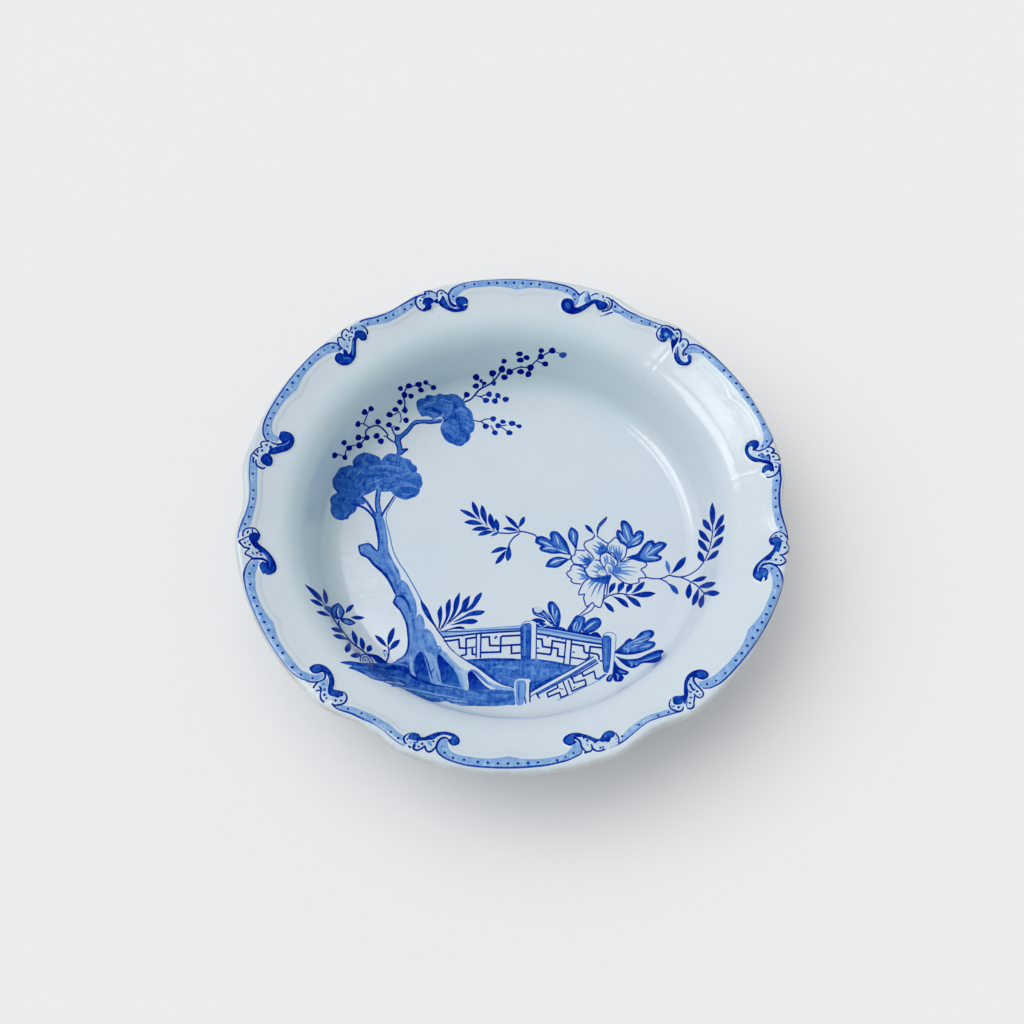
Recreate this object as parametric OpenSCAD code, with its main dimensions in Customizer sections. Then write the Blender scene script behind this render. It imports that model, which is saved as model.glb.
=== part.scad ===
// Deep serving dish of glazed earthenware with a lobed, moulded rim, on a foot ring.
// Millimetres. The origin is the centre of the standing plane, +Z is up, and the
// middle of one broad lobe lies on +Y. The dish is pressed over a mould as one
// sheet of clay; the foot ring is a second piece of clay, luted to its underside.

/* [Rim] */
// Diameter across two opposite lobes
rim_d = 299; // [292:1:315]
// Number of broad lobes round the rim
lobes = 6; // [5:1:8]
// Half of the angle that one broad lobe takes up, in degrees
lobe_half = 20; // [12:0.5:20]
// How far the rim draws in half way between two lobes
lobe_dip = 4.1; // [0:0.1:6]
// Slope of the flange under the rim, in degrees above level
flange_a = 17; // [15:0.5:20]
// Width of the raised moulded border along the lip
border_w = 7; // [4:0.5:10]
// Height of the raised border above the flange
border_h = 0.6; // [0.2:0.1:1]

/* [Bowl] */
// Height from the standing plane to the top of the lip
height = 58; // [56:0.5:62]
// Diameter of the flat floor of the well
well_d = 193; // [186:1:198]
// Radius of the hollow between the floor and the wall
fillet_r = 12; // [8:0.5:16]
// Slope of the wall, in degrees above level
wall_a = 73; // [66:0.5:76]
// Radius of the bend between the wall and the flange
bend_r = 20; // [12:1:24]
// Thickness of the floor
floor_t = 6; // [4.5:0.5:7]
// Thickness of the wall and flange
wall_t = 4.6; // [3.5:0.1:6]

/* [Foot ring] */
// Outer diameter of the foot ring where it is luted to the dish
foot_d = 180; // [150:1:184]
// Width of the foot ring where it is luted to the dish
foot_w = 9; // [6:0.5:14]
// Width of the edge that the dish stands on
stand_w = 3.6; // [2:0.2:5]
// Height of the foot ring
foot_h = 5.5; // [4:0.5:7]

/* [Hidden] */

// Directions round the dish for each lobe: every lobe and every dip gets a corner
steps_per_lobe = 20;
turns = lobes * steps_per_lobe;
sector = 180 / lobes;

well_r = well_d / 2;
floor_z = foot_h + floor_t;
lip_t = wall_t + border_h;
lip_r = rim_d / 2 - lip_t / 2 * (1 + sin(flange_a));
lip_z = height - lip_t / 2 * (1 - cos(flange_a));

// Straight lengths of wall and flange that carry the edge of the well out to the lip
end_r = lip_r + border_h * sin(flange_a);
end_z = lip_z - border_h * cos(flange_a);
run_r = end_r - well_r - fillet_r * sin(wall_a) - bend_r * (sin(wall_a) - sin(flange_a));
run_z = end_z - floor_z - fillet_r * (1 - cos(wall_a)) - bend_r * (cos(flange_a) - cos(wall_a));
cross = cos(wall_a) * sin(flange_a) - cos(flange_a) * sin(wall_a);
wall_l = (run_r * sin(flange_a) - run_z * cos(flange_a)) / cross;
flange_l = (run_z * cos(wall_a) - run_r * sin(wall_a)) / cross;
assert(wall_l > 2 && flange_l > border_w + 2, "the well, wall, flange and lip must meet");

fillet_end = [well_r + fillet_r * sin(wall_a), floor_z + fillet_r * (1 - cos(wall_a))];
wall_end = fillet_end + wall_l * [cos(wall_a), sin(wall_a)];
bend_end = wall_end + bend_r * [sin(wall_a) - sin(flange_a), cos(flange_a) - cos(wall_a)];

// The inner surface from the well to the lip: [r, z, slope, thickness under it, lift]
function on_fillet(a) = [well_r + fillet_r * sin(a), floor_z + fillet_r * (1 - cos(a)), a,
                         floor_t + (wall_t - floor_t) * a / wall_a, 0];
function on_wall(t) = let (p = fillet_end + t * (wall_end - fillet_end)) [p.x, p.y, wall_a, wall_t, 0];
function on_bend(a) = [wall_end.x + bend_r * (sin(wall_a) - sin(a)),
                       wall_end.y + bend_r * (cos(a) - cos(wall_a)), a, wall_t, 0];
function on_flange(s, lift) = let (p = bend_end + s * [cos(flange_a), sin(flange_a)])
    [p.x, p.y, flange_a, wall_t, lift];

inside = concat(
    [for (k = [0:4]) on_fillet(wall_a * k / 4)],
    [on_wall(0.5), on_wall(1)],
    [for (k = [1:5]) on_bend(wall_a + (flange_a - wall_a) * k / 5)],
    [on_flange(flange_l - border_w, 0), on_flange(flange_l - border_w + 1.2, border_h),
     on_flange(flange_l, border_h)]);

// A point of the inner surface, lifted along its normal, and the point under it
function upper(p) = [p[0] - p[4] * sin(p[2]), p[1] + p[4] * cos(p[2])];
function under(p) = [p[0] + p[3] * sin(p[2]), p[1] - p[3] * cos(p[2])];

// How strongly the lobes shape the bowl at a radius: none on the floor, all at the lip
function lobing(r) = pow(max(0, min(1, (r - fillet_end.x) / (lip_r - fillet_end.x))), 1.5);

// Half-round lip from the end of the border over to the underside
lip_in = upper(inside[len(inside) - 1]);
lip_out = under(inside[len(inside) - 1]);
lip_mid = (lip_in + lip_out) / 2;
lip = [for (k = [1:4]) let (a = 90 + flange_a - 180 * k / 5)
    [lip_mid.x + lip_t / 2 * cos(a), lip_mid.y + lip_t / 2 * sin(a), 1]];

// Rings of the closed skin: [r, z, lobing], up the inside, over the lip, down the outside
rings = concat(
    [for (p = inside) concat(upper(p), [lobing(p[0])])],
    lip,
    [for (k = [len(inside) - 1:-1:0]) concat(under(inside[k]), [lobing(inside[k][0])])]);

// Angle from the middle of the nearest lobe, and how far the rim draws in there
function from_lobe(a) = let (m = ((a - 90) % (2 * sector) + 2 * sector) % (2 * sector)) min(m, 2 * sector - m);
function draw_in(a) = let (t = max(0, min(1, (from_lobe(a) - lobe_half) / (sector - lobe_half))))
    -lobe_dip * (1 - cos(180 * t)) / 2;

module dish_body() {
    skin = [for (q = rings) for (j = [0:turns - 1])
        let (a = 90 + 360 * j / turns, r = q[0] + q[2] * draw_in(a)) [r * cos(a), r * sin(a), q[1]]];
    last = (len(rings) - 1) * turns;
    sides = [for (i = [0:len(rings) - 2]) for (j = [0:turns - 1])
        let (k = (j + 1) % turns, a = i * turns + j, b = i * turns + k, c = a + turns, d = b + turns)
        each [[a, b, d], [a, d, c]]];
    floor_face = [for (j = [turns - 1:-1:0]) j];
    under_face = [for (j = [0:turns - 1]) last + j];
    color([0.80, 0.86, 0.90]) polyhedron(points = skin, faces = concat([floor_face], sides, [under_face]), convexity = 6);
}

module foot_ring() {
    outer = foot_d / 2;
    inner = outer - foot_w;
    mid = outer - foot_w / 2;
    bevel = 0.7;
    color([0.83, 0.80, 0.74]) rotate_extrude($fn = 180) polygon([
        [inner, foot_h], [outer, foot_h],
        [mid + stand_w / 2 + bevel, bevel], [mid + stand_w / 2, 0],
        [mid - stand_w / 2, 0], [mid - stand_w / 2 - bevel, bevel]]);
}

dish_body();
foot_ring();
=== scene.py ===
"""Deep serving dish: looks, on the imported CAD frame. Metres; +Z up, the top of the painted picture towards +Y."""

import math

import bpy
import numpy as np
from mathutils import Matrix, Vector
from mathutils.geometry import delaunay_2d_cdt


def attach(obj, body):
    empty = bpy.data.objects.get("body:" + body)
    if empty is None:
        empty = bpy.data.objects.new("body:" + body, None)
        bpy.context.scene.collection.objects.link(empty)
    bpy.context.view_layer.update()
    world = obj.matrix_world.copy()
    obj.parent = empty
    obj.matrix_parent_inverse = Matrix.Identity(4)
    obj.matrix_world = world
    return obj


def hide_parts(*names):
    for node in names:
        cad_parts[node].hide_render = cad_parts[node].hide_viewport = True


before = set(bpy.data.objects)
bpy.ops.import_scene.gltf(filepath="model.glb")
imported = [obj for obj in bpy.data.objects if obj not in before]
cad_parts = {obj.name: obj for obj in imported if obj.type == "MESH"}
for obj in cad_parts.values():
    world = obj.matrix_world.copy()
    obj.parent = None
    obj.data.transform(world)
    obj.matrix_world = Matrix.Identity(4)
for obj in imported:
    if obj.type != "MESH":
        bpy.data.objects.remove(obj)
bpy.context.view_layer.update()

MM = 0.001
rng = np.random.default_rng(11)

# ---------------------------------------------------------------- form, in millimetres
LOBES, LOBE_HALF, LOBE_DIP = 6, 20.0, 4.1
SECTOR = 180.0 / LOBES
WELL_R, FLOOR_Z, UNDER_Z = 96.5, 11.5, 5.5
FILLET_R, WALL_A, BEND_R, FLANGE_A = 12.0, math.radians(73), 20.0, math.radians(17)
FLOOR_T, WALL_T, LIP_T = 6.0, 4.6, 5.2
# where the flange ends under the lip, and the straight lengths of wall and flange that lead there
OUTER_R = 149.5 - LIP_T / 2 * (1 + math.sin(FLANGE_A))
END = (OUTER_R + (LIP_T - WALL_T) * math.sin(FLANGE_A), 58.0 - LIP_T / 2 * (1 - math.cos(FLANGE_A)) - (LIP_T - WALL_T) * math.cos(FLANGE_A))
RUN_R = END[0] - WELL_R - FILLET_R * math.sin(WALL_A) - BEND_R * (math.sin(WALL_A) - math.sin(FLANGE_A))
RUN_Z = END[1] - FLOOR_Z - FILLET_R * (1 - math.cos(WALL_A)) - BEND_R * (math.cos(FLANGE_A) - math.cos(WALL_A))
WALL_L = (RUN_Z * math.cos(FLANGE_A) - RUN_R * math.sin(FLANGE_A)) / math.sin(WALL_A - FLANGE_A)
FLANGE_L = (RUN_R * math.sin(WALL_A) - RUN_Z * math.cos(WALL_A)) / math.sin(WALL_A - FLANGE_A)
FILLET_END = np.array([WELL_R + FILLET_R * math.sin(WALL_A), FLOOR_Z + FILLET_R * (1 - math.cos(WALL_A))])
WALL_END = FILLET_END + WALL_L * np.array([math.cos(WALL_A), math.sin(WALL_A)])
BEND_END = WALL_END + BEND_R * np.array([math.sin(WALL_A) - math.sin(FLANGE_A), math.cos(FLANGE_A) - math.cos(WALL_A)])
FLANGE_END = BEND_END + FLANGE_L * np.array([math.cos(FLANGE_A), math.sin(FLANGE_A)])
LIP_LIFT = 0.25


def profile():
    """Inner profile from the middle of the well over the lip, as arc length s with r, z, slope and thickness."""
    pts = []
    for r in np.linspace(0, WELL_R, 40):
        pts.append((r, FLOOR_Z, 0.0, FLOOR_T))
    for a in np.linspace(0, WALL_A, 41)[1:]:
        pts.append((WELL_R + FILLET_R * math.sin(a), FLOOR_Z + FILLET_R * (1 - math.cos(a)), a,
                    FLOOR_T + (WALL_T - FLOOR_T) * a / WALL_A))
    for t in np.linspace(0, 1, 21)[1:]:
        p = FILLET_END + t * (WALL_END - FILLET_END)
        pts.append((p[0], p[1], WALL_A, WALL_T))
    for a in np.linspace(WALL_A, FLANGE_A, 21)[1:]:
        pts.append((WALL_END[0] + BEND_R * (math.sin(WALL_A) - math.sin(a)),
                    WALL_END[1] + BEND_R * (math.cos(a) - math.cos(WALL_A)), a, WALL_T))
    up = np.array([-math.sin(FLANGE_A), math.cos(FLANGE_A)])
    for t in np.linspace(0, 1, 41)[1:]:
        k = min(1.0, max(0.0, (t * FLANGE_L - 7.0) / 9.0))
        p = BEND_END + t * (FLANGE_END - BEND_END) + up * LIP_LIFT * k * k * (3 - 2 * k)
        pts.append((p[0], p[1], FLANGE_A, WALL_T))
    last = np.array(pts[-1][:2])
    under = FLANGE_END + WALL_T * np.array([math.sin(FLANGE_A), -math.cos(FLANGE_A)])
    mid, rad = (last + under) / 2, np.hypot(*(last - under)) / 2
    for b in np.linspace(0, math.pi, 41)[1:]:
        c = math.pi / 2 + FLANGE_A - b
        pts.append((mid[0] + rad * math.cos(c), mid[1] + rad * math.sin(c), FLANGE_A - b, WALL_T))
    p = np.array(pts)
    s = np.concatenate([[0], np.cumsum(np.hypot(np.diff(p[:, 0]), np.diff(p[:, 1])))])
    return s, p[:, 0], p[:, 1], p[:, 2], p[:, 3]


S_TAB, R_TAB, Z_TAB, A_TAB, T_TAB = profile()
S_MAX = S_TAB[-1]
S_LIP = S_TAB[-41]
LIP_R = R_TAB[-41]


def lobing(r):
    return np.clip((r - FILLET_END[0]) / (OUTER_R - FILLET_END[0]), 0, 1) ** 1.5


def from_lobe(theta):
    """Angle in degrees from the middle of the nearest broad lobe, with its sign."""
    d = np.degrees(theta) - 90.0
    return (d + SECTOR) % (2 * SECTOR) - SECTOR


def draw_in(theta):
    t = np.clip((np.abs(from_lobe(theta)) - LOBE_HALF) / (SECTOR - LOBE_HALF), 0, 1)
    return -LOBE_DIP * (1 - np.cos(np.pi * t)) / 2


def surface(s, theta, lift=0.0):
    """Points of the upper surface, in millimetres."""
    r, z, a = np.interp(s, S_TAB, R_TAB), np.interp(s, S_TAB, Z_TAB), np.interp(s, S_TAB, A_TAB)
    r = r + np.where(s > S_LIP, 1.0, lobing(r)) * draw_in(theta)
    r = r - lift * np.sin(a)
    z = z + lift * np.cos(a)
    return np.stack([r * np.cos(theta), r * np.sin(theta), z], -1)


# ---------------------------------------------------------------- camera, at the photograph's angle
FOCAL = 1474.0
ELEV, AZIM = math.radians(62.75), math.radians(0.84)
ca, sa = math.cos(AZIM), math.sin(AZIM)
TURN = np.array([[ca, -sa, 0], [sa, ca, 0], [0, 0, 1]])
BACK = TURN @ np.array([0, -math.cos(ELEV), math.sin(ELEV)])
RIGHT = TURN @ np.array([1.0, 0, 0])
UP = TURN @ np.array([0, math.sin(ELEV), math.cos(ELEV)])
EYE = TURN @ np.array([-0.38, -4.7, 0]) + BACK * 790.0 + np.array([0, 0, 57.0])


def on_dish(px, lift=0.0):
    """Where the dish, or relief that stands lift above it, carries a point of the picture: arc length s and angle."""
    px = np.asarray(px, float)
    ray = (px[:, :1] - 512) / FOCAL * RIGHT - (px[:, 1:2] - 512) / FOCAL * UP - BACK
    z = np.full(len(px), FLOOR_Z)
    for _ in range(80):
        t = (z - EYE[2]) / ray[:, 2]
        x, y = EYE[0] + t * ray[:, 0], EYE[1] + t * ray[:, 1]
        r, th = np.hypot(x, y), np.arctan2(y, x)
        r0 = r.copy()
        for _ in range(4):
            r0 = r - lobing(r0) * draw_in(th)
        z = 0.5 * z + 0.5 * (np.interp(np.minimum(r0, LIP_R), R_TAB[:-40], Z_TAB[:-40]) + lift)
    return np.interp(np.minimum(r0, LIP_R), R_TAB[:-40], S_TAB[:-40]) + np.maximum(r0 - LIP_R, 0), th


# ---------------------------------------------------------------- painting
# The painted garden, stroke by stroke, in the 1024 x 1024 picture frame.
# Each stroke is [outline, tone, wash]: tone 0 is bare glaze and 1 the darkest
# cobalt, wash says how much brush grain shows in it. Later strokes cover earlier ones.
STROKES = []


def curve(points, closed=False, n=5):
    p = np.asarray(points, float)
    m = len(p)
    if m < 3:
        return p
    out = []
    for i in range(m if closed else m - 1):
        if closed:
            a, b, c, d = p[(i - 1) % m], p[i], p[(i + 1) % m], p[(i + 2) % m]
        else:
            b, c = p[i], p[i + 1]
            a = p[i - 1] if i else 2 * b - c
            d = p[i + 2] if i + 2 < m else 2 * c - b
        for k in range(n):
            t = k / n
            out.append(0.5 * (2 * b + (c - a) * t + (2 * a - 5 * b + 4 * c - d) * t * t
                              + (3 * b - a - 3 * c + d) * t ** 3))
    if not closed:
        out.append(p[-1])
    return np.array(out)


def put(outline, tone, wash=0.0, fade=None):
    STROKES.append((np.asarray(outline, float), tone, wash, fade))


def area(points, tone, wash=0.0, fade=None):
    put(points, tone, wash, fade)


def blob(points, tone, wash=0.0, fade=None, n=4):
    put(curve(points, True, n), tone, wash, fade)


def ribbon(p, w):
    p = np.asarray(p, float)
    w = np.broadcast_to(np.asarray(w, float), (len(p),))
    d = np.gradient(p, axis=0)
    d /= np.maximum(np.hypot(d[:, 0], d[:, 1])[:, None], 1e-9)
    nrm = np.stack([-d[:, 1], d[:, 0]], 1) * w[:, None] / 2
    return np.concatenate([p + nrm, (p - nrm)[::-1]])


def line(points, w, tone=1.0, wash=0.0, ends=(1.0, 1.0), n=4, fade=None):
    p = curve(points, False, n) if len(points) > 2 else np.array(
        [np.asarray(points[0], float) + (np.asarray(points[1], float) - np.asarray(points[0], float)) * t
         for t in np.linspace(0, 1, 5)])
    t = np.linspace(0, 1, len(p))
    if np.ndim(w):
        ww = np.interp(t, np.linspace(0, 1, len(w)), w)
    else:
        ww = w * (ends[0] + (1 - ends[0]) * np.clip(t * 4, 0, 1)) * (ends[1] + (1 - ends[1]) * np.clip((1 - t) * 4, 0, 1))
    put(ribbon(p, ww + (0.22 if tone > 0.6 else 0.0)), tone, wash, fade)


def fret(points, w=2.1, tone=0.92):
    for (x0, y0), (x1, y1) in zip(points[:-1], points[1:]):
        a, b = np.array([x0, y0], float), np.array([x1, y1], float)
        d = (b - a) / max(np.hypot(*(b - a)), 1e-9)
        e = np.array([-d[1], d[0]]) * w / 2
        a, b = a - d * w * 0.42, b + d * w * 0.42
        put([a + e, b + e, b - e, a - e], tone, 0.0)


def dot(x, y, rx, ry=None, tone=0.96, tilt=0.0, n=14):
    ry = ry or rx
    a = np.linspace(0, 2 * np.pi, n, endpoint=False)
    wob = 1 + 0.05 * np.sin(3 * a + x) + 0.04 * np.sin(2 * a + y)
    c, s = math.cos(tilt), math.sin(tilt)
    u, v = rx * wob * np.cos(a), ry * wob * np.sin(a)
    put(np.stack([x + c * u - s * v, y + s * u + c * v], 1), tone, 0.12)


def leaf(x0, y0, x1, y1, w, bend=0.0, fat=0.55, tone=0.90, wash=0.3):
    a, b = np.array([x0, y0], float), np.array([x1, y1], float)
    d = b - a
    e = np.array([-d[1], d[0]]) / max(np.hypot(*d), 1e-9)
    t = np.linspace(0, 1, 13)
    mid = a + d * t[:, None] + e * (bend * 4 * t * (1 - t))[:, None]
    k = math.log(0.5) / math.log(fat)
    half = (0.3 + 1.1 * w) / 2 * np.sin(np.pi * t ** k) ** 0.8
    half[0] = half[-1] = 0.12
    put(np.concatenate([mid + e * half[:, None], (mid - e * half[:, None])[::-1]]), tone, wash)


# -- berry branches behind the tree
STEM = 0.92
for pts in (
    [(335, 455.2), (340, 454.9), (344.9, 457.5)], [(344.9, 457.5), (346, 451), (349.1, 448)],
    [(349.1, 448), (352.5, 445.4), (359.3, 445.4)], [(358.3, 437.5), (366.8, 437.7)],
    [(369.5, 427.4), (363.5, 424), (359, 423.6)], [(363.5, 424), (366, 417.5), (367.6, 413), (371, 408.7)],
    [(367.6, 413), (364.4, 412)], [(387, 437), (383.4, 435.7)],
    [(391.8, 428.2), (388.9, 424.8)], [(391.8, 428.2), (394.6, 425.4)],
    [(389.5, 414.7), (394, 414.6), (398.5, 412)], [(401.6, 419.6), (400.5, 416), (399.6, 412.6), (396, 410)],
    [(401.5, 419), (399.6, 423)], [(425.7, 382.5), (430, 385), (433.4, 387.5)],
    [(413, 386.2), (418.7, 384.5)], [(418.7, 384.5), (420.9, 390)],
    [(463, 401), (464.5, 397.5), (466.7, 394.7)], [(475, 395.4), (480, 396.4), (485, 394.9), (489, 394.3)],
    [(480, 396.4), (484, 399)], [(497.8, 395.4), (500.6, 398.6)], [(494.9, 401), (497.5, 397)],
    [(473.5, 420.2), (480, 421.5), (485, 419.3), (493, 418.6)], [(480, 421.3), (483, 422.8), (485.7, 426.2)],
    [(490.6, 425.4), (492.4, 428), (494.5, 431.5)], [(498.2, 425.7), (502, 427.5), (509.4, 432.8)],
    [(499, 425.8), (507, 425)], [(512, 423.3), (516, 425.2), (519, 426.2)],
    [(536.8, 361), (540, 362.4), (545.2, 364)], [(504.4, 377.3), (509.6, 371.8)], [(530.5, 367.6), (528.4, 374.2)],
    [(541.3, 350.7), (540.8, 356.7)], [(481, 381), (482.6, 384), (482.4, 388)], [(484.4, 383.3), (482.6, 386.5)],
    [(492.6, 373.3), (493.2, 378), (493.4, 383)], [(521, 365.6), (521.6, 368)], [(505.5, 362.5), (503.8, 358.6)],
):
    line(pts, 1.05, STEM, 0.1, (0.9, 0.7))
line([(359.3, 445.4), (364, 439.6), (366.6, 437), (365.3, 432.6), (366.8, 429.6), (369.6, 427.4), (375.5, 425.4),
      (380, 426.7), (384.5, 430.6), (387.6, 434.8), (387.2, 437.2), (391, 440.4), (395, 442.6)], 1.5, STEM, 0.1)
line([(396.5, 437.5), (393.4, 432.4), (391.8, 428)], 1.4, STEM, 0.1)
line([(404.6, 408), (404.8, 402.5), (404, 398), (404.5, 394), (405.2, 390.6), (407.6, 387.2), (413, 386.2)], 1.4, STEM, 0.1)
line([(463, 402.6), (470.8, 399.2), (475, 394.6), (479.6, 389.6), (486, 386), (490.6, 383.6), (495, 379.6), (498.4, 375),
      (501, 370.5)], 1.6, STEM, 0.1)
line([(509.6, 371.8), (514, 369.2), (520, 367.2), (526, 367.4), (530.5, 366.4), (534, 363), (537, 360.2), (541, 357),
      (545.4, 354.2), (549, 352.4), (552.4, 351)], 1.25, STEM, 0.1)
line([(553, 351), (558.4, 353.2), (562.8, 355.2)], 0.8, 0.7, 0.1)
for x, y, rx, ry in (
    (334.7, 455.3, 2.9, 3.2), (344.9, 457.5, 2.6, 2.7), (344, 442.7, 2.8, 2.8), (349.1, 448, 3.0, 3.0),
    (359.3, 445.4, 3.4, 3.3), (358.3, 437.5, 3.2, 3.1), (366.8, 437.7, 3.0, 2.7), (357.8, 424, 2.7, 3.2),
    (364.4, 412, 3.0, 3.1), (371, 408.7, 2.9, 2.8), (377.9, 421.8, 3.0, 2.9), (376.5, 436, 3.2, 3.2),
    (380.8, 441.2, 3.2, 3.2), (389.5, 414.7, 3.4, 2.9), (395.4, 409.5, 3.2, 2.6), (388.9, 424.8, 3.2, 2.7),
    (397, 428.6, 3.0, 2.4), (406, 420.3, 3.0, 2.9), (399.9, 402.1, 2.9, 2.8), (404.4, 395, 3.1, 3.2),
    (410.9, 396, 2.9, 2.6), (400.5, 388.5, 2.8, 2.5), (408.8, 386, 3.2, 2.8), (418.7, 384.5, 3.4, 3.0),
    (420.9, 390, 3.0, 2.6), (425.7, 382.5, 2.6, 2.4), (433.4, 387.5, 3.0, 2.6), (466.7, 394.7, 3.3, 2.9),
    (475.9, 386, 3.3, 2.8), (476.2, 377.3, 3.4, 3.5), (481, 380.9, 1.9, 1.9), (484.4, 383.2, 2.2, 1.9),
    (492.6, 373.3, 3.6, 3.4), (493.6, 383.2, 2.7, 2.6), (504, 361.2, 2.8, 2.5), (502, 369.2, 3.6, 3.5),
    (509.6, 371.8, 3.4, 3.5), (504.4, 377.3, 3.5, 2.9), (519.5, 354, 3.5, 2.6), (520.3, 360.2, 3.6, 2.7),
    (526.6, 357.7, 3.3, 2.6), (520.7, 371.7, 3.6, 2.9), (528.4, 374.2, 3.2, 3.3), (530.5, 367.6, 3.5, 3.4),
    (541.3, 350.7, 3.0, 2.5), (540.8, 356.7, 3.4, 3.0), (545.2, 364, 3.4, 2.7), (552.2, 350.8, 3.6, 3.0),
    (489, 394.3, 3.2, 2.9), (486, 400.3, 3.5, 2.7), (494.9, 401, 3.2, 2.9), (497.8, 395.4, 2.9, 2.6),
    (505.7, 399.3, 3.4, 2.8), (493.2, 418.8, 3.2, 2.7), (485.7, 426.2, 3.4, 2.8), (494.9, 432.7, 3.1, 2.6),
    (498.2, 425.7, 3.2, 2.6), (502.9, 421.7, 2.9, 2.3), (512, 423.3, 3.4, 2.8), (519.1, 426.2, 2.8, 2.1),
    (509.4, 432.8, 3.4, 2.6),
):
    dot(x, y, rx, ry, 1.0 if x < 485 or y < 380 else 0.9)
dot(562.8, 355.2, 4.0, 3.0, 0.78)
blob([(404.5, 405.5), (406.6, 408), (407.8, 410.8), (405.6, 413.6), (403, 412.4), (401.4, 410.6), (403.2, 408.2)], 0.95, 0.1)

# -- upper branch, from the upper pad down to the lower one
blob([(442, 418.6), (436, 420.4), (430, 419.8), (424, 419.6), (418, 419.9), (413.4, 421.2), (410.4, 423.6), (407.4, 427.6),
      (404.4, 431.2), (400.6, 433.8), (397.2, 434.4), (395, 434.2), (394.8, 438), (395, 442), (396.4, 446), (397.2, 450),
      (396, 455), (400.4, 455.4), (402.4, 453), (406, 451.4), (407.8, 449.4), (405, 448.2), (402.4, 449.2), (401.8, 445.4),
      (400.8, 442), (401, 439.4), (404, 436.8), (408, 433.4), (411.6, 429), (414.6, 425.5), (418, 423.9), (424, 423.3),
      (430, 423.9), (436, 423.5), (442, 422)], 0.70, 0.5)
line([(441, 422.3), (430, 423.5), (424, 422.9), (418, 423.5), (414, 425.3), (411.2, 428.8), (407.6, 433.2), (403.4, 436.6),
      (400.6, 439.6), (400.4, 442), (401.4, 446), (402, 449.6)], 1.3, 0.93)
line([(440, 419.4), (430, 420.2), (418, 420.3), (413.6, 421.8), (407.8, 428), (401, 434.2)], 0.9, 0.86)
line([(395.4, 436), (395.2, 442), (397, 447), (397.6, 451.4)], 1.1, 0.9)
line([(402, 450), (405, 449), (407.6, 449.4), (404, 451.8), (400.6, 455)], 1.6, 0.9)

# -- upper pad of foliage
PAD2 = [(418, 411), (416.4, 406), (416.6, 401.4), (420, 398.4), (424.4, 398), (426, 395.4), (430, 394.8), (434, 395.6),
        (437.6, 394.4), (440, 393.2), (443, 394.4), (447, 394.6), (452, 393.8), (457.6, 395), (462, 398.8), (464.6, 402.4),
        (466.2, 406.4), (470, 409.6), (472.6, 414), (473.2, 418.6), (474.8, 424), (474.4, 428.6), (472.6, 432.2),
        (470.6, 433.2), (470.4, 437.4), (468.4, 441), (464.4, 444), (461, 446.3), (457, 446), (452.4, 444), (447.6, 442),
        (443.6, 437.6), (440.8, 431.6), (440.4, 427.4), (442, 423), (443.4, 420.4), (441.8, 417.2), (438, 417.8), (434, 419.2),
        (430, 418.4), (426, 417.6), (422, 416.6), (419.6, 414)]
blob(PAD2, 0.71, 0.9)
blob([(417, 406), (416.8, 401.6), (420, 398.8), (424.4, 398.4), (426.4, 395.8), (430, 395.2), (433, 396.2), (430, 399.4), (425, 402.6),
      (420.4, 405.6)], 0.83, 0.5)
blob([(436, 397), (440, 394), (446, 395), (452, 394.4), (458, 396), (462.4, 399.6), (460, 403), (454, 401), (447, 403), (440, 406),
      (432, 407.6), (425, 406.4), (430, 401)], 0.72, 0.8)
line([(424, 409.5), (430, 408.2), (437, 410.8), (441.6, 414.6), (443.6, 419)], [1, 3.2, 4, 3, 1], 0.84, 0.6)
line([(462, 405), (456.6, 406.6), (454, 410.6), (456, 415.4), (461, 419)], [1, 2.2, 2.6, 2, 0.6], 0.80, 0.6)
line([(444, 421.4), (450, 417.4), (456, 418.6), (459.6, 423), (460.4, 428), (464, 433)], [1.2, 2.4, 2.8, 3, 3, 1], 0.82, 0.6)
line([(446, 432), (450, 437), (456, 440), (462, 440)], [0.8, 2.6, 3.2, 1], 0.79, 0.6)
line([(442.6, 428), (444.6, 435), (449, 440), (455, 443.4), (461, 444.4), (466, 440.6), (468.8, 435.6)], 1.6, 0.8, 0.5)
for p in ([(424, 405.6), (431, 402.8), (438, 402)], [(440, 399.6), (446, 400.4), (451, 402.4)], [(457, 409.4), (463, 410), (468, 414)],
          [(459, 413), (465, 415), (469.4, 420)], [(449, 424.6), (453, 427), (456, 431.4)], [(463, 426), (467, 428.4), (469.6, 431)],
          [(452, 411), (449, 414), (446, 415)], [(443.6, 424.6), (445.6, 422.4), (447.4, 424)], [(447, 404.6), (452, 406), (451, 409)],
          [(464, 421.6), (468, 423), (471.6, 426)], [(428, 412.4), (433, 413.6), (437.4, 416)]):
    line(p, [0.5, 1.6, 0.5], 0.56, 0.8)
area([(422, 416.8), (426.6, 416), (431.6, 417.6), (431, 419), (426, 418.2)], 0.06)
for p in ([(436, 418.8), (440, 416.6), (444, 413.4)], [(434.4, 420.4), (439.4, 418.6), (443.4, 415.6)]):
    line(p, 0.7, 0.24)

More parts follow.
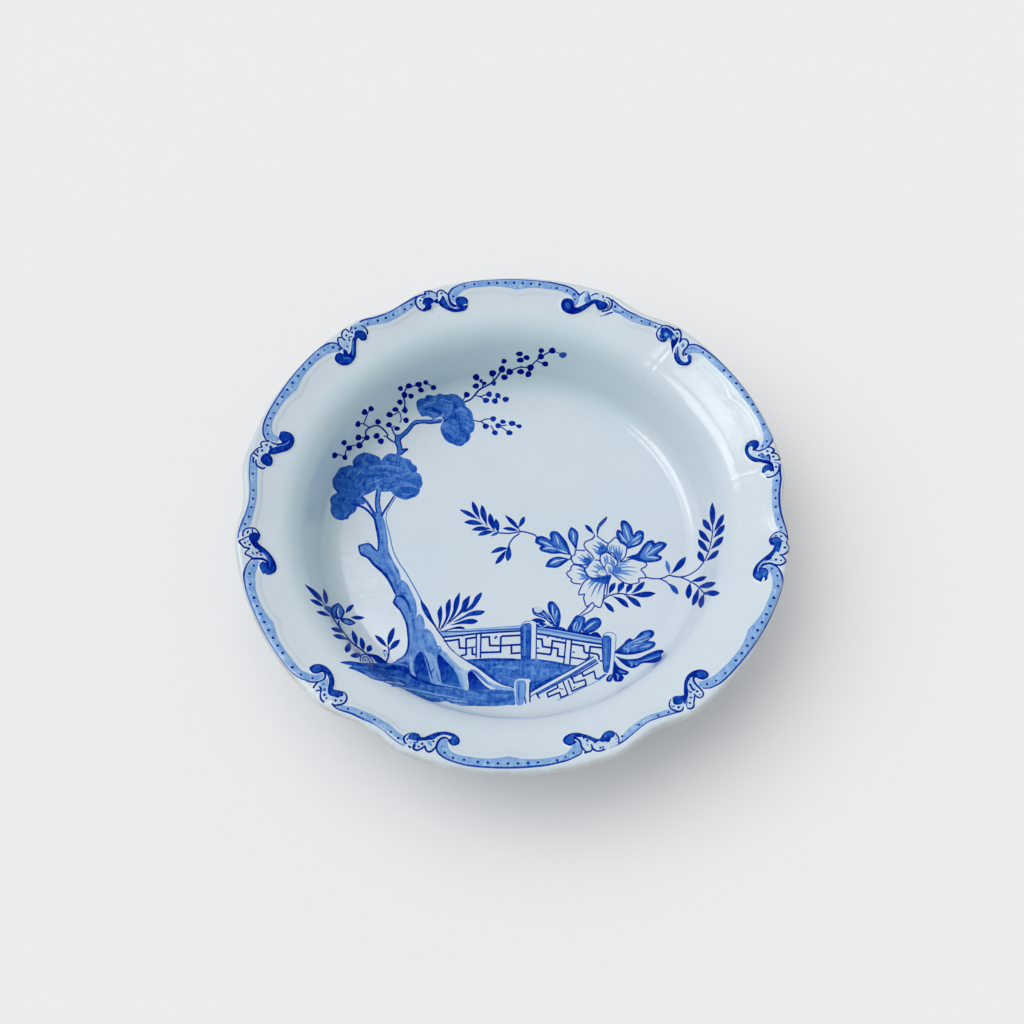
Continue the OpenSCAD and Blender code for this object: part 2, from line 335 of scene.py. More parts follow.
# -- lower pad of foliage
PAD1 = [(353, 465.4), (352.4, 462), (354, 458.4), (357, 455.4), (361, 453.4), (364.6, 452.4), (369, 453), (373.6, 454.6),
        (377.6, 456.2), (380.4, 458.4), (381.6, 460.4), (383, 458), (386, 455.2), (389.6, 453.4), (394, 453.8), (399, 455.4),
        (403, 457.6), (407, 458.6), (410.6, 460.4), (413, 464), (416, 466), (417.3, 469), (416.6, 472), (419.6, 474), (421.6, 477),
        (422, 480.4), (422.8, 483), (422, 486.4), (420.2, 488.6), (419.8, 491.2), (418.4, 494.2), (415.6, 497), (411.6, 498),
        (407, 499.7), (402.6, 499.4), (398.6, 497.8), (395, 496), (392, 493), (390.4, 491.3), (386, 491.8), (381, 491.4),
        (377.6, 489), (374, 491), (370, 493.2), (366, 495), (363.4, 496), (364.2, 499), (365.4, 501.8), (363.8, 504.4),
        (361, 504.6), (357.6, 506), (356.6, 509), (355, 512), (351.2, 514.4), (349.2, 516.4), (348, 519), (344.6, 519.6),
        (342, 520.5), (338, 519.8), (334.4, 518), (331.6, 514.4), (330.3, 509.6), (331, 505), (330, 500.4), (331.4, 496.6),
        (334.4, 494), (337, 492.4), (334.6, 489.6), (333, 486), (332.4, 480.6), (334, 477), (336.6, 473.4), (338.6, 469.6),
        (341, 467.4), (345, 466.4), (349, 465), (351, 465.4)]
blob(PAD1, 0.68, 0.85, ((334, 485, 0.80), (420, 478, 0.64)))
blob([(353.4, 465), (353, 461), (357, 456), (362, 453.8), (366, 453.4), (363, 458), (361, 464), (360.6, 469), (356, 468.4)], 0.81, 0.6)
blob([(334, 487), (333.2, 481), (335, 476.6), (339, 470.4), (344, 467.4), (350, 466), (351, 470), (346, 476), (344, 484), (345, 491),
      (339, 491.6)], 0.77, 0.7)
blob([(331.4, 512), (331, 505), (331.2, 500), (334, 495), (339, 493), (345, 494), (350, 498), (351, 505), (348, 512), (346, 518),
      (340, 519), (335, 517)], 0.755, 0.7)
blob([(399, 488), (405, 486.6), (413, 487.4), (419, 490), (417, 494.6), (412, 497.2), (406, 498.6), (401, 497.4), (397, 494)], 0.78, 0.6)
blob([(408, 480), (414, 479), (421, 479.6), (422, 484), (418, 486), (412, 484.4)], 0.77, 0.5)
blob([(409, 462), (413, 465), (416.6, 468), (415.6, 472), (411, 471.4), (408, 467)], 0.76, 0.5)
for p, w, t in (
    ([(368, 468.6), (374, 466.8), (381, 466), (389, 466.2), (397, 467.6), (403, 470)], [0.6, 1.8, 1.9, 1.8, 1.4, 0.5], 0.46),
    ([(366, 483.4), (372, 482.8), (378, 480.6), (383, 478.6), (390, 479), (396, 480.4)], [0.5, 1.6, 1.3, 1, 0.9, 0.4], 0.47),
    ([(401, 487), (407, 485.6), (413, 486.2), (418.6, 488.6)], [0.5, 1.2, 1.3, 0.5], 0.47),
    ([(402, 476.6), (407, 473.4), (412, 474.2)], [0.4, 2, 0.6], 0.50),
    ([(411, 477.6), (416, 474.6), (420, 477)], [0.4, 2.2, 0.5], 0.50),
    ([(362, 470), (358, 474), (353, 480)], [0.4, 1.4, 0.4], 0.52), ([(366, 490), (362, 494.6), (357, 500)], [0.4, 1.6, 0.4], 0.54),
    ([(356, 488), (360, 484), (364, 478)], [0.4, 1.2, 0.4], 0.55), ([(343.6, 516.4), (346.4, 513.6), (349.4, 512.6)], [0.3, 1.4, 0.3], 0.5),
    ([(393.6, 465), (394.6, 459.6), (396.4, 454.8)], [0.4, 1.1, 0.9], 0.44), ([(396.6, 465.6), (398, 460), (399, 456)], [0.4, 1.1, 0.8], 0.46),
    ([(382.4, 461), (382.8, 466), (382.2, 472)], [0.6, 1.2, 0.4], 0.5), ([(389, 472), (390, 478), (389, 486)], [0.3, 1.1, 0.3], 0.56),
    ([(384, 470), (384.6, 476), (384, 484)], [0.3, 1.0, 0.3], 0.57), ([(378, 484), (377.6, 486), (376, 490)], [0.5, 1.8, 1.6], 0.42),
    ([(372, 474), (371, 479), (372, 486)], [0.3, 1.1, 0.3], 0.57), ([(350, 470), (347, 476), (345, 482)], [0.3, 1.1, 0.3], 0.64),
    ([(349, 497), (344, 503), (342, 511)], [0.3, 1.2, 0.3], 0.66), ([(402, 494), (408, 494.6), (414, 492.6)], [0.3, 1.1, 0.3], 0.60),
    ([(404, 462), (406, 466), (406, 471)], [0.3, 1.0, 0.3], 0.54),
):
    line(p, w, 0.45 * t + 0.34, 0.8)
for p in ([(363, 471), (372, 471.6), (382, 470.4), (392, 471.4), (402, 474)], [(360, 478), (367, 476.4), (376, 475), (386, 475)],
          [(382, 488), (390, 487.6), (398, 485)], [(398, 478), (406, 480.6), (414, 482)], [(352, 492), (357, 489), (362, 487)],
          [(350, 484), (355, 480), (359, 474)], [(365, 461), (372, 461.4), (378, 463)], [(386, 459), (391, 461), (400, 463)]):
    line(p, [0.6, 2.4, 2.6, 0.6], 0.78, 0.6)

# -- trunk: unpainted light side with a thin contour, then the wash and its shadow
line([(396, 497), (392.4, 502.6), (389, 508), (386.6, 513), (386, 519), (387.3, 526), (390.2, 537), (392.2, 547), (395.2, 555.4),
      (399.6, 563.6), (405.6, 572.2), (411.2, 581.6), (417, 592), (421.2, 600.4)], [0.9, 0.9, 0.9, 0.8, 0.8, 0.9, 0.9, 1.0, 1.1, 1.1, 1.1, 1.1, 1.2, 1.2],
     0.62)
blob([(374.6, 519.5), (376.6, 530), (378.2, 540), (377.6, 548), (377.2, 551.6), (374, 548.6), (371, 545.6), (369.6, 543.8),
      (366, 543.4), (362, 545), (358, 545.6), (358.4, 548.6), (360, 551.6), (360.6, 554.4), (364, 556.4), (368, 558.4),
      (370.6, 561.2), (373.6, 564.6), (377, 568.4), (381, 571.2), (384.6, 574.6), (388, 579.2), (391, 585), (393.6, 590.6),
      (395.6, 595), (395, 598.2), (393.2, 602.2), (394.2, 604.6), (397, 607.6), (400, 610.6), (402.2, 614.2), (404.6, 619),
      (406.4, 624.2), (407.4, 629), (408, 634), (408.4, 640), (408, 645.6), (407, 651), (405.4, 654.6), (402.4, 657.6), (398, 660),
      (393, 662.4), (389, 664), (396, 668), (406, 672), (414, 678), (424, 684), (440, 687), (460, 690), (466, 690),
      (463, 680), (459.6, 669), (454.6, 662.6), (450, 657.6), (446, 653.6), (441, 650.6), (438, 646), (436, 641.6), (433.4, 635),
      (430.6, 631), (427, 628.6), (424.8, 629), (425, 625), (424, 620), (422.6, 616.2), (420, 614), (418, 614.6), (416.4, 617.4),
      (417, 612), (416.8, 607), (415.6, 601), (413.6, 596), (411, 591), (408.6, 586), (405.6, 582), (402.6, 580.2), (401, 579.6),
      (400.4, 576), (398.6, 570), (395.6, 565), (393, 560), (389.6, 553), (388.2, 547), (388, 541), (387.2, 535), (386, 526.4),
      (384.4, 520.5), (382.6, 516), (380.8, 511), (379.4, 504), (379.4, 498), (380.4, 492), (381, 488.6), (376.6, 488), (375.4, 494),
      (374.8, 500), (375, 506), (376, 512)], 0.57, 0.9, ((386, 600, 0.61), (424, 606, 0.555)), n=3)
blob([(362.2, 495.6), (366, 499), (370, 504), (373, 508.8), (376.4, 514), (375, 518), (371.6, 512), (368, 506), (364.6, 501.4),
      (361.6, 497.6)], 0.80, 0.5)
blob([(350.6, 503.4), (356, 503.6), (361, 505), (366, 507.6), (370.6, 511.6), (374.6, 516.8), (376.6, 521), (374.6, 521.4),
      (372, 517.2), (368.4, 513), (364.4, 509.6), (360, 507.2), (355.6, 506.2)], 0.86, 0.4)
line([(394.2, 495.8), (391, 501), (387, 507), (383.6, 512.4), (382.2, 517)], [1.3, 1.7, 1.9, 2, 0.8], 0.9, 0.2)
line([(377.4, 489), (376.4, 495), (375.6, 501), (375.8, 507), (376.8, 513)], 1.5, 0.86, 0.4)
line([(380.6, 490), (380, 496), (379.6, 502), (380.6, 509), (382.6, 516)], 0.9, 0.84, 0.3)
line([(374.8, 519), (376.8, 528), (378.4, 537), (378.8, 544), (378, 551)], [2.4, 2.6, 2.4, 2, 1.2], 0.88, 0.5)
line([(377.4, 551.4), (374, 548.6), (369.8, 544.2), (365, 544), (358.8, 546)], [1.2, 2.2, 1.6, 1.2, 1.8], 0.87, 0.4)
line([(358.8, 546), (359.4, 550), (361, 554.2), (364.4, 556), (368.4, 558), (373.8, 564.2), (381.4, 570.8), (385, 574.4),
      (388.4, 579), (391.6, 585), (395.8, 594.6)], [1.6, 1.6, 1.6, 1.8, 2.2, 2.6, 2.8, 3, 3, 2.6, 1.6], 0.89, 0.5)
line([(395.8, 595.4), (395.4, 598.4), (393.8, 602.2), (397.4, 607), (400.6, 610.4), (404.8, 618.6), (407, 625), (408.2, 634),
      (408.8, 642), (407.2, 651), (403, 657), (396, 661)], [1, 1.8, 2.2, 2, 1.8, 1.8, 2, 2.2, 2.2, 1.8, 1.4, 1], 0.88, 0.4)
line([(396, 596.2), (400, 596), (404, 597.8), (407.4, 602.6), (409.6, 608), (410.4, 613)], [1.4, 2.8, 3, 2.6, 1.8, 0.4], 0.86, 0.5)
line([(388, 566), (391.4, 573), (395, 581), (397.6, 588), (398, 594)], [0.6, 2.2, 2.6, 2, 0.6], 0.71, 0.7)
line([(382, 553), (385, 560), (388, 568)], [0.6, 2, 0.4], 0.68, 0.7)
line([(396.4, 584), (399, 581.4), (401, 580.6)], [0.5, 1.8, 1], 0.44, 0.4)
for p, w, t in (
    ([(382.4, 521), (383.6, 530), (385, 540), (385.6, 549)], [0.5, 2.6, 2.8, 0.6], 0.50),
    ([(388, 556), (391, 564), (394.6, 571), (397.4, 577)], [0.5, 2.2, 2.4, 0.5], 0.45),
    ([(403, 583), (406.4, 588), (409.4, 595), (412, 602), (413.6, 609)], [0.6, 2.6, 3, 2.4, 0.6], 0.50),
    ([(398.4, 600.4), (402, 602), (404.6, 607), (406, 613)], [0.5, 2, 2, 0.5], 0.54),
    ([(412, 610), (413, 618), (414, 627), (414, 636)], [0.5, 1.8, 2.2, 0.5], 0.70), ([(418.6, 617), (420.6, 623), (421, 631)], [0.5, 2.6, 0.5], 0.46),
    ([(416, 625), (418, 634), (418, 644), (416.6, 651)], [0.5, 2.0, 2.0, 0.5], 0.56), ([(426.6, 631), (429.6, 638), (432.4, 645)], [0.5, 2.8, 0.6], 0.46),
    ([(422, 634), (425, 642), (427.6, 650)], [0.5, 2, 0.5], 0.66), ([(410.6, 634), (411, 644), (409.6, 653)], [0.5, 1.6, 0.5], 0.56),
    ([(365, 549), (366.4, 547), (369, 549.4)], [0.4, 1.6, 0.4], 0.46), ([(370, 552), (374, 555), (377, 560)], [0.4, 1.8, 0.4], 0.56),
):
    line(p, w, t, 0.5)
line([(366, 541.8), (367.6, 540.8), (368.9, 543.4)], 0.6, 0.42)

# -- ground in front, washed on with a broad brush
blob([(339.6, 662), (344, 661.2), (350, 660.8), (355, 661.4), (361, 662.4), (368, 662.8), (377, 663), (387, 662.8), (396, 664),
      (404, 662), (412, 664), (420, 672), (432, 680), (446, 684), (462, 688), (480, 689.4), (496, 689.4), (506, 689.6), (515.4, 690),
      (515.6, 704), (508, 705), (500, 706), (490, 706.4), (480, 706.3), (470, 706), (460, 706), (450, 705), (440, 703.4), (433, 702),
      (424, 700.6), (418, 700), (413, 698), (408, 695.6), (402, 693.4), (398, 690.6), (394, 689), (389.6, 687.2), (392, 685.6),
      (386, 683), (383, 681.6), (377, 680.4), (371, 678.4), (366, 675.4), (360, 672.4), (354, 669.8), (348, 667.8), (352, 666),
      (345, 664)], 0.74, 0.9, ((400, 668, 0.79), (440, 704, 0.66)), n=3)
line([(341, 662), (350, 662.6), (362, 664.6), (376, 666)], [0.8, 2.6, 2, 0.6], 0.85, 0.6)
line([(378, 666.6), (390, 668.4), (400, 668.6), (408, 672), (415, 677), (425, 681.4), (436, 684.2), (446, 685.4), (458, 687.4), (470, 690)],
     [1, 3.2, 4.4, 4.6, 4.4, 4.2, 3.8, 3.4, 2.6, 0.8], 0.90, 0.6)
line([(392, 689), (402, 692), (412, 696), (424, 699), (440, 702)], [1, 2.2, 2.6, 2.2, 0.6], 0.82, 0.6)
line([(470, 691), (484, 692.6), (498, 692.4), (513, 692)], [0.8, 3, 3.4, 2.4], 0.77, 0.6)
line([(478, 700), (490, 702), (502, 700.4), (514, 698.6)], [0.8, 3, 3.2, 2], 0.74, 0.6)
for p, w, t in (
    ([(350, 666.4), (358, 667), (368, 668.4)], [0.5, 0.9, 0.4], 0.62), ([(386, 664.6), (394, 663.8), (402, 664.6), (409, 667)], [0.4, 1.2, 1.2, 0.4], 0.5),
    ([(360, 669), (368, 672.4), (376, 674.6)], [0.5, 1.8, 0.5], 0.65), ([(364, 673), (374, 677), (384, 679)], [0.6, 2, 0.6], 0.63),
    ([(385.6, 681.6), (392, 682.4), (399, 683.4), (405, 684.8)], [0.7, 1.7, 1.5, 0.5], 0.22),
    ([(391, 685.6), (397, 686.4), (404, 688), (412, 690)], [0.7, 1.9, 1.6, 0.5], 0.30),
    ([(408, 688), (418, 690.6), (428, 692.6), (440, 695), (452, 697), (462, 699)], [0.4, 1.3, 1.7, 1.5, 1.2, 0.4], 0.40),
    ([(418, 693.6), (430, 696.4), (444, 698.6)], [0.4, 1.2, 0.4], 0.48), ([(446, 698.6), (453, 700.4), (461, 701), (468, 702.6)], [0.4, 1.4, 1.2, 0.4], 0.34),
    ([(449, 703.6), (456, 704.6), (464, 705)], [0.5, 1.2, 0.5], 0.30), ([(388, 676), (396, 678), (406, 680.6)], [0.4, 1.8, 0.4], 0.58),
    ([(462, 695), (472, 697), (484, 697.4)], [0.4, 1.8, 0.4], 0.6), ([(426, 703.4), (436, 706), (447, 707.6)], [0.3, 0.8, 0.3], 0.2),
    ([(496, 696.6), (504, 696), (512, 695.4)], [0.4, 1.6, 0.4], 0.62),
):
    line(p, w, t, 0.4)

# -- roots with dark hollows between them
blob([(437, 655.6), (439, 650.6), (442, 650.4), (447, 653.6), (451, 658.4), (455.6, 663), (460, 668.4), (463, 676), (465.4, 684), (467, 690),
      (456, 688), (444, 685.6), (432, 683), (428, 675), (424, 660), (426, 652)], 0.44, 0.8)
blob([(460, 667), (465, 670), (468, 671), (467, 677), (467.4, 684), (468.4, 689.6), (464.6, 689.6), (463, 681), (461, 674)], 0.20, 0.4)
blob([(420, 651.8), (416.6, 655), (414.6, 659), (414, 664), (414.6, 669), (416.4, 674.6), (420, 678), (425, 680.6), (430.4, 682),
      (429, 675), (427.6, 669), (426, 663), (424, 657), (422.4, 653.4)], 0.86, 0.5, ((418, 655, 0.92), (424, 680, 0.78)))
blob([(439, 654.4), (437, 657), (437.4, 663), (439, 669), (440.4, 675), (441.4, 681.6), (444, 684), (452, 686), (461, 687), (460.4, 685),
      (458.6, 679), (456.4, 673.4), (453.4, 668.4), (449, 663.8), (444.6, 659.4), (441.6, 656)], 0.87, 0.5, ((440, 658, 0.93), (452, 684, 0.76)))
blob([(409.4, 655), (412.6, 658), (412.8, 665), (414, 671), (416, 676.4), (411.6, 674), (409.6, 668)], 0.38, 0.6)
line([(421.6, 652), (425.4, 657), (428, 664), (430, 671), (432.4, 679)], [0.8, 1.5, 1.6, 1.5, 0.8], 0.80, 0.5)
line([(424, 650), (428, 656), (431, 664), (433, 672), (436, 682)], [0.8, 2.4, 2.6, 2.6, 1.4], 0.36, 0.5)
line([(430.4, 652), (434, 660), (436, 668), (438, 676), (439.6, 683)], [0.6, 2.2, 2.4, 2.2, 1.4], 0.34, 0.5)
line([(434.6, 668), (432, 671.4), (431.4, 675)], [0.6, 1.6, 0.5], 0.78, 0.4)
line([(436, 670), (437.6, 676), (439.4, 682)], [0.5, 1.4, 0.6], 0.7, 0.4)
line([(436.4, 646.6), (440.4, 646.8), (440.2, 651), (437.6, 655)], [0.6, 1, 1.2, 0.8], 0.74, 0.4)
line([(440, 646), (442, 650.4), (446, 653)], [0.6, 1.4, 0.6], 0.42, 0.4)
line([(447, 655), (452, 660.6), (456.6, 667), (460, 674), (462.6, 682), (464, 689)], [0.6, 2.2, 2.6, 2.6, 2.2, 1], 0.30, 0.5)
blob([(468, 672.6), (471, 671.2), (474.4, 673.4), (478, 677.6), (481.6, 682), (485.6, 686), (490, 689.4), (480, 690.4), (470, 690),
      (468.4, 683), (467.6, 677)], 0.92, 0.5, ((470, 674, 0.96), (482, 688, 0.8)))
line([(468.6, 671.4), (472, 670.4), (476.4, 672.6), (481, 677), (487, 682.4), (494, 687)], [0.8, 2.2, 3, 3, 2.8, 1], 0.62, 0.6)
blob([(487, 681), (493, 683.6), (500, 686), (508, 687.4), (514, 688.4), (515, 690.6), (504, 690), (494, 688.4)], 0.30, 0.6)

# -- ground behind the fence
blob([(465.6, 659.6), (472, 658.4), (480, 658), (490, 658), (500, 657.6), (510, 658), (520, 659), (530, 658.6), (540, 659), (548, 660),
      (556, 661.6), (564, 663.4), (571, 664.8), (578.6, 665.2), (572, 669), (565, 672.6), (558, 676.6), (551, 680.2), (544, 684.2),
      (537, 688.2), (531, 692), (530, 687), (530, 680), (520, 678.6), (515.4, 680), (514, 687.4), (510, 686.4), (503, 684.6),
      (496, 681.2), (491, 677.6), (486, 673.6), (480, 669.2), (474, 665.2), (469, 662)], 0.675, 0.95, ((485, 660, 0.72), (530, 680, 0.67)), n=3)
line([(468, 660.6), (480, 659.4), (496, 659.6), (510, 659.4), (520, 660.4)], [1, 2, 3, 2.4, 1.4], 0.87, 0.6)
line([(474, 664), (482, 668.4), (490, 675), (498, 681)], [1, 3.4, 3.6, 1], 0.83, 0.7)
line([(539, 660.2), (552, 662), (566, 664.8), (576, 666)], [1, 2.2, 2.6, 1], 0.82, 0.6)
line([(532, 690), (540, 685), (550, 679.4), (560, 674)], [1.6, 4, 3, 0.8], 0.86, 0.6)
line([(531.4, 683), (535, 682), (541, 681)], [3, 3, 1], 0.84, 0.6)
for p, w, t in (
    ([(492, 668), (499, 666.6), (506, 667.4)], [0.8, 3.2, 0.8], 0.56), ([(506, 667.4), (514, 668.6), (522, 667)], [0.8, 2.8, 0.8], 0.58),
    ([(530, 664), (533, 669), (533, 674)], [0.6, 2.4, 0.6], 0.54), ([(538, 668), (547, 669.6), (556, 669)], [0.6, 2, 0.6], 0.6),
    ([(520, 662), (521, 668), (521, 675)], [0.5, 1.6, 0.4], 0.62), ([(543, 664), (546, 662.6), (550, 663)], [0.5, 1.6, 0.4], 0.54),
    ([(500, 676), (507, 677.4), (513, 679)], [0.5, 2, 0.5], 0.62), ([(478, 661.4), (488, 663), (498, 663)], [0.4, 1.2, 0.4], 0.66),
    ([(534, 677.4), (542, 677), (550, 674.6)], [0.4, 1.6, 0.4], 0.62),
):
    line(p, w, t, 0.5)

# -- long root's contour, swelling into a leaf beside the trunk
line([(420.8, 600), (424, 605), (428.4, 612.4), (433, 622), (437.6, 630), (443.6, 638), (448, 645.4), (452, 650), (458, 655), (463, 658.5),
      (468, 661.6), (474, 665.1), (480, 669.1), (486, 673.6), (491, 677.6), (496, 681.1), (503, 684.6), (510, 686.4), (514, 688)],
     [1.0, 1.6, 1.6, 1.5, 1.6, 1.4, 1.0, 1.0, 1.1, 1.2, 1.3, 1.3, 1.3, 1.3, 1.2, 1.1, 1.0, 0.9, 0.7], 0.90)
leaf(437, 629.6, 420.6, 600.2, 4.6, -0.6, 0.64)

# -- left flowering spray
for p in ([(330, 612), (332.4, 616.6), (335.6, 621.6), (338.6, 625.6), (341.4, 629.6), (345, 634), (349.6, 640), (354.6, 644.6), (361, 649.2),
           (366.4, 653.8)],
          [(339.2, 620), (338.8, 624), (340.4, 627.6), (344, 632.6)]):
    line(p, 1.5, 0.93)
line([(345, 634.2), (348, 634.4), (351.6, 634.2)], 0.6, 0.45)
for a in ((322.6, 601.6, 304.7, 584.2, 4.4, 0.5, 0.36), (326.6, 604.4, 323.5, 588.5, 4.2, 0.4, 0.42), (324, 606.6, 309.8, 599.3, 3.7, 0.4, 0.5),
          (331, 616.6, 316.3, 611.5, 3.6, 0.5, 0.55), (344.6, 633.4, 331, 628, 3.8, 0.4, 0.6), (349.4, 640.2, 332.8, 635, 3.9, 0.5, 0.6),
          (357, 645.4, 352.2, 630, 4.4, 0.3, 0.5), (363.6, 650, 360.7, 637, 4.6, 0.2, 0.5), (345.6, 613, 354.2, 604.3, 3.9, -0.5, 0.5),
          (350.6, 617.2, 365, 617.7, 3.5, 0.2, 0.5)):
    leaf(*a)
line([(322.4, 601.2), (324.6, 604.4), (327, 607.6)], 1.0, 0.85)
leaf(349.8, 641.6, 346.3, 652.5, 5.6, -0.3, 0.6)
leaf(367.4, 652.2, 370.8, 644.8, 5.2, 0.2, 0.55)
leaf(361.6, 655, 350.2, 655.5, 4.6, 0.1, 0.5)
blob([(323.8, 607.4), (327, 605.7), (331.5, 607.4), (334, 612), (333.4, 616.6), (329.6, 613.6), (326, 610.6)], 0.80, 0.4)
blob([(331, 609), (333, 605.4), (336, 603.7), (338.3, 602.7), (341, 605), (343.6, 608.6), (345, 612), (344, 615.2), (342, 618.4), (338.4, 619.2),
      (335, 618.4), (332, 614.6)], 0.90, 0.3)
blob([(333.2, 609.6), (335, 606.4), (338.4, 604.6), (341, 607.4), (343, 611.4), (342.4, 614.6), (340.4, 616.6), (336, 616.4), (333.4, 613)], 0.66, 0.5)
line([(338.6, 606), (336.6, 610), (336.4, 614), (338, 618)], [0.6, 1.6, 1.8, 1.2], 0.92)
line([(338.6, 607.4), (337.9, 611), (338.6, 614.6), (340, 617.4)], [0.5, 1.7, 1.5, 0.5], 0.1)
blob([(340.2, 618.8), (344, 617.8), (350, 618.8), (353.6, 621), (355.7, 623), (350, 625.4), (344.4, 623.4), (341.6, 621.4)], 0.92, 0.3)
blob([(343.6, 620.2), (348, 620), (353.4, 622.8), (349.6, 623.8), (345.6, 622.6)], 0.60, 0.5)
blob([(366, 653.3), (372, 653.9), (378, 655.3), (383, 658.8), (386.8, 662.6), (381, 663.2), (376.4, 662.4), (373, 658.4), (369.4, 655.8)], 0.94, 0.3)
area([(361, 656), (364, 654.6), (369, 656.4), (374.6, 662.6), (362, 662.4)], 0.03)
line([(360.6, 661.6), (360.4, 657.6), (361.8, 655), (365.4, 654.2), (369.4, 656.4), (372, 660), (373.4, 662.6)], 1.15, 0.86)
line([(363.2, 662), (362.8, 658.8), (364, 657), (366.4, 656.6), (368.4, 658.4), (369.6, 661), (370.4, 663)], 1.0, 0.82)
dot(365, 660, 0.9, 0.8, 0.8)
line([(386.2, 663.6), (387, 660), (388.6, 656), (388.9, 651), (388.4, 646.4)], 1.6, 0.92)
leaf(387.8, 646.6, 394.3, 627.2, 5.0, -0.5, 0.55)
leaf(387.2, 647.4, 374.8, 635, 4.0, 0.4, 0.55)
leaf(389.4, 650.4, 400.1, 639.7, 4.8, -0.5, 0.55)
blob([(382.8, 650.6), (384.6, 649.6), (386.4, 650.6), (385.2, 651.6)], 0.92)
for p in ([(383.4, 651.4), (384.4, 654), (385.4, 656.6)], [(385.8, 650.8), (387, 653.4), (387.6, 656)]):
    line(p, 0.8, 0.7)

# -- spray right of the trunk
for tone, p in (
    (0.90, [(441.2, 605.4), (439.4, 607.9), (437.4, 611.8), (437.7, 616.8), (438.8, 622.2), (438.2, 628.4), (439.3, 629.3), (440.7, 624.5), (442.1, 618.3),
            (442.3, 611.4)]),
    (0.91, [(449.9, 598.8), (448.2, 600.4), (445.8, 604.5), (445.6, 609.8), (445.8, 616.8), (443.8, 622.2), (440.7, 627.7), (439.4, 631), (441.8, 628.9),
            (444.5, 625.2), (447.8, 619.1), (449.9, 613.7), (450.9, 607.5), (450.7, 601.4)]),
    (0.91, [(459.8, 592.6), (457.6, 594.8), (454.5, 599.8), (453.4, 605.2), (453, 610.6), (450.7, 616.2), (448.4, 620.4), (444.9, 625.4), (442.2, 628.1),
            (444.7, 626.4), (451.1, 619.8), (454.5, 615.6), (457.6, 609.1), (459.4, 602.9), (459.8, 597.5)]),
    (0.90, [(470, 595.5), (467.2, 597.2), (463, 601), (461.8, 605.2), (460.6, 609.6), (456.5, 615), (451.1, 620), (446.8, 624.8), (449.8, 623),
            (454.5, 619.1), (459.5, 614.8), (464.9, 610.6), (468, 606), (469.5, 600.6)]),
    (0.87, [(481.9, 592.5), (478.8, 593.7), (475.2, 596.8), (474.1, 598.9), (472.2, 602.9), (468.8, 606.8), (463, 612), (464.9, 612.5), (469.5, 610.6),
            (473.4, 608.3), (478, 602.5), (481.3, 596.8)]),
    (0.86, [(485.1, 611.2), (481.1, 610.3), (475.7, 610.3), (469.5, 612.2), (463.4, 616), (458, 619.1), (453, 622.1), (458.8, 620.8), (465.7, 617.5),
            (471.1, 616), (477.2, 615.6), (481.8, 614.5)]),
    (0.91, [(477.9, 621), (474.9, 619.2), (471.1, 618.7), (464.9, 619.6), (458.8, 621.8), (449.7, 625.2), (456.5, 624.6), (464.2, 623.9), (471.1, 624.2),
            (475.3, 623.2)]),
    (0.94, [(465, 628.2), (461.8, 626.4), (456.5, 626.6), (449.5, 628.7), (443.4, 630.6), (439.5, 632.2), (442.6, 632), (448.8, 630.2), (454.9, 629.1),
            (461.1, 629.2), (464.2, 628.9)]),
):
    blob(p, tone, 0.3, None, 3)

# -- fence, far run on the left: rail, posts and fretwork on bare glaze
area([(444.4, 639), (480, 634), (520.6, 631), (520.6, 658.4), (490, 658), (466, 659.4), (456, 653.4)], 0.02)
area([(440.6, 631.6), (452, 630.6), (470, 629.6), (490, 628.6), (520.4, 626.4), (520.4, 631), (500, 632), (478, 633.4), (465, 635),
      (452, 636.4), (443.4, 637)], 0.38, 0.5)
line([(462, 629.6), (490, 628), (520.4, 625.8)], [0.5, 1.0, 1.1], 0.5)
line([(456, 631), (475, 630.2), (498, 628.6), (520.4, 627.2)], 0.9, 0.16)
line([(440.4, 631.6), (450, 631.6), (470, 631.2), (490, 630), (520.4, 628.6)], [1.4, 1.3, 1.2, 1.2, 1.2], 0.78)
line([(449, 634.4), (462, 633.4), (478, 632)], 0.9, 0.16)
line([(442.6, 637.2), (452, 636.4), (465, 635), (478, 633.5), (500, 632), (520.4, 630.9)], 1.7, 0.93)
fret([(444.6, 641), (451, 640.6), (458.8, 639.4), (459.6, 648), (466, 648.3)])
fret([(462.2, 635.4), (462.5, 636.6)], 1.4)
fret([(475.6, 637.4), (466, 638.8), (466.2, 654.4), (461.6, 655.6)])
fret([(466.4, 648.2), (475.4, 646.9)], 1.5)
fret([(472.2, 648.6), (472.4, 654.2), (476, 654.5)])
fret([(476.4, 634.4), (476.2, 657)], 1.6)
fret([(481, 634), (480.4, 657.4)], 1.8)
fret([(481.6, 637.4), (489.2, 636.8), (489.8, 645.5), (500.5, 645.7), (520.4, 644.6)])
fret([(520.4, 635.3), (502.4, 636.2), (500.8, 637.6), (500.5, 652), (481.4, 652.6)])
fret([(511.4, 646), (511.5, 653.5), (520.4, 652.8)])
line([(494.4, 638.7), (495.8, 637.4), (497.2, 636.2)], [1.2, 2.2, 1.2], 0.94)

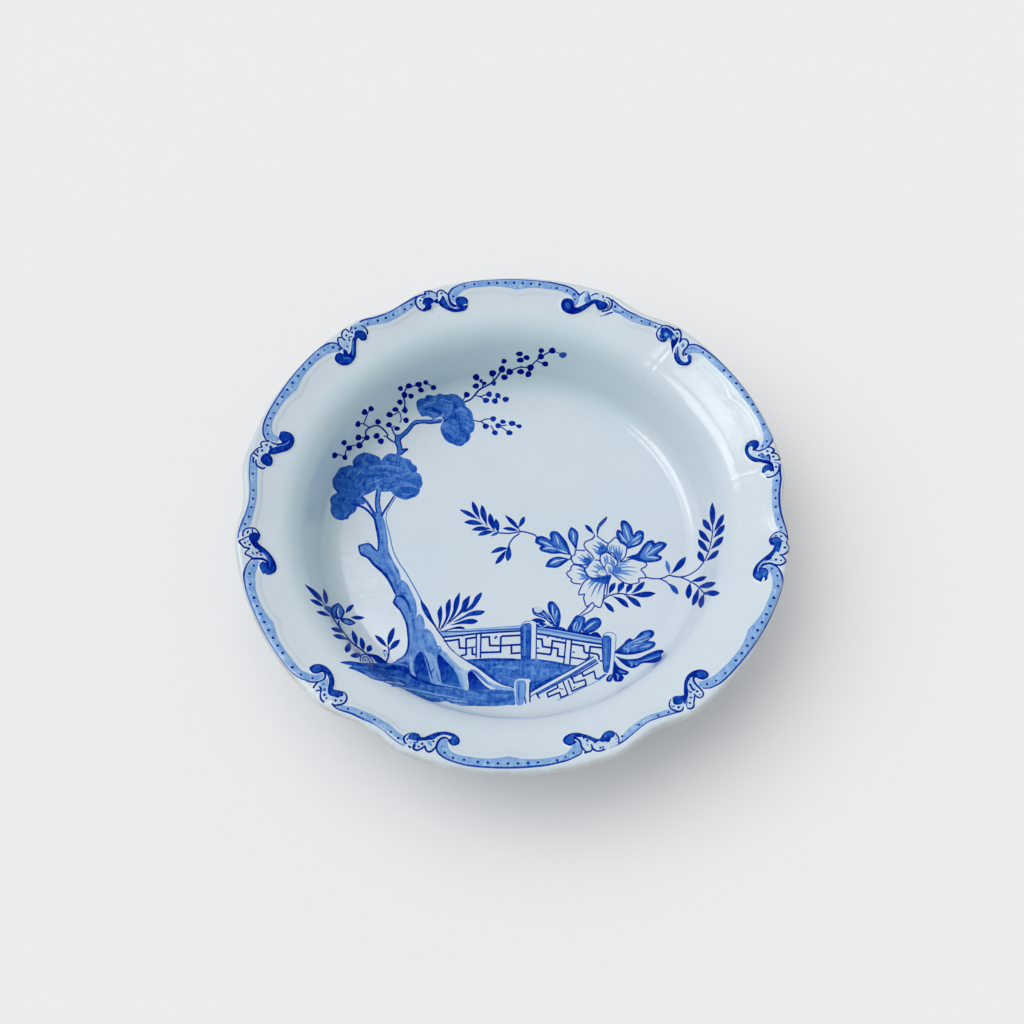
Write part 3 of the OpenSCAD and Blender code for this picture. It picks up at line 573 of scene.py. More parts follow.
# -- bushes behind the far run on the right
blob([(536, 625), (543, 622.6), (550, 626), (557, 626.6), (563, 627.4), (567.4, 631), (567.6, 633.4), (556, 631), (545, 629), (536.4, 628)], 0.90, 0.4)
blob([(532, 608.4), (532.2, 611.6), (534, 614.8), (538, 616.8), (543, 618.4), (548, 621.6), (552, 625.6), (556, 626), (553.6, 621),
      (549.4, 615), (545.4, 611), (541, 609), (537, 609.4), (534.4, 607.6)], 0.86, 0.5)
blob([(534, 608.2), (536.6, 606.6), (540.4, 607), (543, 609), (541.4, 611.6), (538, 612.8), (535, 611.6)], 0.10, 0.2)
for p in ([(541, 611.4), (544.4, 614.6), (547.6, 618.6)], [(545, 611.4), (547.4, 614.4), (549.4, 618)], [(536, 613.6), (540, 615.4), (544, 617)],
          [(551.4, 622), (548, 619.4), (546, 616.6)]):
    line(p, [0.4, 1.2, 0.4], 0.36)
blob([(556, 627), (552, 620), (549, 613), (547.5, 607), (548, 603), (550.6, 601), (554, 602), (557.6, 606), (560, 611), (561, 617),
      (560, 623), (558.6, 628)], 0.86, 0.5)
blob([(554.6, 620), (551.6, 612), (550.6, 605.6), (553, 603.6), (556, 607.4), (558.4, 613), (558, 619), (556.6, 623)], 0.74, 0.6)
line([(552.3, 605.6), (552.6, 611), (553.6, 617)], [0.7, 1.6, 0.5], 0.20)
line([(557.4, 610.2), (556.2, 614.6), (554.8, 619.4)], [0.6, 1.4, 0.5], 0.24)
line([(549.4, 613.4), (552.4, 619), (555.8, 624.6)], [0.5, 1.3, 0.6], 0.22)
leaf(546, 621.6, 529.8, 621.4, 4.4, 0.9, 0.5)
line([(543, 627), (547, 625.2), (553, 624.6)], [0.6, 1.4, 0.5], 0.2)
line([(538, 624.2), (541, 626.4), (543, 628)], [0.6, 1.6, 0.4], 0.4)
blob([(567.4, 631), (569, 626), (572, 621), (574.6, 617), (577, 615), (581, 615.4), (584.8, 617.4), (585.5, 621), (584, 626), (581.6, 631),
      (578, 634)], 0.87, 0.5)
blob([(572, 627), (574.4, 621.6), (578, 617.6), (582.4, 618), (583, 622), (581, 627), (578, 631), (574, 631)], 0.74, 0.6)
line([(576.6, 621.6), (574.6, 625), (573.6, 630.4)], [0.6, 1.5, 0.5], 0.2)
line([(581.6, 621), (580.6, 626), (577.6, 632)], [0.6, 1.3, 0.5], 0.26)
line([(577.4, 622.6), (577, 627), (575.4, 631)], [0.4, 1.1, 0.4], 0.34)
blob([(582, 631), (584.6, 624), (588.4, 619.6), (594, 617.4), (599, 617.9), (601.6, 621.5), (600.6, 626), (597, 629.6), (593, 632), (587, 633.6)],
     0.87, 0.5)
blob([(586.4, 627), (590, 622), (595, 619.8), (599, 621), (598.6, 625), (594, 628.6), (588, 630.6)], 0.74, 0.6)
line([(595.6, 621.6), (590.6, 624.8), (584, 630)], [0.7, 1.6, 0.6], 0.18)
blob([(591, 634), (594, 632), (597.4, 632.2), (600, 634.6), (601.6, 638.4), (594, 637.4)], 0.93, 0.3)
blob([(567, 631), (578, 631.6), (590, 633.6), (601.6, 637.4), (601.4, 639), (585, 636.4), (567, 633)], 0.92, 0.3)

# -- fence, far run on the right
area([(536.4, 634), (567, 639), (602.4, 644.4), (602.8, 662), (594, 656), (578.6, 665.2), (571, 664.8), (556, 661.6), (536.4, 658.6)], 0.02)
area([(536.8, 627.8), (550, 629.4), (567, 632.4), (585, 636), (602, 638.8), (602.2, 644), (585, 641.5), (567, 638.8), (550, 635.6),
      (536.8, 633.6)], 0.36, 0.5)
line([(537, 629), (550, 630.8), (567, 633.8), (585, 637.2), (602, 640)], 1.5, 0.66)
line([(537, 627.8), (552, 629.8), (568, 632.6), (586, 636), (601.6, 638.6)], 0.7, 0.2)
line([(538, 631.4), (556, 634.4), (580, 638.8), (602, 642.2)], [0.8, 0.9, 1.1, 0.9], 0.22)
line([(536.6, 633.6), (550, 635.7), (567, 639), (585, 641.6), (602.2, 644.2)], 1.8, 0.90)
fret([(536.6, 638.7), (541.9, 639.1), (542.7, 646.5), (552, 648), (550.4, 654.6), (536.6, 652.9)])
fret([(565, 642.9), (552.4, 640.8), (551.6, 647.6), (558, 648.6), (557.6, 656), (564.4, 657.1)])
for x, y in ((547.7, 636.8), (557.2, 637.8), (562.2, 638.8), (587.2, 642.4)):
    dot(x, y, 0.9, 1.2, 0.9)
dot(573.6, 652.2, 1.3, 0.9, 0.92)
fret([(536.8, 648.3), (538.8, 648)], 1.3)
fret([(566, 639.6), (563.8, 662.6)], 1.6)
fret([(571.6, 640.4), (569.8, 664)], 1.8)
fret([(572, 643.9), (583.6, 645.8), (584.2, 651.4), (586.4, 653), (589.4, 652.5), (590.2, 646.6), (602.4, 647.8)])
fret([(589.4, 652.7), (597.4, 654.1), (599, 656.2), (598.8, 660.6), (602.6, 661)], 1.9)
fret([(588.6, 653), (589.6, 656.6), (586, 659.6)], 1.9)
fret([(571.4, 657.4), (586, 659.7)], 1.7)

# -- middle post
area([(520.6, 624), (523, 621.6), (527, 620.6), (533, 621), (536.6, 623), (536.4, 658.6), (521, 659.6)], 0.02)
blob([(520.6, 629), (521.4, 625.6), (524, 623.6), (528, 623), (530.8, 624.6), (530.8, 640), (530.2, 658), (529.6, 660.2), (521.8, 660.4), (520.8, 650),
      (520.4, 640)], 0.79, 0.8)
line([(521, 627), (520.9, 640), (521.4, 659.6)], 1.1, 0.88)
line([(520.8, 627), (522.4, 623.4), (526, 621.2), (530.4, 621.4)], 0.9, 0.6)
line([(531, 624.6), (530.9, 640), (530.4, 659)], 0.9, 0.84)
line([(536.6, 623.6), (536.4, 640), (536.1, 658.6)], 1.1, 0.86)
line([(525, 626), (524.6, 640), (525, 656)], [0.4, 2.2, 0.4], 0.55, 0.5)

# -- near run: rail, posts and fretwork
area([(530.4, 692.2), (594, 656.2), (599, 660), (608, 672), (598, 681), (586, 686.6), (570, 695), (558, 700.6), (530.6, 702.6)], 0.02)
area([(534.6, 693.6), (552, 684.2), (574, 671.8), (595.6, 658.8), (597.4, 660.8), (576, 673.6), (556, 685), (537, 695.2)], 0.70, 0.6)
line([(530.6, 692.2), (545, 683.8), (562, 674.4), (579, 665.2), (593.6, 656.6)], 1.3, 0.86)
line([(530.4, 697), (534.6, 694), (552, 684.6), (574, 672.2), (595.4, 659)], 0.8, 0.84)
line([(537.4, 695), (556, 685), (576, 673.6), (597.4, 661)], 0.8, 0.84)
line([(598.4, 662.6), (590, 667.6), (582, 672.2), (574, 676.8)], 1.3, 0.88)
fret([(574, 676.4), (582, 672.4), (583.2, 676.2), (594, 671.2), (595.7, 678.4), (598.4, 679)], 1.8)
line([(598, 679), (602.6, 676.4), (607.8, 672.6)], [1.6, 2.2, 1.2], 0.80)
fret([(572.2, 677.2), (574, 683), (585, 679.6), (586.2, 685), (573, 690.8)], 1.8)
fret([(568.4, 680.6), (572.2, 691.6)], 1.7)
fret([(563.2, 682.2), (567.6, 693.6)], 1.5)
fret([(573.6, 688), (575, 686.8)], 1.2)
fret([(570.4, 676.4), (571.4, 679)], 1.3)
fret([(557, 684.4), (558, 687.5), (547.2, 693), (548.2, 697), (559.5, 692.5), (561, 697.6), (568, 694.6)], 1.8)
fret([(559.8, 688.6), (563, 689.2)], 1.2)
line([(557, 700.4), (570, 694.8), (586, 686.4), (598, 680.8), (606, 675)], 0.8, 0.6)
line([(536.6, 693.4), (538, 696), (539.6, 698.6)], [1.6, 2, 1.2], 0.93)

# -- front post
area([(514, 688), (514.4, 682), (517, 679), (522, 678.3), (530, 679), (530.2, 690), (530.2, 703), (526, 705), (515.6, 705)], 0.02)
blob([(515.6, 684), (516.6, 681), (520, 680.2), (524.6, 680.6), (525.8, 683), (525.2, 692), (524.2, 699), (522.6, 704.4), (517.4, 705.2), (515.8, 700),
      (515.8, 692)], 0.46, 0.8)
line([(524.6, 696), (525.2, 700), (525.9, 703.6)], [1, 1.7, 1.2], 0.74)
line([(519, 682), (518.6, 692), (519.4, 703)], [0.5, 1.5, 0.5], 0.72, 0.5)
line([(514, 688), (514.4, 682.4), (517, 679.3), (522, 678.5), (529.6, 679)], 0.7, 0.5)
line([(530, 682), (529.8, 692), (530, 702.4)], [1.2, 1.6, 1.2], 0.92)
line([(525.6, 683), (525.6, 690), (524.8, 698)], 0.7, 0.7)

# -- right post
area([(602.4, 636), (605, 633), (609, 632), (614, 633.4), (616.2, 636), (615.6, 646), (614.6, 656), (613.4, 666), (612.6, 674), (606, 674), (603.4, 670)], 0.02)
blob([(602.4, 637.6), (604, 635.4), (608, 635.4), (610.8, 637), (611, 642), (610.4, 656), (609.2, 668), (608, 672.8), (605.2, 672.4), (603.4, 669.6),
      (602.4, 655), (601.9, 645)], 0.70, 0.8)
line([(602.4, 638), (602.4, 650), (603.4, 668), (605, 672)], 1.0, 0.88)
line([(610.9, 638), (610.5, 654), (609, 669)], 1.0, 0.86)
line([(602.6, 635.6), (605, 633.2), (609.4, 632.2), (614, 633.6), (616, 636.6), (615.5, 646), (614.5, 656), (613.4, 666), (612.6, 673.4)], 0.9, 0.58)
line([(606, 638), (606, 652), (606, 666)], [0.4, 2.2, 0.4], 0.58, 0.5)

# -- leaves right of the fence
blob([(614.6, 652.4), (618, 648.4), (623, 644), (626, 640.4), (630, 638), (633, 639.4), (637, 636), (641, 632), (647, 630), (652, 630), (654.6, 633),
      (653, 636.6), (648.6, 640.4), (651, 641), (654.4, 641.6), (655.7, 644.4), (653, 648), (646, 651.2), (638, 653.6), (630, 654.8), (622, 654.6)],
     0.86, 0.5)
blob([(622, 649), (627, 643.6), (632, 642), (640, 636.6), (646, 632.6), (651, 633), (648, 637), (641, 641), (647, 643.6), (652, 644), (648, 648),
      (640, 650.6), (632, 651.6), (626, 652)], 0.66, 0.7)
for p in ([(628, 644), (636, 640), (647, 635.6)], [(633, 643.6), (641, 641.6), (650, 637.6)], [(624, 648), (629, 650), (627, 652.6)],
          [(640, 648), (646, 646.4), (652, 644)], [(630, 648.4), (635, 646), (640, 644.8)]):
    line(p, [0.4, 1.2, 0.5], 0.24)
line([(614.4, 653.4), (618, 652.2), (624, 653.4), (632, 654)], [0.6, 1.4, 1.4, 0.4], 0.95)
blob([(616, 656), (625, 658.8), (637, 658.4), (645, 655), (652, 651.8), (658, 649.9), (662.6, 649.8), (663.6, 652), (661, 654.6), (661.6, 658),
      (659, 661), (653, 663), (645, 663), (641, 664), (637, 667), (632, 668.2), (627, 666.6), (622, 663), (618, 659)], 0.90, 0.4)
blob([(628, 661), (638, 660.6), (647, 657.6), (656, 653.4), (660.6, 652.4), (658, 657), (650, 660), (642, 661.4), (636, 664.6), (630, 664.4)], 0.76, 0.5)
line([(641, 661), (649, 659.2), (659.6, 655.6)], [0.5, 1.3, 0.5], 0.42)
line([(630, 661.6), (632, 664.4), (630.6, 666.2)], [0.5, 1.6, 0.5], 0.42)
line([(634.6, 662), (637, 664), (636, 665.6)], [0.4, 1.2, 0.4], 0.46)
line([(614.4, 658.4), (617.6, 662.6), (622, 666.4), (627, 669)], [0.6, 1.6, 1.8, 0.8], 0.05)
blob([(614.4, 660.6), (618, 666), (623, 669), (628, 671), (628.6, 673), (626, 675.2), (622.4, 674.6), (624, 677.4), (621.6, 681.2), (616, 681.7),
      (613.6, 680), (613, 677.4), (611.4, 681.2), (607, 681.6), (606.2, 678.6), (609, 675), (612.6, 673.4), (613.6, 667)], 0.92, 0.4)
line([(616, 673.6), (618, 676), (617.6, 680)], [0.6, 1.8, 0.6], 0.42)
line([(618, 670), (622, 672), (626, 672.6)], [0.4, 1.2, 0.4], 0.5)
line([(611.8, 675), (610.2, 677), (608.4, 679.6)], [0.5, 1.3, 0.5], 0.42)

# -- left spray of the peony
line([(537.4, 537.6), (534, 534.6), (528, 532.8), (523, 531.6), (518, 532), (510, 533.3), (501, 533), (496.6, 532.2)], 1.3, 0.85)
line([(497, 532.4), (492, 530), (485, 524.6), (478, 519), (473, 515.4)], 0.7, 0.5)
line([(519.6, 533.4), (514, 537.4), (510.4, 541.8), (508.9, 546)], 1.3, 0.85)
line([(517.4, 526), (519, 529.6), (521.4, 532)], 1.0, 0.85)
for a in ((477.6, 519, 459.4, 509.5, 3.7, 0.5, 0.52), (480.4, 520, 472.2, 501.2, 4.6, -0.4, 0.6), (487.4, 526, 481.8, 504.8, 5.2, -0.8, 0.6),
          (483.4, 524.6, 463.9, 522.3, 4.5, 1.0, 0.55), (495, 531.8, 489.8, 513.2, 5.2, -0.9, 0.62), (490.8, 529, 471.6, 529.9, 4.1, 0.9, 0.55),
          (498.3, 532.4, 495.8, 518.7, 4.9, -0.3, 0.55), (494, 531.6, 477.8, 535.4, 4.0, 0.9, 0.55), (519, 529.4, 504.9, 515.2, 3.9, 0.4, 0.5),
          (518, 528.2, 524.5, 516.3, 4.2, 0.5, 0.6), (518, 530.6, 502.4, 528.3, 3.2, 0.5, 0.5), (508.8, 543.4, 507.6, 561.5, 5.2, -0.5, 0.62),
          (508, 548.2, 490.8, 553.2, 4.0, 1.2, 0.5), (506, 550, 495.2, 564.2, 4.4, -0.7, 0.55)):
    leaf(*a)
leaf(499.8, 532.2, 490.6, 536.1, 2.4, 0.2, 0.5, 0.75)

# -- leaves round the peony
def lobed(outline, inner, veins):
    blob(outline, 0.87, 0.4)
    blob(inner, 0.68, 0.6)
    for p in veins:
        line(p, [0.6, 1.7, 0.6] if len(p) == 3 else [0.5, 1.5, 1.4, 0.5], 0.16)


lobed([(535, 541), (536, 537.6), (539.4, 536), (543.4, 536.2), (547, 537.8), (550.4, 539.6), (549.4, 535.4), (550.6, 532), (554, 530.9),
       (558, 532), (562, 536), (566, 541), (568.6, 546.4), (570, 551), (570.6, 554.6), (566, 554.6), (560, 553.6), (553, 554), (546, 552.6),
       (541, 551), (539.3, 548.2), (540.8, 546), (538, 544.6), (535.4, 543)],
      [(538, 540), (543, 538.4), (548, 540.6), (553, 542), (552.6, 536), (555.6, 533.6), (559.4, 537), (563, 542), (566, 548), (567.4, 552.6), (560, 551.4),
       (552, 551.6), (544, 549.6), (545, 546), (541, 543)],
      [[(540, 541), (546, 543.2), (552, 546)], [(555.6, 535.6), (557.6, 540), (558.6, 545)], [(543, 549), (549.6, 547.8), (556, 549)],
       [(558, 549.6), (563, 551.4), (567.6, 553.2)]])
line([(545, 540.4), (551, 543.4), (556, 547.4)], [0.4, 1.4, 0.4], 0.84, 0.4)
line([(560, 538.4), (562.6, 543), (564.6, 548.6)], [0.4, 1.4, 0.4], 0.84, 0.4)
lobed([(545.4, 565.6), (548, 561), (552, 558), (558, 556.5), (564, 557.4), (569.2, 559.4), (565, 563), (561, 566), (556, 567.9), (550, 567.6), (546.2, 567)],
      [(549, 564.6), (552.4, 560.6), (558, 558.6), (564.6, 559.4), (560, 563.4), (554, 565.8)],
      [[(550.6, 563.6), (556, 561), (564.6, 559.4)]])
line([(551, 563.2), (554, 562), (557, 560.6)], [0.6, 2.0, 0.6], 0.06)
lobed([(576.2, 549.6), (572, 544), (568.6, 539), (567.9, 533.6), (569.6, 529), (571.5, 527), (575, 529), (578, 532.4), (578.6, 537), (577.6, 543)],
      [(574.6, 545), (571, 539.6), (570, 534), (572, 530), (575.6, 532.4), (576.6, 537), (576, 543)],
      [[(573, 531.6), (573.4, 536.4), (574, 541.6)]])
lobed([(627, 549), (622, 544.2), (618, 539.6), (616, 534.2), (617, 530), (620, 530), (621.6, 531.4), (620.4, 526), (620.6, 522), (623, 520), (627, 521.4),
       (631, 526), (633, 531.4), (633.6, 534.6), (636, 531.6), (640, 530), (643.6, 532), (644.2, 535.4), (643.6, 540), (641, 544), (636, 546.6), (631, 548.2)],
      [(626.6, 546), (621.6, 540.6), (618.6, 535), (619.4, 532.4), (622.6, 535), (623, 528), (623.4, 523.4), (626.6, 524.4), (629.6, 529), (631, 535),
       (634.6, 537), (638, 533), (641.4, 534.4), (641, 539), (637.4, 543.4), (631, 545.6)],
      [[(624.4, 525.6), (627, 533), (629.4, 541)], [(619.6, 533), (623, 538.6), (627, 543)], [(641, 535), (636.6, 538), (632, 541.4)],
       [(640, 540.4), (636.6, 543), (632.6, 545)]])
lobed([(626, 558.4), (632, 556), (637, 553.4), (640, 550), (643, 545.4), (647, 541.4), (651, 540), (653.2, 540.3), (655.4, 543), (659, 541.4), (664, 542),
       (667, 544.5), (664, 549), (660, 552.2), (658, 554.5), (661, 555.8), (662.2, 558.4), (659, 561), (653, 562.2), (648, 562.6), (642, 561.6), (636, 560), (631, 559)],
      [(640, 556), (643, 550.6), (647, 545), (651, 542.6), (653, 546), (659, 543.8), (663.6, 545), (660, 549), (655, 553), (653, 555), (658.6, 558),
       (655, 560), (648, 560.2), (642, 559)],
      [[(651, 545), (648.4, 549), (645, 554)], [(661.4, 546), (654, 549.8), (646, 556)], [(658.6, 558), (653, 557.4), (646, 557)]])
line([(626.4, 558.2), (632, 556.4), (638, 554.6)], [1.2, 2.4, 1.6], 0.88, 0.3)
leaf(594.6, 534.8, 584.8, 524.6, 3.4, 0.2, 0.6)
lobed([(597, 536), (596.5, 530), (598, 525), (602, 520), (607, 516.6), (606.4, 520.2), (603, 524.2), (599.6, 528.4), (598, 534)],
      [(598.2, 528), (600, 524.4), (604.6, 519.6), (602.4, 523.2), (599.6, 526.6)], [])

# -- peony: bare petals with contours, then shading from the heart
area([(594.6, 535), (586, 541.4), (584, 545), (588, 551.4), (575, 550), (571.6, 559), (574, 564), (566.6, 573), (571.6, 580), (575, 583.6), (582, 584),
      (578.6, 594.4), (584, 594.4), (583.6, 598), (586.6, 606.4), (592.6, 602.6), (600, 607.5), (603, 599), (607, 594.6), (612, 577), (624, 582.6),
      (639, 582.4), (646, 577.4), (641, 569.4), (646.6, 563.6), (632, 558.6), (624, 558), (626.6, 547), (620.6, 543), (616, 537.5), (608, 543.6), (597.4, 536)], 0.01)
SHADE = 0.60
for p in ([(596, 541), (600, 544.4), (605.6, 549.4)], [(592.6, 544.8), (598, 547.4), (605, 551)], [(592, 548.2), (597, 551), (602.6, 553.6)],
          [(594.4, 551.4), (597, 553), (601, 554.8)], [(599.4, 541.6), (603, 545), (606.8, 548.6)]):
    line(p, [0.5, 2.4, 3.2], SHADE, 0.6)
blob([(600, 546.6), (604, 546.4), (607, 549.6), (606.4, 552.6), (601.6, 555), (597.6, 553.6), (598, 550)], 0.74, 0.6)
for p in ([(608.6, 544.4), (609.6, 548), (610, 553)], [(611.4, 544), (611.6, 548), (611, 553)]):
    line(p, [0.4, 1.8, 1.4], 0.5, 0.5)
for p in ([(613, 544.4), (614.4, 550), (617, 559)], [(618.8, 545), (619.4, 552), (618.6, 561)], [(615.8, 545.4), (617, 552), (618, 560)],
          [(622.4, 549), (621.4, 554.6), (619.4, 560.6)]):
    line(p, [0.5, 2.2, 3.0], SHADE, 0.6)
for p in ([(580.6, 554.6), (585, 557.6), (591, 561.6)], [(586.4, 553.2), (589, 556.6), (593, 561)], [(579.4, 560.2), (584, 561.4), (590, 563.4)],
          [(577, 556.8), (583, 559.6), (589, 562.8)]):
    line(p, [0.5, 2.2, 3.2], SHADE, 0.6)
blob([(584, 558.4), (588.4, 558), (592.4, 561), (589.4, 564.6), (584.6, 563.8), (582.6, 561)], 0.74, 0.6)
for p in ([(576.6, 569), (581, 569.8), (586, 572)], [(576.6, 573.2), (582, 574.4), (588, 576.6)], [(578, 579), (583, 578.6), (589, 578.2)],
          [(579, 566.6), (583, 567.6), (586, 569.6)], [(580, 576), (584, 576.4), (589, 577.6)]):
    line(p, [0.4, 2.0, 2.8], SHADE, 0.6)
for p in ([(631, 561.4), (624, 562.8), (614.6, 567.4)], [(636.4, 567.4), (626, 567), (614, 569)], [(638, 572.2), (627, 570.8), (614, 570.6)],
          [(634, 576.2), (624, 573.8), (613.4, 572.2)], [(627.4, 580.6), (620.6, 577), (613, 573.4)], [(628, 564.4), (621, 565), (614.4, 568)],
          [(631, 574), (622, 572), (613.8, 571.2)]):
    line(p, [0.4, 1.7, 2.6], 0.52, 0.6)
blob([(613, 566.4), (617, 566.6), (621, 568.6), (620, 572.6), (616, 574), (612.4, 572.4)], 0.66, 0.6)
for p in ([(587.8, 589.4), (592.6, 583.6), (599, 578)], [(590.8, 597.2), (595, 588), (601.6, 578.4)], [(597.4, 595.2), (600, 587.4), (604, 578.4)],
          [(601, 588), (603, 583), (606, 577.6)], [(587.6, 585), (592, 581.2), (597, 578)], [(594, 590), (597, 584.6), (602, 578.4)],
          [(604.6, 591), (605.4, 585), (607.6, 577.6)]):
    line(p, [0.4, 2.0, 3.0], SHADE, 0.6)
blob([(589.4, 578.2), (597, 577.8), (604, 575.6), (611, 574.4), (609.4, 580), (606, 584), (601.4, 583), (597, 582), (592.6, 581.4)], 0.82, 0.5)
for p in ([(610.8, 576), (608.4, 582), (607.4, 588), (606.8, 595)], [(608.4, 577), (606, 583), (604.6, 589), (603.6, 596.4)]):
    line(p, [1.6, 1.8, 1.4, 1.0], 0.86)
# heart of the flower
for p in ([(603.6, 556), (604.8, 559), (605.4, 563)], [(606.4, 554.4), (607.2, 558), (607.6, 562)], [(610.4, 556), (611.4, 560), (612.6, 565)], [(613.4, 559), (614, 563), (614.4, 567)]):
    line(p, [0.5, 2.4, 2.0], SHADE, 0.6)
for p in ([(592.6, 565.6), (597, 567.6), (603, 571)], [(591, 570.6), (596, 571.8), (600, 573)], [(595, 563.4), (599, 566), (604, 569.4)], [(594, 575), (598, 576), (602, 576.4)]):
    line(p, [0.5, 2.0, 2.6], 0.56, 0.6)
blob([(597.4, 571.6), (600.4, 569.2), (604.6, 570), (607, 573), (605.4, 575.8), (600.4, 576), (597.6, 574)], 0.03)
line([(597.4, 571.6), (600.4, 569.3), (604.6, 570), (607, 573), (605.4, 575.8), (600.4, 575.9), (597.6, 574), (597.4, 571.6)], 0.9, 0.7)
line([(600.4, 572), (603, 571.6), (604.4, 573.4)], 0.7, 0.6)
blob([(604.6, 566.6), (606, 563.4), (609, 563), (612, 565.6), (613, 569), (611.4, 573.4), (608.4, 574.6), (606, 571)], 0.06)
line([(607.4, 574), (605, 569), (605.2, 565), (608, 562.8), (611.6, 564.6), (613.2, 569), (611.4, 574)], 1.0, 0.74)
for p in ([(608, 566), (609, 569.4), (609.2, 573.6)], [(610.4, 567), (610.8, 570), (610.4, 573.4)]):
    line(p, [0.5, 1.6, 1.4], 0.6)
EDGE = 0.88
for p in (
    [(594.5, 535), (593, 538.2), (590, 540), (586, 541.5), (584, 545), (585.6, 548.6), (589, 552), (592.6, 556), (594, 559)],
    [(597, 536), (601, 539), (605, 542), (608, 543.6), (607, 547), (607.6, 550), (609.6, 553.4), (612.6, 552.4)],
    [(608, 543.6), (611, 541.4), (613.6, 538.6), (616, 537.5), (619, 540), (620.7, 543), (624, 542.4), (626.6, 545), (626.6, 549.4), (626, 554), (624, 558),
     (620.4, 561.6)],
    [(612.6, 552.4), (615.4, 557), (617.6, 563), (615, 567.4)], [(585.4, 550.6), (580, 550.2), (575.2, 550)],
    [(575.2, 550), (574.8, 554.6), (572, 556.2), (571.4, 559), (573, 562.4), (574.8, 564), (580, 564.6), (587, 565), (589.4, 563.2), (590, 560.6)],
    [(574, 564.2), (571, 567), (570.6, 570), (566.6, 573), (569, 577), (571.6, 579), (571, 581.4), (575, 583.4), (581, 584)],
    [(574, 564.6), (579, 565.6), (583.6, 567), (585, 571), (588, 575.6), (589, 578)],
    [(588.4, 563.6), (588, 566.4), (584.6, 568.2), (585.2, 572), (588, 576), (594, 578.2), (600.6, 577.6)],
    [(595, 560), (599, 560.4), (600.6, 562.4), (600, 558), (602, 553.2), (606, 552), (611, 554.8), (616, 559.4)],
    [(600.6, 562.4), (602.6, 566), (604.4, 568)], [(618, 562.4), (625, 561), (632, 558.8), (638, 560.6), (643, 561.5), (646.6, 563.6), (645.6, 566.6), (641, 569.4), (643.6, 572.6),
     (646, 577.5), (641, 578), (638.6, 579), (639.2, 582.2), (635, 583.6), (630, 584.2), (624, 582.6), (619, 579), (612, 573.6)],
    [(589, 578.4), (584, 582), (580.6, 588), (578.6, 594.5), (581.6, 594.7), (584.6, 594.2), (583.6, 598), (585, 603), (586.6, 606.5), (590, 604.6), (592.6, 602.5),
     (595, 605.6), (600, 607.5), (602, 604), (603, 599.4), (604.6, 596), (607, 594.6)],
):
    line(p, 1.15, EDGE)
fret([(571.6, 558.6), (568.6, 559.4)], 1.4)
line([(568.4, 551), (571, 555), (570.6, 558.6), (573.6, 563.4)], 1.0, 0.88)
line([(594.6, 534.6), (594.2, 537), (591.6, 540)], 1.0, 0.88)
line([(597.2, 534.6), (597.4, 536.6), (601, 539)], 1.0, 0.7)

# -- stem of the peony
area([(589.4, 606.4), (594.4, 606), (590.4, 611.4), (582, 616), (579, 615)], 0.02)
line([(589.4, 605.8), (585, 610.2), (579.6, 614.8)], 1.1, 0.85)
line([(594.6, 605.8), (590.6, 611), (582, 615.6)], 1.1, 0.85)

# -- spray below the peony
line([(602.4, 602), (604, 599), (607.4, 596.6), (611, 595), (618, 593.6), (624, 594), (630, 595.2)], [1.4, 1.4, 1.3, 1.2, 1.2, 1.2, 1.2], 0.9)
for a in ((608.6, 594.6, 615.4, 582.6, 4.7, -0.5, 0.6), (617.6, 593.8, 623.8, 582.2, 5.2, -0.6, 0.62), (625.6, 594, 632.4, 584.2, 4.8, -0.6, 0.62),
          (630.6, 594, 644.8, 581.6, 4.7, 0.8, 0.62), (629, 594.8, 655.8, 593.3, 5.2, 0.6, 0.62), (610.6, 595.6, 628.7, 607.7, 4.7, -1.6, 0.66),
          (624, 595, 641.2, 607.2, 5.0, -0.9, 0.62), (603, 601.4, 614.2, 612.3, 4.4, -0.4, 0.58)):
    leaf(*a)

# -- right sprays
line([(646, 577.4), (653, 578.6), (660, 578.6), (665, 577.2), (669, 575)], 1.2, 0.88)
line([(669, 575.2), (675, 576.6), (681, 577), (688, 575.4), (694, 572), (699, 568), (703.6, 561.6), (708, 553), (711, 543), (712.7, 533), (712.7, 524)],
     [1.3, 1.3, 1.3, 1.2, 1.1, 1.1, 1.1, 1.1, 1.0, 0.9, 0.8], 0.88)
line([(681, 577.4), (686, 579.4), (691, 582), (697, 585.6), (703, 592), (706, 595)], 1.2, 0.88)
line([(660, 579), (666, 581.6), (670, 585.6)], 1.2, 0.85)
for a in ((713, 526.4, 712.5, 502.2, 5.2, 0.0, 0.5), (713.6, 532.6, 724, 514, 4.7, 0.6, 0.62), (712.4, 532, 703, 519, 5.2, -0.6, 0.6),
          (713.4, 538.2, 724.9, 524.7, 5.0, 0.6, 0.6), (711.2, 543.4, 698.8, 529.6, 5.2, -0.8, 0.6), (710.6, 549.4, 723.9, 536.5, 5.2, 0.5, 0.6),
          (709, 552.8, 698.1, 539, 5.2, -0.6, 0.58), (705.6, 561, 719.3, 550.3, 4.7, 0.6, 0.6), (704, 562.6, 698.8, 550.9, 5.4, -0.7, 0.56),
          (670.6, 574.4, 685.9, 556.7, 5.6, 0.7, 0.62), (690.8, 581.4, 706.9, 576.4, 4.1, 0.6, 0.58), (698.4, 587, 715.9, 582.7, 5.2, 0.3, 0.55),
          (703, 592.6, 719.9, 593, 5.2, 0.3, 0.58), (690.4, 582, 688.2, 599, 5.6, 0.4, 0.6), (698.8, 587.4, 692.5, 605.8, 4.9, -0.3, 0.6),
          (704.2, 592.6, 700, 608.2, 5.2, 0.5, 0.62)):
    leaf(*a)
leaf(669.6, 574.4, 666.1, 560.2, 3.6, 0.1, 0.55, 0.66)
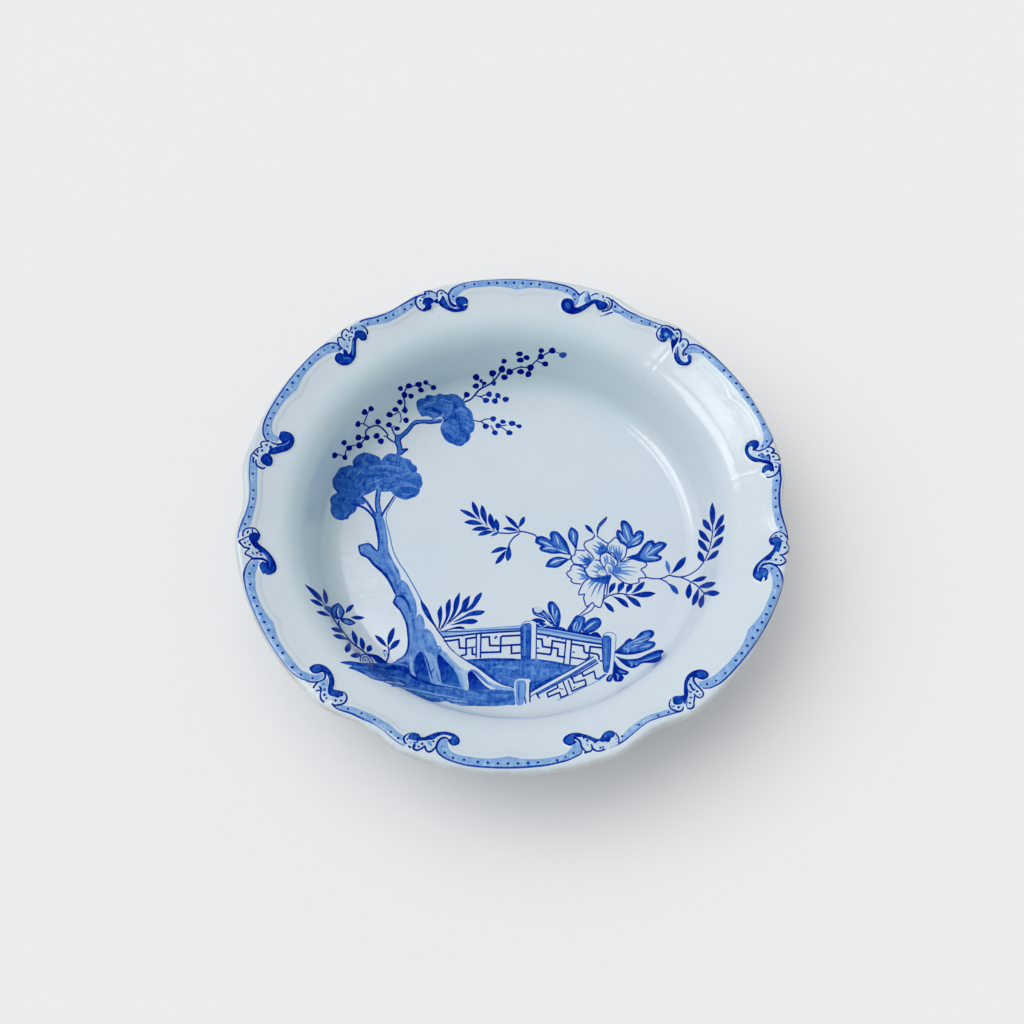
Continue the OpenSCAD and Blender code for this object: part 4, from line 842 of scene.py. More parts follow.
leaf(668, 583, 678.3, 594.6, 4.6, -0.6, 0.58, 0.82)

# ---------------------------------------------------------------- moulded border
# The twelve scrolls of the border were painted by hand and differ, so each is drawn where it
# stands, in the picture frame: its dark body, the pale shells behind it, brush lines and dots,
# and the ends of the broad and the narrow band that leave it (outer edge, inner edge, outer line).
GARDEN, STROKES = STROKES, []
SCROLLS = []


def scroll(bodies, shell, paint_on, big, big_line, small, small_line):
    SCROLLS.append(dict(bodies=bodies, shell=shell, paint_on=paint_on, big=big, big_line=big_line, small=small, small_line=small_line))


def F(points, tone, wash=0.35):
    return lambda: blob(points, tone, wash)


def L(points, w, tone=0.95):
    return lambda: line(points, w, tone, 0.08)


def D(*spots):
    return lambda: [dot(x, y, r, r * 0.95, t, n=10) for x, y, r, t in (q if len(q) == 4 else q + (0.96,) for q in spots)]


# 1: far, left of the middle
scroll([([(438.4, 303), (439, 300.6), (441, 298.2), (442.2, 296.2), (444.4, 298.4), (446.2, 301.4), (448.2, 304.4), (451, 306.8), (454.6, 307.6),
          (457.4, 306.2), (456.2, 303.6), (455.3, 300.6), (456, 297.8), (458.4, 296), (461.6, 295.7), (464.8, 296.2), (467.2, 298.2), (468.1, 300.8),
          (467.4, 303.4), (467.8, 305.4), (466.8, 308), (464.4, 310), (460.8, 311), (456.8, 311.6), (452.6, 311.4), (448.6, 310), (444.8, 308.2),
          (441.2, 306.2)], 0.92),
        ([(422.4, 300.6), (424, 298.2), (427.4, 297.2), (430.8, 297.7), (433.2, 299.8), (432.8, 302.6), (430.9, 304.2), (431.7, 306), (430.6, 308.7),
          (427.2, 310.1), (424.2, 309.8), (422.6, 308.4), (424.6, 307), (424.6, 305.2), (423, 304.4), (422.1, 302.6)], 0.94)],
       [(415.4, 299), (417.4, 296.4), (421, 295), (424.4, 294), (425, 291.6), (428, 291), (432, 291.2), (435.6, 292.8), (437, 294), (438.2, 291),
        (440.6, 289.7), (443, 290.6), (446, 292.6), (448.4, 294.6), (448.6, 299), (450, 302.6), (452, 306), (445, 303), (438, 304), (430, 310),
        (424, 310.2), (419.4, 308.2), (416.4, 305.4)],
       [F([(425, 292), (430, 291.8), (434.6, 293.2), (436.6, 296), (434, 298), (428, 296.6), (424.4, 297)], 0.26),
        L([(425.6, 291.4), (425.4, 293.4), (425.2, 295.2)], 1.6, 0.82), L([(428.8, 291.2), (428.6, 293), (428.4, 294.6)], 0.9, 0.75),
        L([(432, 301), (435, 301.2), (437, 301.6), (439.4, 302.4)], 1.8), F([(434.8, 299.4), (436.6, 298.4), (438.2, 299.2), (437.9, 302), (437, 303.4), (435.3, 302.2)], 1.0),
        L([(417.2, 296.4), (420.8, 295), (424.6, 294.2)], 1.4, 0.92), L([(424.5, 294.4), (424.8, 291.7), (427.6, 290.9), (430.6, 291), (433.6, 291.7), (436.2, 293.2)], 1.3, 0.94),
        L([(417.4, 296.4), (415.6, 299), (415.4, 302.4), (416.8, 305.8), (419.4, 308.2), (422.4, 309.7), (426, 310.3)], [1.2, 2.2, 1.8, 1.6, 1.5, 1.4, 1.2], 0.93),
        L([(437.2, 297.2), (436.7, 294), (437.9, 290.9), (440.4, 289.7), (442.8, 290.4), (445.4, 292.2), (448.2, 294.4)], 1.5),
        L([(446, 298), (447.6, 301.6), (450, 305), (453.4, 307.4), (457, 308.2), (460, 307.6)], [0.6, 1.2, 1.2, 1.2, 1, 0.5], 0.42),
        L([(448.4, 294.4), (448.8, 297.4), (449.6, 300.4), (451.4, 303.2), (454, 305), (457, 305.4)], [1.6, 2, 2.4, 2.8, 2.8, 1.6], 0.98),
        F([(458, 300), (460, 297.8), (463.6, 297.6), (466, 299.6), (466, 302.4), (462.4, 303), (459.4, 303.4)], 0.85),
        F([(441.6, 301.4), (443, 299.6), (445, 302.4), (447.6, 306), (445, 306), (442.4, 304)], 0.80),
        L([(463.2, 304.5), (465, 304.2), (466.8, 304.1)], [0.5, 1.3, 0.7], 0.05), L([(441.4, 296.4), (442.8, 296.8), (444.2, 298.6)], 1.6, 0.97),
        L([(421.4, 297.4), (423, 297), (424.6, 296.4)], 1.2), D((420.2, 300.4, 1.2), (441.3, 293.1, 1.2), (453.1, 295.7, 1.2), (464.4, 285.8, 1.0), (474.2, 283.7, 1.2), (411, 304, 1.3),
                                                               (404.6, 309, 1.2), (432.8, 311.3, 0.6, 0.5))],
       ([(456.4, 303.4), (453.6, 302.6), (451.2, 300), (450, 297), (449.8, 293.8), (451, 290.8), (453.4, 288.4), (456.4, 286.4), (460, 284.9), (465, 283.6),
         (470, 282.4), (475, 281.5), (480, 281.2)],
        [(455.7, 300), (456.4, 297.4), (458, 295.6), (459.8, 292.9), (462.6, 290.6), (466.6, 288.8), (471, 287.5), (476, 286.9), (480, 286.6)]),
       ([(448.6, 295), (449.2, 292.6), (450.6, 290.4), (453, 288), (456.4, 286.3), (462, 284.2), (470, 282.2), (480, 281)], [1.6, 1.8, 1.6, 1.4, 1.0, 0.7, 0.6, 0.6], 0.86),
       ([(416.6, 297), (413.8, 298.4), (410, 300.6), (405, 303.4), (400, 306.4)], [(415.4, 304.6), (412.6, 307.2), (409, 309.8), (405, 312.5), (400, 315.8)]),
       ([(417, 296.6), (413.8, 298.2), (410, 300.5), (405, 303.3), (400, 306.3)], 1.3, 0.94))

# 2: far, right of the middle
scroll([([(561, 304.6), (561.4, 301.2), (563, 298.6), (565.6, 297.6), (569, 297.8), (572, 298.8), (573.8, 300.8), (574.4, 303.6), (575, 306.4), (578, 307),
          (581.4, 305.6), (584, 304.4), (587, 302.6), (589.6, 300.6), (592.6, 299.8), (595.4, 299.2), (598.4, 299.6), (601.4, 300.6), (604.4, 301.6),
          (607, 303.2), (608.4, 305.2), (607, 307.6), (604.6, 309.4), (601.6, 310.2), (598.6, 309.4), (596.8, 307.2), (595.8, 304.6), (594.4, 303.4),
          (592, 304.4), (589, 306.4), (585.4, 309), (581.6, 311.2), (577.6, 312.8), (573, 313.6), (568.4, 312.8), (564.6, 311), (562, 308.2)], 0.93)],
       [(580.2, 294.8), (582.6, 292.6), (585.4, 291.4), (588.4, 292), (590.2, 294), (591.4, 296.4), (592.4, 294.8), (595.4, 293.2), (599, 293), (602, 293.6),
        (604.4, 295.6), (606.4, 297), (609.4, 298), (612, 300.6), (612.6, 304), (611.2, 307.4), (608, 309.6), (604, 310.6), (598, 309), (594, 302), (585, 306),
        (577, 309.6), (575.4, 306.4), (578.6, 301)],
       [F([(585, 297), (588, 296), (590.4, 299), (590.6, 301.6), (587, 303), (584.8, 301)], 0.62), F([(586, 292.4), (588.6, 293), (589, 296), (586.4, 296)], 0.35),
        F([(565.4, 303.6), (567.4, 301.6), (570, 303), (570.6, 306.4), (568.4, 308.6), (566, 306.6)], 0.78),
        F([(598, 303), (601, 301.8), (604.6, 303.2), (605.6, 305.4), (603, 307.6), (600, 307.8), (598.4, 305.6)], 0.84),
        L([(580.4, 294.8), (582.6, 292.4), (585.2, 291.2)], [1.8, 1.3, 1.0], 0.93), L([(585.2, 291.2), (587.8, 291.4), (589.4, 293)], 0.9, 0.6),
        L([(588.6, 293.6), (589.6, 297), (590.2, 300)], [1.2, 2.4, 1.6], 0.84), L([(591.4, 295.6), (593, 294.2), (595.6, 293.2), (598.6, 293.4)], 1.3, 0.93),
        L([(606, 297.2), (609, 297.8), (611.4, 300), (612.4, 303.2), (611.6, 306.6), (609.2, 309), (606, 310.4), (602, 310.9)], [1.6, 1.4, 1.7, 1.7, 1.6, 1.4, 1.2, 0.9], 0.94),
        L([(608.6, 300.6), (610, 303.4), (609.4, 306.2), (607, 308.6)], 0.9, 0.86), L([(603, 294.8), (603.3, 296.4), (603.6, 298)], 1.4, 0.96),
        F([(599.6, 315), (603, 314.4), (606, 313), (609, 311.6), (612.6, 310.8), (613, 312.2), (609, 313.4), (605, 314.6), (601, 315.6)], 0.80, 0.5),
        F([(612.6, 308.4), (616, 309.6), (620, 311.4), (622.6, 313), (619, 313), (614.6, 311.4)], 0.62, 0.6),
        F([(573, 293), (575, 292.4), (576, 294), (574.6, 295.4), (573, 294.6)], 0.80),
        D((605, 300.2, 0.9), (556.8, 287.4, 1.2), (567.2, 289.9, 1.2), (574.8, 298.8, 1.1), (615.4, 306.2, 1.3), (622.9, 311.4, 1.2), (631.8, 316.9, 1.1), (551.2, 286.4, 0.8, 0.6))],
       ([(575.4, 306), (577.2, 303.4), (578.8, 300.4), (579.4, 297.4), (578.8, 294.8), (576.4, 291.9), (573.4, 289.2), (569.6, 287), (565, 285.2), (560, 284.2),
         (555, 283.2), (548, 282.4)],
        [(574.6, 305.4), (574, 302.4), (573.6, 299.4), (572, 296.8), (569, 294), (565, 292.2), (560, 290.7), (555, 289.6), (548, 288.8)]),
       ([(575.2, 306.4), (577.4, 303.8), (579.2, 300.8), (580, 297.6), (579.4, 295), (577, 292.4), (574, 289.6), (570, 287.4), (565, 285.6), (560, 284.6), (554, 283.2), (548, 282.2)],
        [1, 1.6, 1.9, 2.0, 1.8, 1.6, 1.4, 1.3, 1.2, 1.1, 0.9, 0.9], 0.92),
       ([(612.4, 300.4), (616, 303), (620, 306.2), (625, 309.6), (630, 312.4), (636, 315)], [(612, 309.4), (614, 311), (617.6, 312.6), (621, 314.6), (625, 317.4), (630, 320), (636, 322.6)]),
       ([(612, 299.4), (616, 302.7), (620, 306), (625, 309.4), (630, 312.2), (636, 314.8)], 1.2, 0.93))

# 3: far right
scroll([([(675.6, 349.6), (674.9, 353), (674.9, 356.6), (676.2, 360.2), (678.8, 362.9), (682.4, 364.3), (686.4, 364.4), (689.4, 363.1), (691.5, 360.4),
          (692.1, 357.2), (691.2, 354.8), (689.4, 354.2), (687.8, 355.6), (687.6, 358), (688.2, 360.2), (686.4, 361.6), (683.6, 361), (681.4, 359.2),
          (679.8, 356.4), (679.2, 353), (678.8, 349.6), (678.6, 346.4), (677.2, 346.8)], 0.88),
        ([(659.6, 332), (661, 328.6), (664, 327), (668, 327.6), (671.4, 330), (674, 333.4), (676.4, 337), (675.4, 340), (672, 340.4), (669.8, 337.6),
          (667.6, 339), (664.6, 340), (661, 338.6), (659.4, 335.6)], 0.82)],
       [(656.6, 333), (658.4, 329), (662, 326), (666, 325.2), (672, 327.4), (676, 329), (679, 329.2), (681.4, 333), (681.6, 338.6), (684.6, 338.4), (688, 341),
        (688.8, 344.6), (686, 348.6), (683.6, 353), (682, 359), (676, 356), (675.6, 349.6), (678, 344), (672, 341), (667, 339.4), (662, 340.4), (657.6, 337)],
       [F([(671.2, 340.6), (674, 339), (677, 337.6), (679, 337), (678.6, 340.6), (676.8, 343.6), (674.6, 346.4), (673.4, 349.6), (672.4, 353), (671.9, 348.6), (671.2, 344.4)], 0.97),
        L([(668, 330.6), (671, 333), (674, 336.6), (676.4, 339.6)], [1.5, 3, 4, 3], 0.88), F([(672.6, 337), (674.4, 335.4), (676, 337.4), (675, 339.6), (673.4, 339.4)], 0.35),
        F([(664.6, 334.6), (666.4, 332.8), (668.4, 334.4), (667.4, 336.4), (665.4, 336.4)], 0.5), L([(660.2, 335), (659.7, 332), (661, 329.4)], 1.3, 0.08),
        L([(663, 327.4), (667, 327.2), (671, 328.8)], 1.1, 0.22), D((663.4, 337.2, 1.3), (667.4, 329.6, 1.1, 0.92)),
        L([(660.4, 327.6), (658, 329.6), (656.7, 332.8), (657.3, 336), (659, 338.6), (661.6, 340.3), (664.6, 340.5), (667, 339)], 1.4, 0.93),
        L([(659.8, 328), (662, 326), (665, 325.2), (668.6, 325.8), (671.6, 327.2), (673.8, 328.8), (675, 330.6)], [1.2, 1.3, 1.3, 1.5, 1.8, 2.4, 1.8]),
        L([(675, 330.4), (676.6, 329.2), (678.6, 329.3), (680.4, 331), (681.4, 333.6), (681.4, 336.6), (680.6, 339.6), (679.6, 341.6)], [1.6, 1.7, 1.7, 1.6, 1.5, 1.4, 1.4, 1], 0.97),
        D((677.6, 333.4, 1.2)), F([(681.6, 344.6), (683.4, 342.8), (685, 344.6), (684, 347), (682, 347)], 0.6),
        L([(680.4, 340.6), (681.6, 339), (684, 338.6), (686.6, 339), (688.2, 341), (688.8, 343.8), (687.6, 346)], 1.5), F([(679.6, 340.4), (681.4, 339), (682.4, 340.2), (681, 342.4), (679.6, 343.2)], 0.97),
        F([(676, 352), (677.6, 350.6), (678.6, 354), (679.6, 357), (678, 358), (676.4, 355.6)], 0.80),
        L([(675, 352), (675, 356.6), (676.4, 360.2), (679, 362.8), (682.6, 364.1), (686.6, 364.2), (689.5, 362.9), (691.5, 360.2)], 1.3, 0.97),
        L([(680.8, 344.6), (681.2, 349), (682, 353.4), (684, 357.4), (686.4, 358.8)], [1.2, 1.8, 2.2, 2.8, 1.8], 0.10), L([(677.6, 347.6), (676.6, 350.4), (676.4, 353)], 0.8, 0.2),
        L([(688.4, 346), (686.4, 348), (684.4, 350.4), (683.4, 353.2), (683.8, 355.6)], [1.4, 1.5, 1.7, 1.9, 1.6]),
        L([(688.6, 348.8), (691.4, 347.8), (694, 347.6), (697.4, 348.6)], [0.8, 1.2, 1.0, 0.8], 0.62),
        D((686.3, 353.8, 1.4), (703.4, 351.8, 1.2), (710.2, 357.2, 1.2), (650, 323.4, 1.2), (655.6, 326.2, 1.3, 0.78), (696.8, 367.2, 0.6, 0.3))],
       ([(684, 355.4), (684.2, 352.6), (685.6, 349.8), (688, 347), (690.6, 345), (693.6, 344.7), (697, 345.6), (700.6, 347.4), (704, 349.4), (708, 352.4), (712, 355.6), (718, 360.6)],
        [(686.4, 356), (688.6, 354.6), (691, 353.2), (694, 352.6), (697, 352.6), (700, 353.4), (703, 354.8), (706, 357.2), (709, 360.4), (712, 363.2), (718, 368.6)]),
       ([(688.6, 345.6), (691, 344.6), (694, 344.4), (697.4, 345.3), (701, 347.2), (704.6, 349.4), (708.4, 352.4), (712.4, 355.6), (718, 360.2)], 1.3, 0.93),
       ([(660, 328.2), (657, 325.6), (653, 323.2), (648, 320.6)], [(658, 329.4), (655, 327.8), (651, 326.4), (648, 325.8)]),
       ([(663, 325.6), (659.6, 324.6), (656, 323.2), (652, 321.8), (648, 320)], 1.1, 0.80))

# 4: right, behind
scroll([([(752.6, 450.2), (755.4, 450.2), (757.8, 448.2), (759.6, 445.8), (759.6, 442.8), (757.6, 440.6), (754.8, 439.9), (751.4, 440.6), (748.4, 442.4),
          (746.4, 445.2), (745.6, 448.8), (746.2, 452.6), (748, 456), (750.8, 458.8), (754.2, 460.8), (757.8, 461.6), (761, 461.8), (764.6, 462.6),
          (768, 464.2), (765.4, 465.6), (763.4, 468), (762.8, 471), (763.8, 473), (766.4, 471.6), (769.2, 470.4), (771.2, 471.6), (773, 473.4),
          (774.5, 472), (774.6, 468.4), (774, 464.8), (772, 462.4), (769.4, 460.6), (765, 459.8), (760.6, 458.6), (757.4, 457.8), (754, 456.6),
          (751, 454.6), (749.2, 451.8), (748.8, 448.8), (750, 446.6), (752, 446.4), (753.4, 448)], 0.84)],
       [(757, 451.4), (762, 450.8), (766.4, 449), (769.4, 446.9), (772.4, 448), (774.6, 450.2), (774, 452.6), (776.6, 453.6), (779, 455.8), (779.8, 458.6),
        (778.2, 460.2), (775.6, 461.4), (778.6, 463), (780, 466), (779.6, 470), (777.8, 473.4), (774.4, 475.8), (770.6, 477.2), (767, 476.4), (765, 474.4),
        (766, 472), (772.8, 473.6), (774, 466), (770, 461), (760, 458.6), (754, 456.6), (750, 452), (749, 448), (752, 447)],
       [L([(759.4, 459.8), (763, 461), (767, 462.2), (770.4, 463.4), (772.4, 465.6), (773.6, 468.6), (774.2, 472)], [2.4, 3, 3, 3.2, 3, 2.2, 1], 0.97),
        F([(762.8, 470.4), (763.6, 467.6), (766, 465.4), (769, 464.6), (771.6, 466), (772.4, 469), (771, 470.6), (768.6, 470), (766, 471.2), (764, 472.8)], 0.82, 0.5),
        L([(763.2, 472.4), (763, 469.6), (764.2, 467), (766.8, 465)], 1.3, 0.9),
        L([(759.6, 443.2), (758, 440.9), (755, 440), (751.6, 440.5), (748.5, 442.3), (746.4, 445.2), (745.7, 448.8), (746.3, 452.6), (748.1, 455.9), (750.9, 458.7), (754.3, 460.6), (758, 461.4)],
          1.1, 0.92),
        L([(750, 448.4), (750.6, 451.6), (753, 454.6), (757, 456.6), (760, 457.4)], [1, 1.8, 2.2, 2, 1], 0.12),
        F([(752.8, 450), (755, 450.2), (757.6, 448.2), (759.2, 445.6), (757.4, 444.4), (755.8, 446.6), (753.8, 448)], 0.92),
        F([(758.4, 455.4), (761, 453), (764, 453.6), (766, 455.6), (769, 455), (770, 458), (768, 460), (763, 458.6)], 0.62, 0.5),
        L([(767, 456.4), (769.4, 455), (770.4, 458), (770.2, 461)], 1.6, 0.93), D((768, 451.4, 1.5, 0.76), (763, 453.8, 1.0), (759.2, 455.4, 1.1, 0.9), (764, 457, 1.0, 0.85)),
        L([(768, 447.6), (770.4, 447), (772.6, 448.2), (774.3, 450.2), (773.6, 452.2), (771.4, 453.4)], [1.2, 1.4, 1.5, 1.4, 1.8, 2]),
        L([(771.4, 453.4), (774.4, 453.1), (777.2, 454.4), (779.2, 456.8), (779.5, 459.2), (777.6, 460.1), (774.6, 460.2)], [2, 1.5, 1.5, 1.6, 1.8, 1.2, 0.8]),
        L([(774.4, 463), (776.6, 462.6), (778.6, 463.6), (779.6, 466)], [0.8, 0.9, 1, 1.1], 0.68),
        L([(779.6, 466), (779.4, 469.6), (778, 472.8), (775.4, 475.2), (772, 476.6), (768.6, 477.2), (766.4, 476.4)], [1.2, 1.3, 1.4, 1.4, 1.3, 1.2, 0.9], 0.92),
        L([(766, 474), (768.6, 474.8), (771, 474)], 0.7, 0.4), F([(771.8, 472.4), (773, 471.6), (773.8, 472.6), (772.8, 473.6)], 0.0, 0.0),
        D((774, 456.8, 1.3), (776.7, 467.2, 1.3), (763.8, 424.2, 1.2), (767.3, 441, 1.2), (763.2, 445.8, 1.2, 0.88), (777.3, 480.5, 1.3), (776.2, 490, 1.2))],
       ([(760, 450), (763, 449.4), (766.6, 447.8), (769, 446.2), (770.8, 443.8), (771.9, 441), (772.1, 438), (771.4, 433.6), (770, 429), (768, 424.6), (765.6, 420)],
        [(760.2, 447.4), (762, 444.6), (763.6, 441.6), (764, 438.4), (763.6, 434.6), (762.6, 430), (761, 425.4), (758.8, 420)]),
       ([(752.6, 450), (755.4, 450.8), (759, 450.9), (763, 450.1), (766.6, 448.5), (769, 446.5), (771, 443.8), (772.1, 441), (772.3, 438), (771.6, 433.4), (770.2, 428.8), (768.2, 424.4), (765.6, 419.6)],
        1.4, 0.93),
       ([(780, 470.4), (780.4, 474), (780.8, 478), (780.9, 482), (780.4, 490)], [(773.4, 477), (773.2, 480), (773, 484), (772.6, 490)]),
       ([(779.9, 464), (780, 470), (780.6, 476), (780.8, 480), (780.2, 485), (779.6, 490)], 1.3, 0.93))

# 5: right, in front
scroll([([(770, 541.4), (770.2, 539), (772.2, 537.9), (775.2, 536.9), (778.4, 537.3), (780.9, 538.8), (782.3, 541.2), (782.3, 544.6), (781.4, 548), (780.5, 551.4),
          (779.2, 552.8), (776.8, 552.2), (775, 555), (773.2, 557), (771.8, 558.6), (768, 560.2), (764.6, 561.6), (762, 564), (760.4, 566.6), (761.6, 567.6),
          (764.4, 567.4), (767, 568.4), (768.9, 570.6), (769.2, 573.2), (768.2, 575.8), (767.8, 578.6), (766.2, 580), (764.6, 580.6), (765.2, 578.4),
          (764, 577.4), (762.6, 579.4), (761.4, 581.4), (758.6, 580.4), (755.8, 578.8), (754, 576.6), (753.5, 573.4), (754.2, 569.8), (756, 566),
          (758.6, 562.6), (761.8, 559.6), (765.2, 557), (768.6, 554.6), (771.4, 552), (773.4, 549.2), (774.6, 546), (772.6, 545.3), (770.6, 544)], 0.90)],
       [(770.6, 537.6), (773.6, 534.2), (777, 532), (780, 531.6), (783.4, 533), (786.4, 536.6), (786.8, 542), (789.2, 546), (788.4, 550), (785, 554.4),
        (783, 556), (785.8, 560.4), (783.6, 563.6), (780, 565.4), (775, 565), (770, 563.8), (765, 564), (761.6, 566.4), (759, 571), (757, 573), (758, 567),
        (764, 560), (772, 555), (776, 549), (774, 545), (770.4, 542)],
       [F([(772, 541), (775, 538.8), (779, 539.4), (780.8, 542), (780, 547), (778.4, 551), (776.6, 548), (776, 543.6), (773, 543)], 0.82, 0.5),
        F([(757, 572.6), (759.6, 570.4), (762, 569), (765.6, 569.6), (767.4, 572.4), (766.4, 575.6), (762.6, 576.4), (760, 579), (757, 577)], 0.79, 0.6),
        L([(758.4, 571.6), (759.2, 568), (761.2, 564.8), (764, 562.4), (767.6, 561), (771.6, 560.6), (775.4, 561)], [0.8, 1.4, 1.6, 1.6, 1.5, 1.6, 1], 0.35),
        L([(761.2, 568.6), (762.4, 566), (765, 564.2), (768.4, 563.5), (772, 563.8), (775.4, 565.2), (777.8, 567.2)], [1, 1.8, 2, 1.9, 1.8, 1.8, 1.4], 0.96),
        L([(772.8, 551.4), (769, 555), (765, 557.6), (761.4, 560.6), (758, 563.8), (755.6, 567.2), (754.2, 570.6), (753.8, 574), (754.6, 577)], 1.4, 0.97),
        L([(766, 560.4), (769.4, 559.6), (772.4, 558.4)], 1.6, 0.92),
        L([(770, 541.6), (770, 539), (771, 536.8), (773.4, 534.2), (776.4, 532.3), (779.6, 531.6), (782.6, 532.6), (785.2, 534.8), (786.6, 537.6)], 1.4, 0.93),
        L([(787, 540.8), (786.6, 543), (787.4, 544.8), (789.2, 546.2), (788.8, 549), (787, 552), (784.6, 554.4), (781.6, 555.4), (780.4, 554.6)], [1.2, 1.1, 1.2, 1.4, 1.4, 1.4, 1.3, 1.3, 1.8], 0.94),
        L([(782, 555.4), (784, 557.6), (785.7, 560.4), (784.4, 563), (781.8, 564.8), (778, 565.2), (774.4, 564.6)], 1.4, 0.94), L([(781.6, 564.6), (781.2, 565.6), (780.8, 566.4)], 1.2, 0.93),
        D((776.4, 535.8, 1.1), (781.8, 536.6, 1.3, 0.87), (783.2, 541.7, 0.9), (785.2, 547.8, 1.3), (776.6, 559.9, 1.4), (781.7, 560.7, 1.1), (778.7, 519, 1.2), (781.6, 527.2, 1.2),
          (772.4, 568.7, 1.3, 0.82), (777.9, 575.6, 1.3), (778.2, 585.9, 1.2))],
       ([(765.4, 566.4), (768.6, 565.2), (772, 565.4), (775, 566.8), (777.6, 569.2), (779.8, 572.4), (781.4, 576.4), (782.2, 580.4), (782.4, 584.4), (781.6, 590)],
        [(765.6, 567.6), (768, 569), (769.8, 571.4), (771.6, 574.6), (772.8, 578), (773.4, 582), (773.2, 586), (772.6, 590)]),
       ([(772, 563.9), (775.4, 565.4), (778.2, 568), (780.2, 571.4), (781.8, 575.6), (782.8, 580), (783, 584), (782, 590)], [1.5, 1.5, 1.6, 1.7, 1.7, 1.7, 1.5, 1.3], 0.95),
       ([(786.2, 533.4), (785.2, 529), (783.8, 525), (782.2, 520.6), (781, 516)], [(779, 530.4), (777.4, 527), (776, 523.4), (775.2, 519.6), (774.8, 516)]),
       ([(787.2, 540.6), (787.4, 536.6), (786.8, 532.4), (785.8, 528.4), (784.4, 524.4), (782.8, 520), (781.6, 516)], [1.6, 1.6, 1.4, 1.4, 1.5, 1.6, 1.8], 0.95))

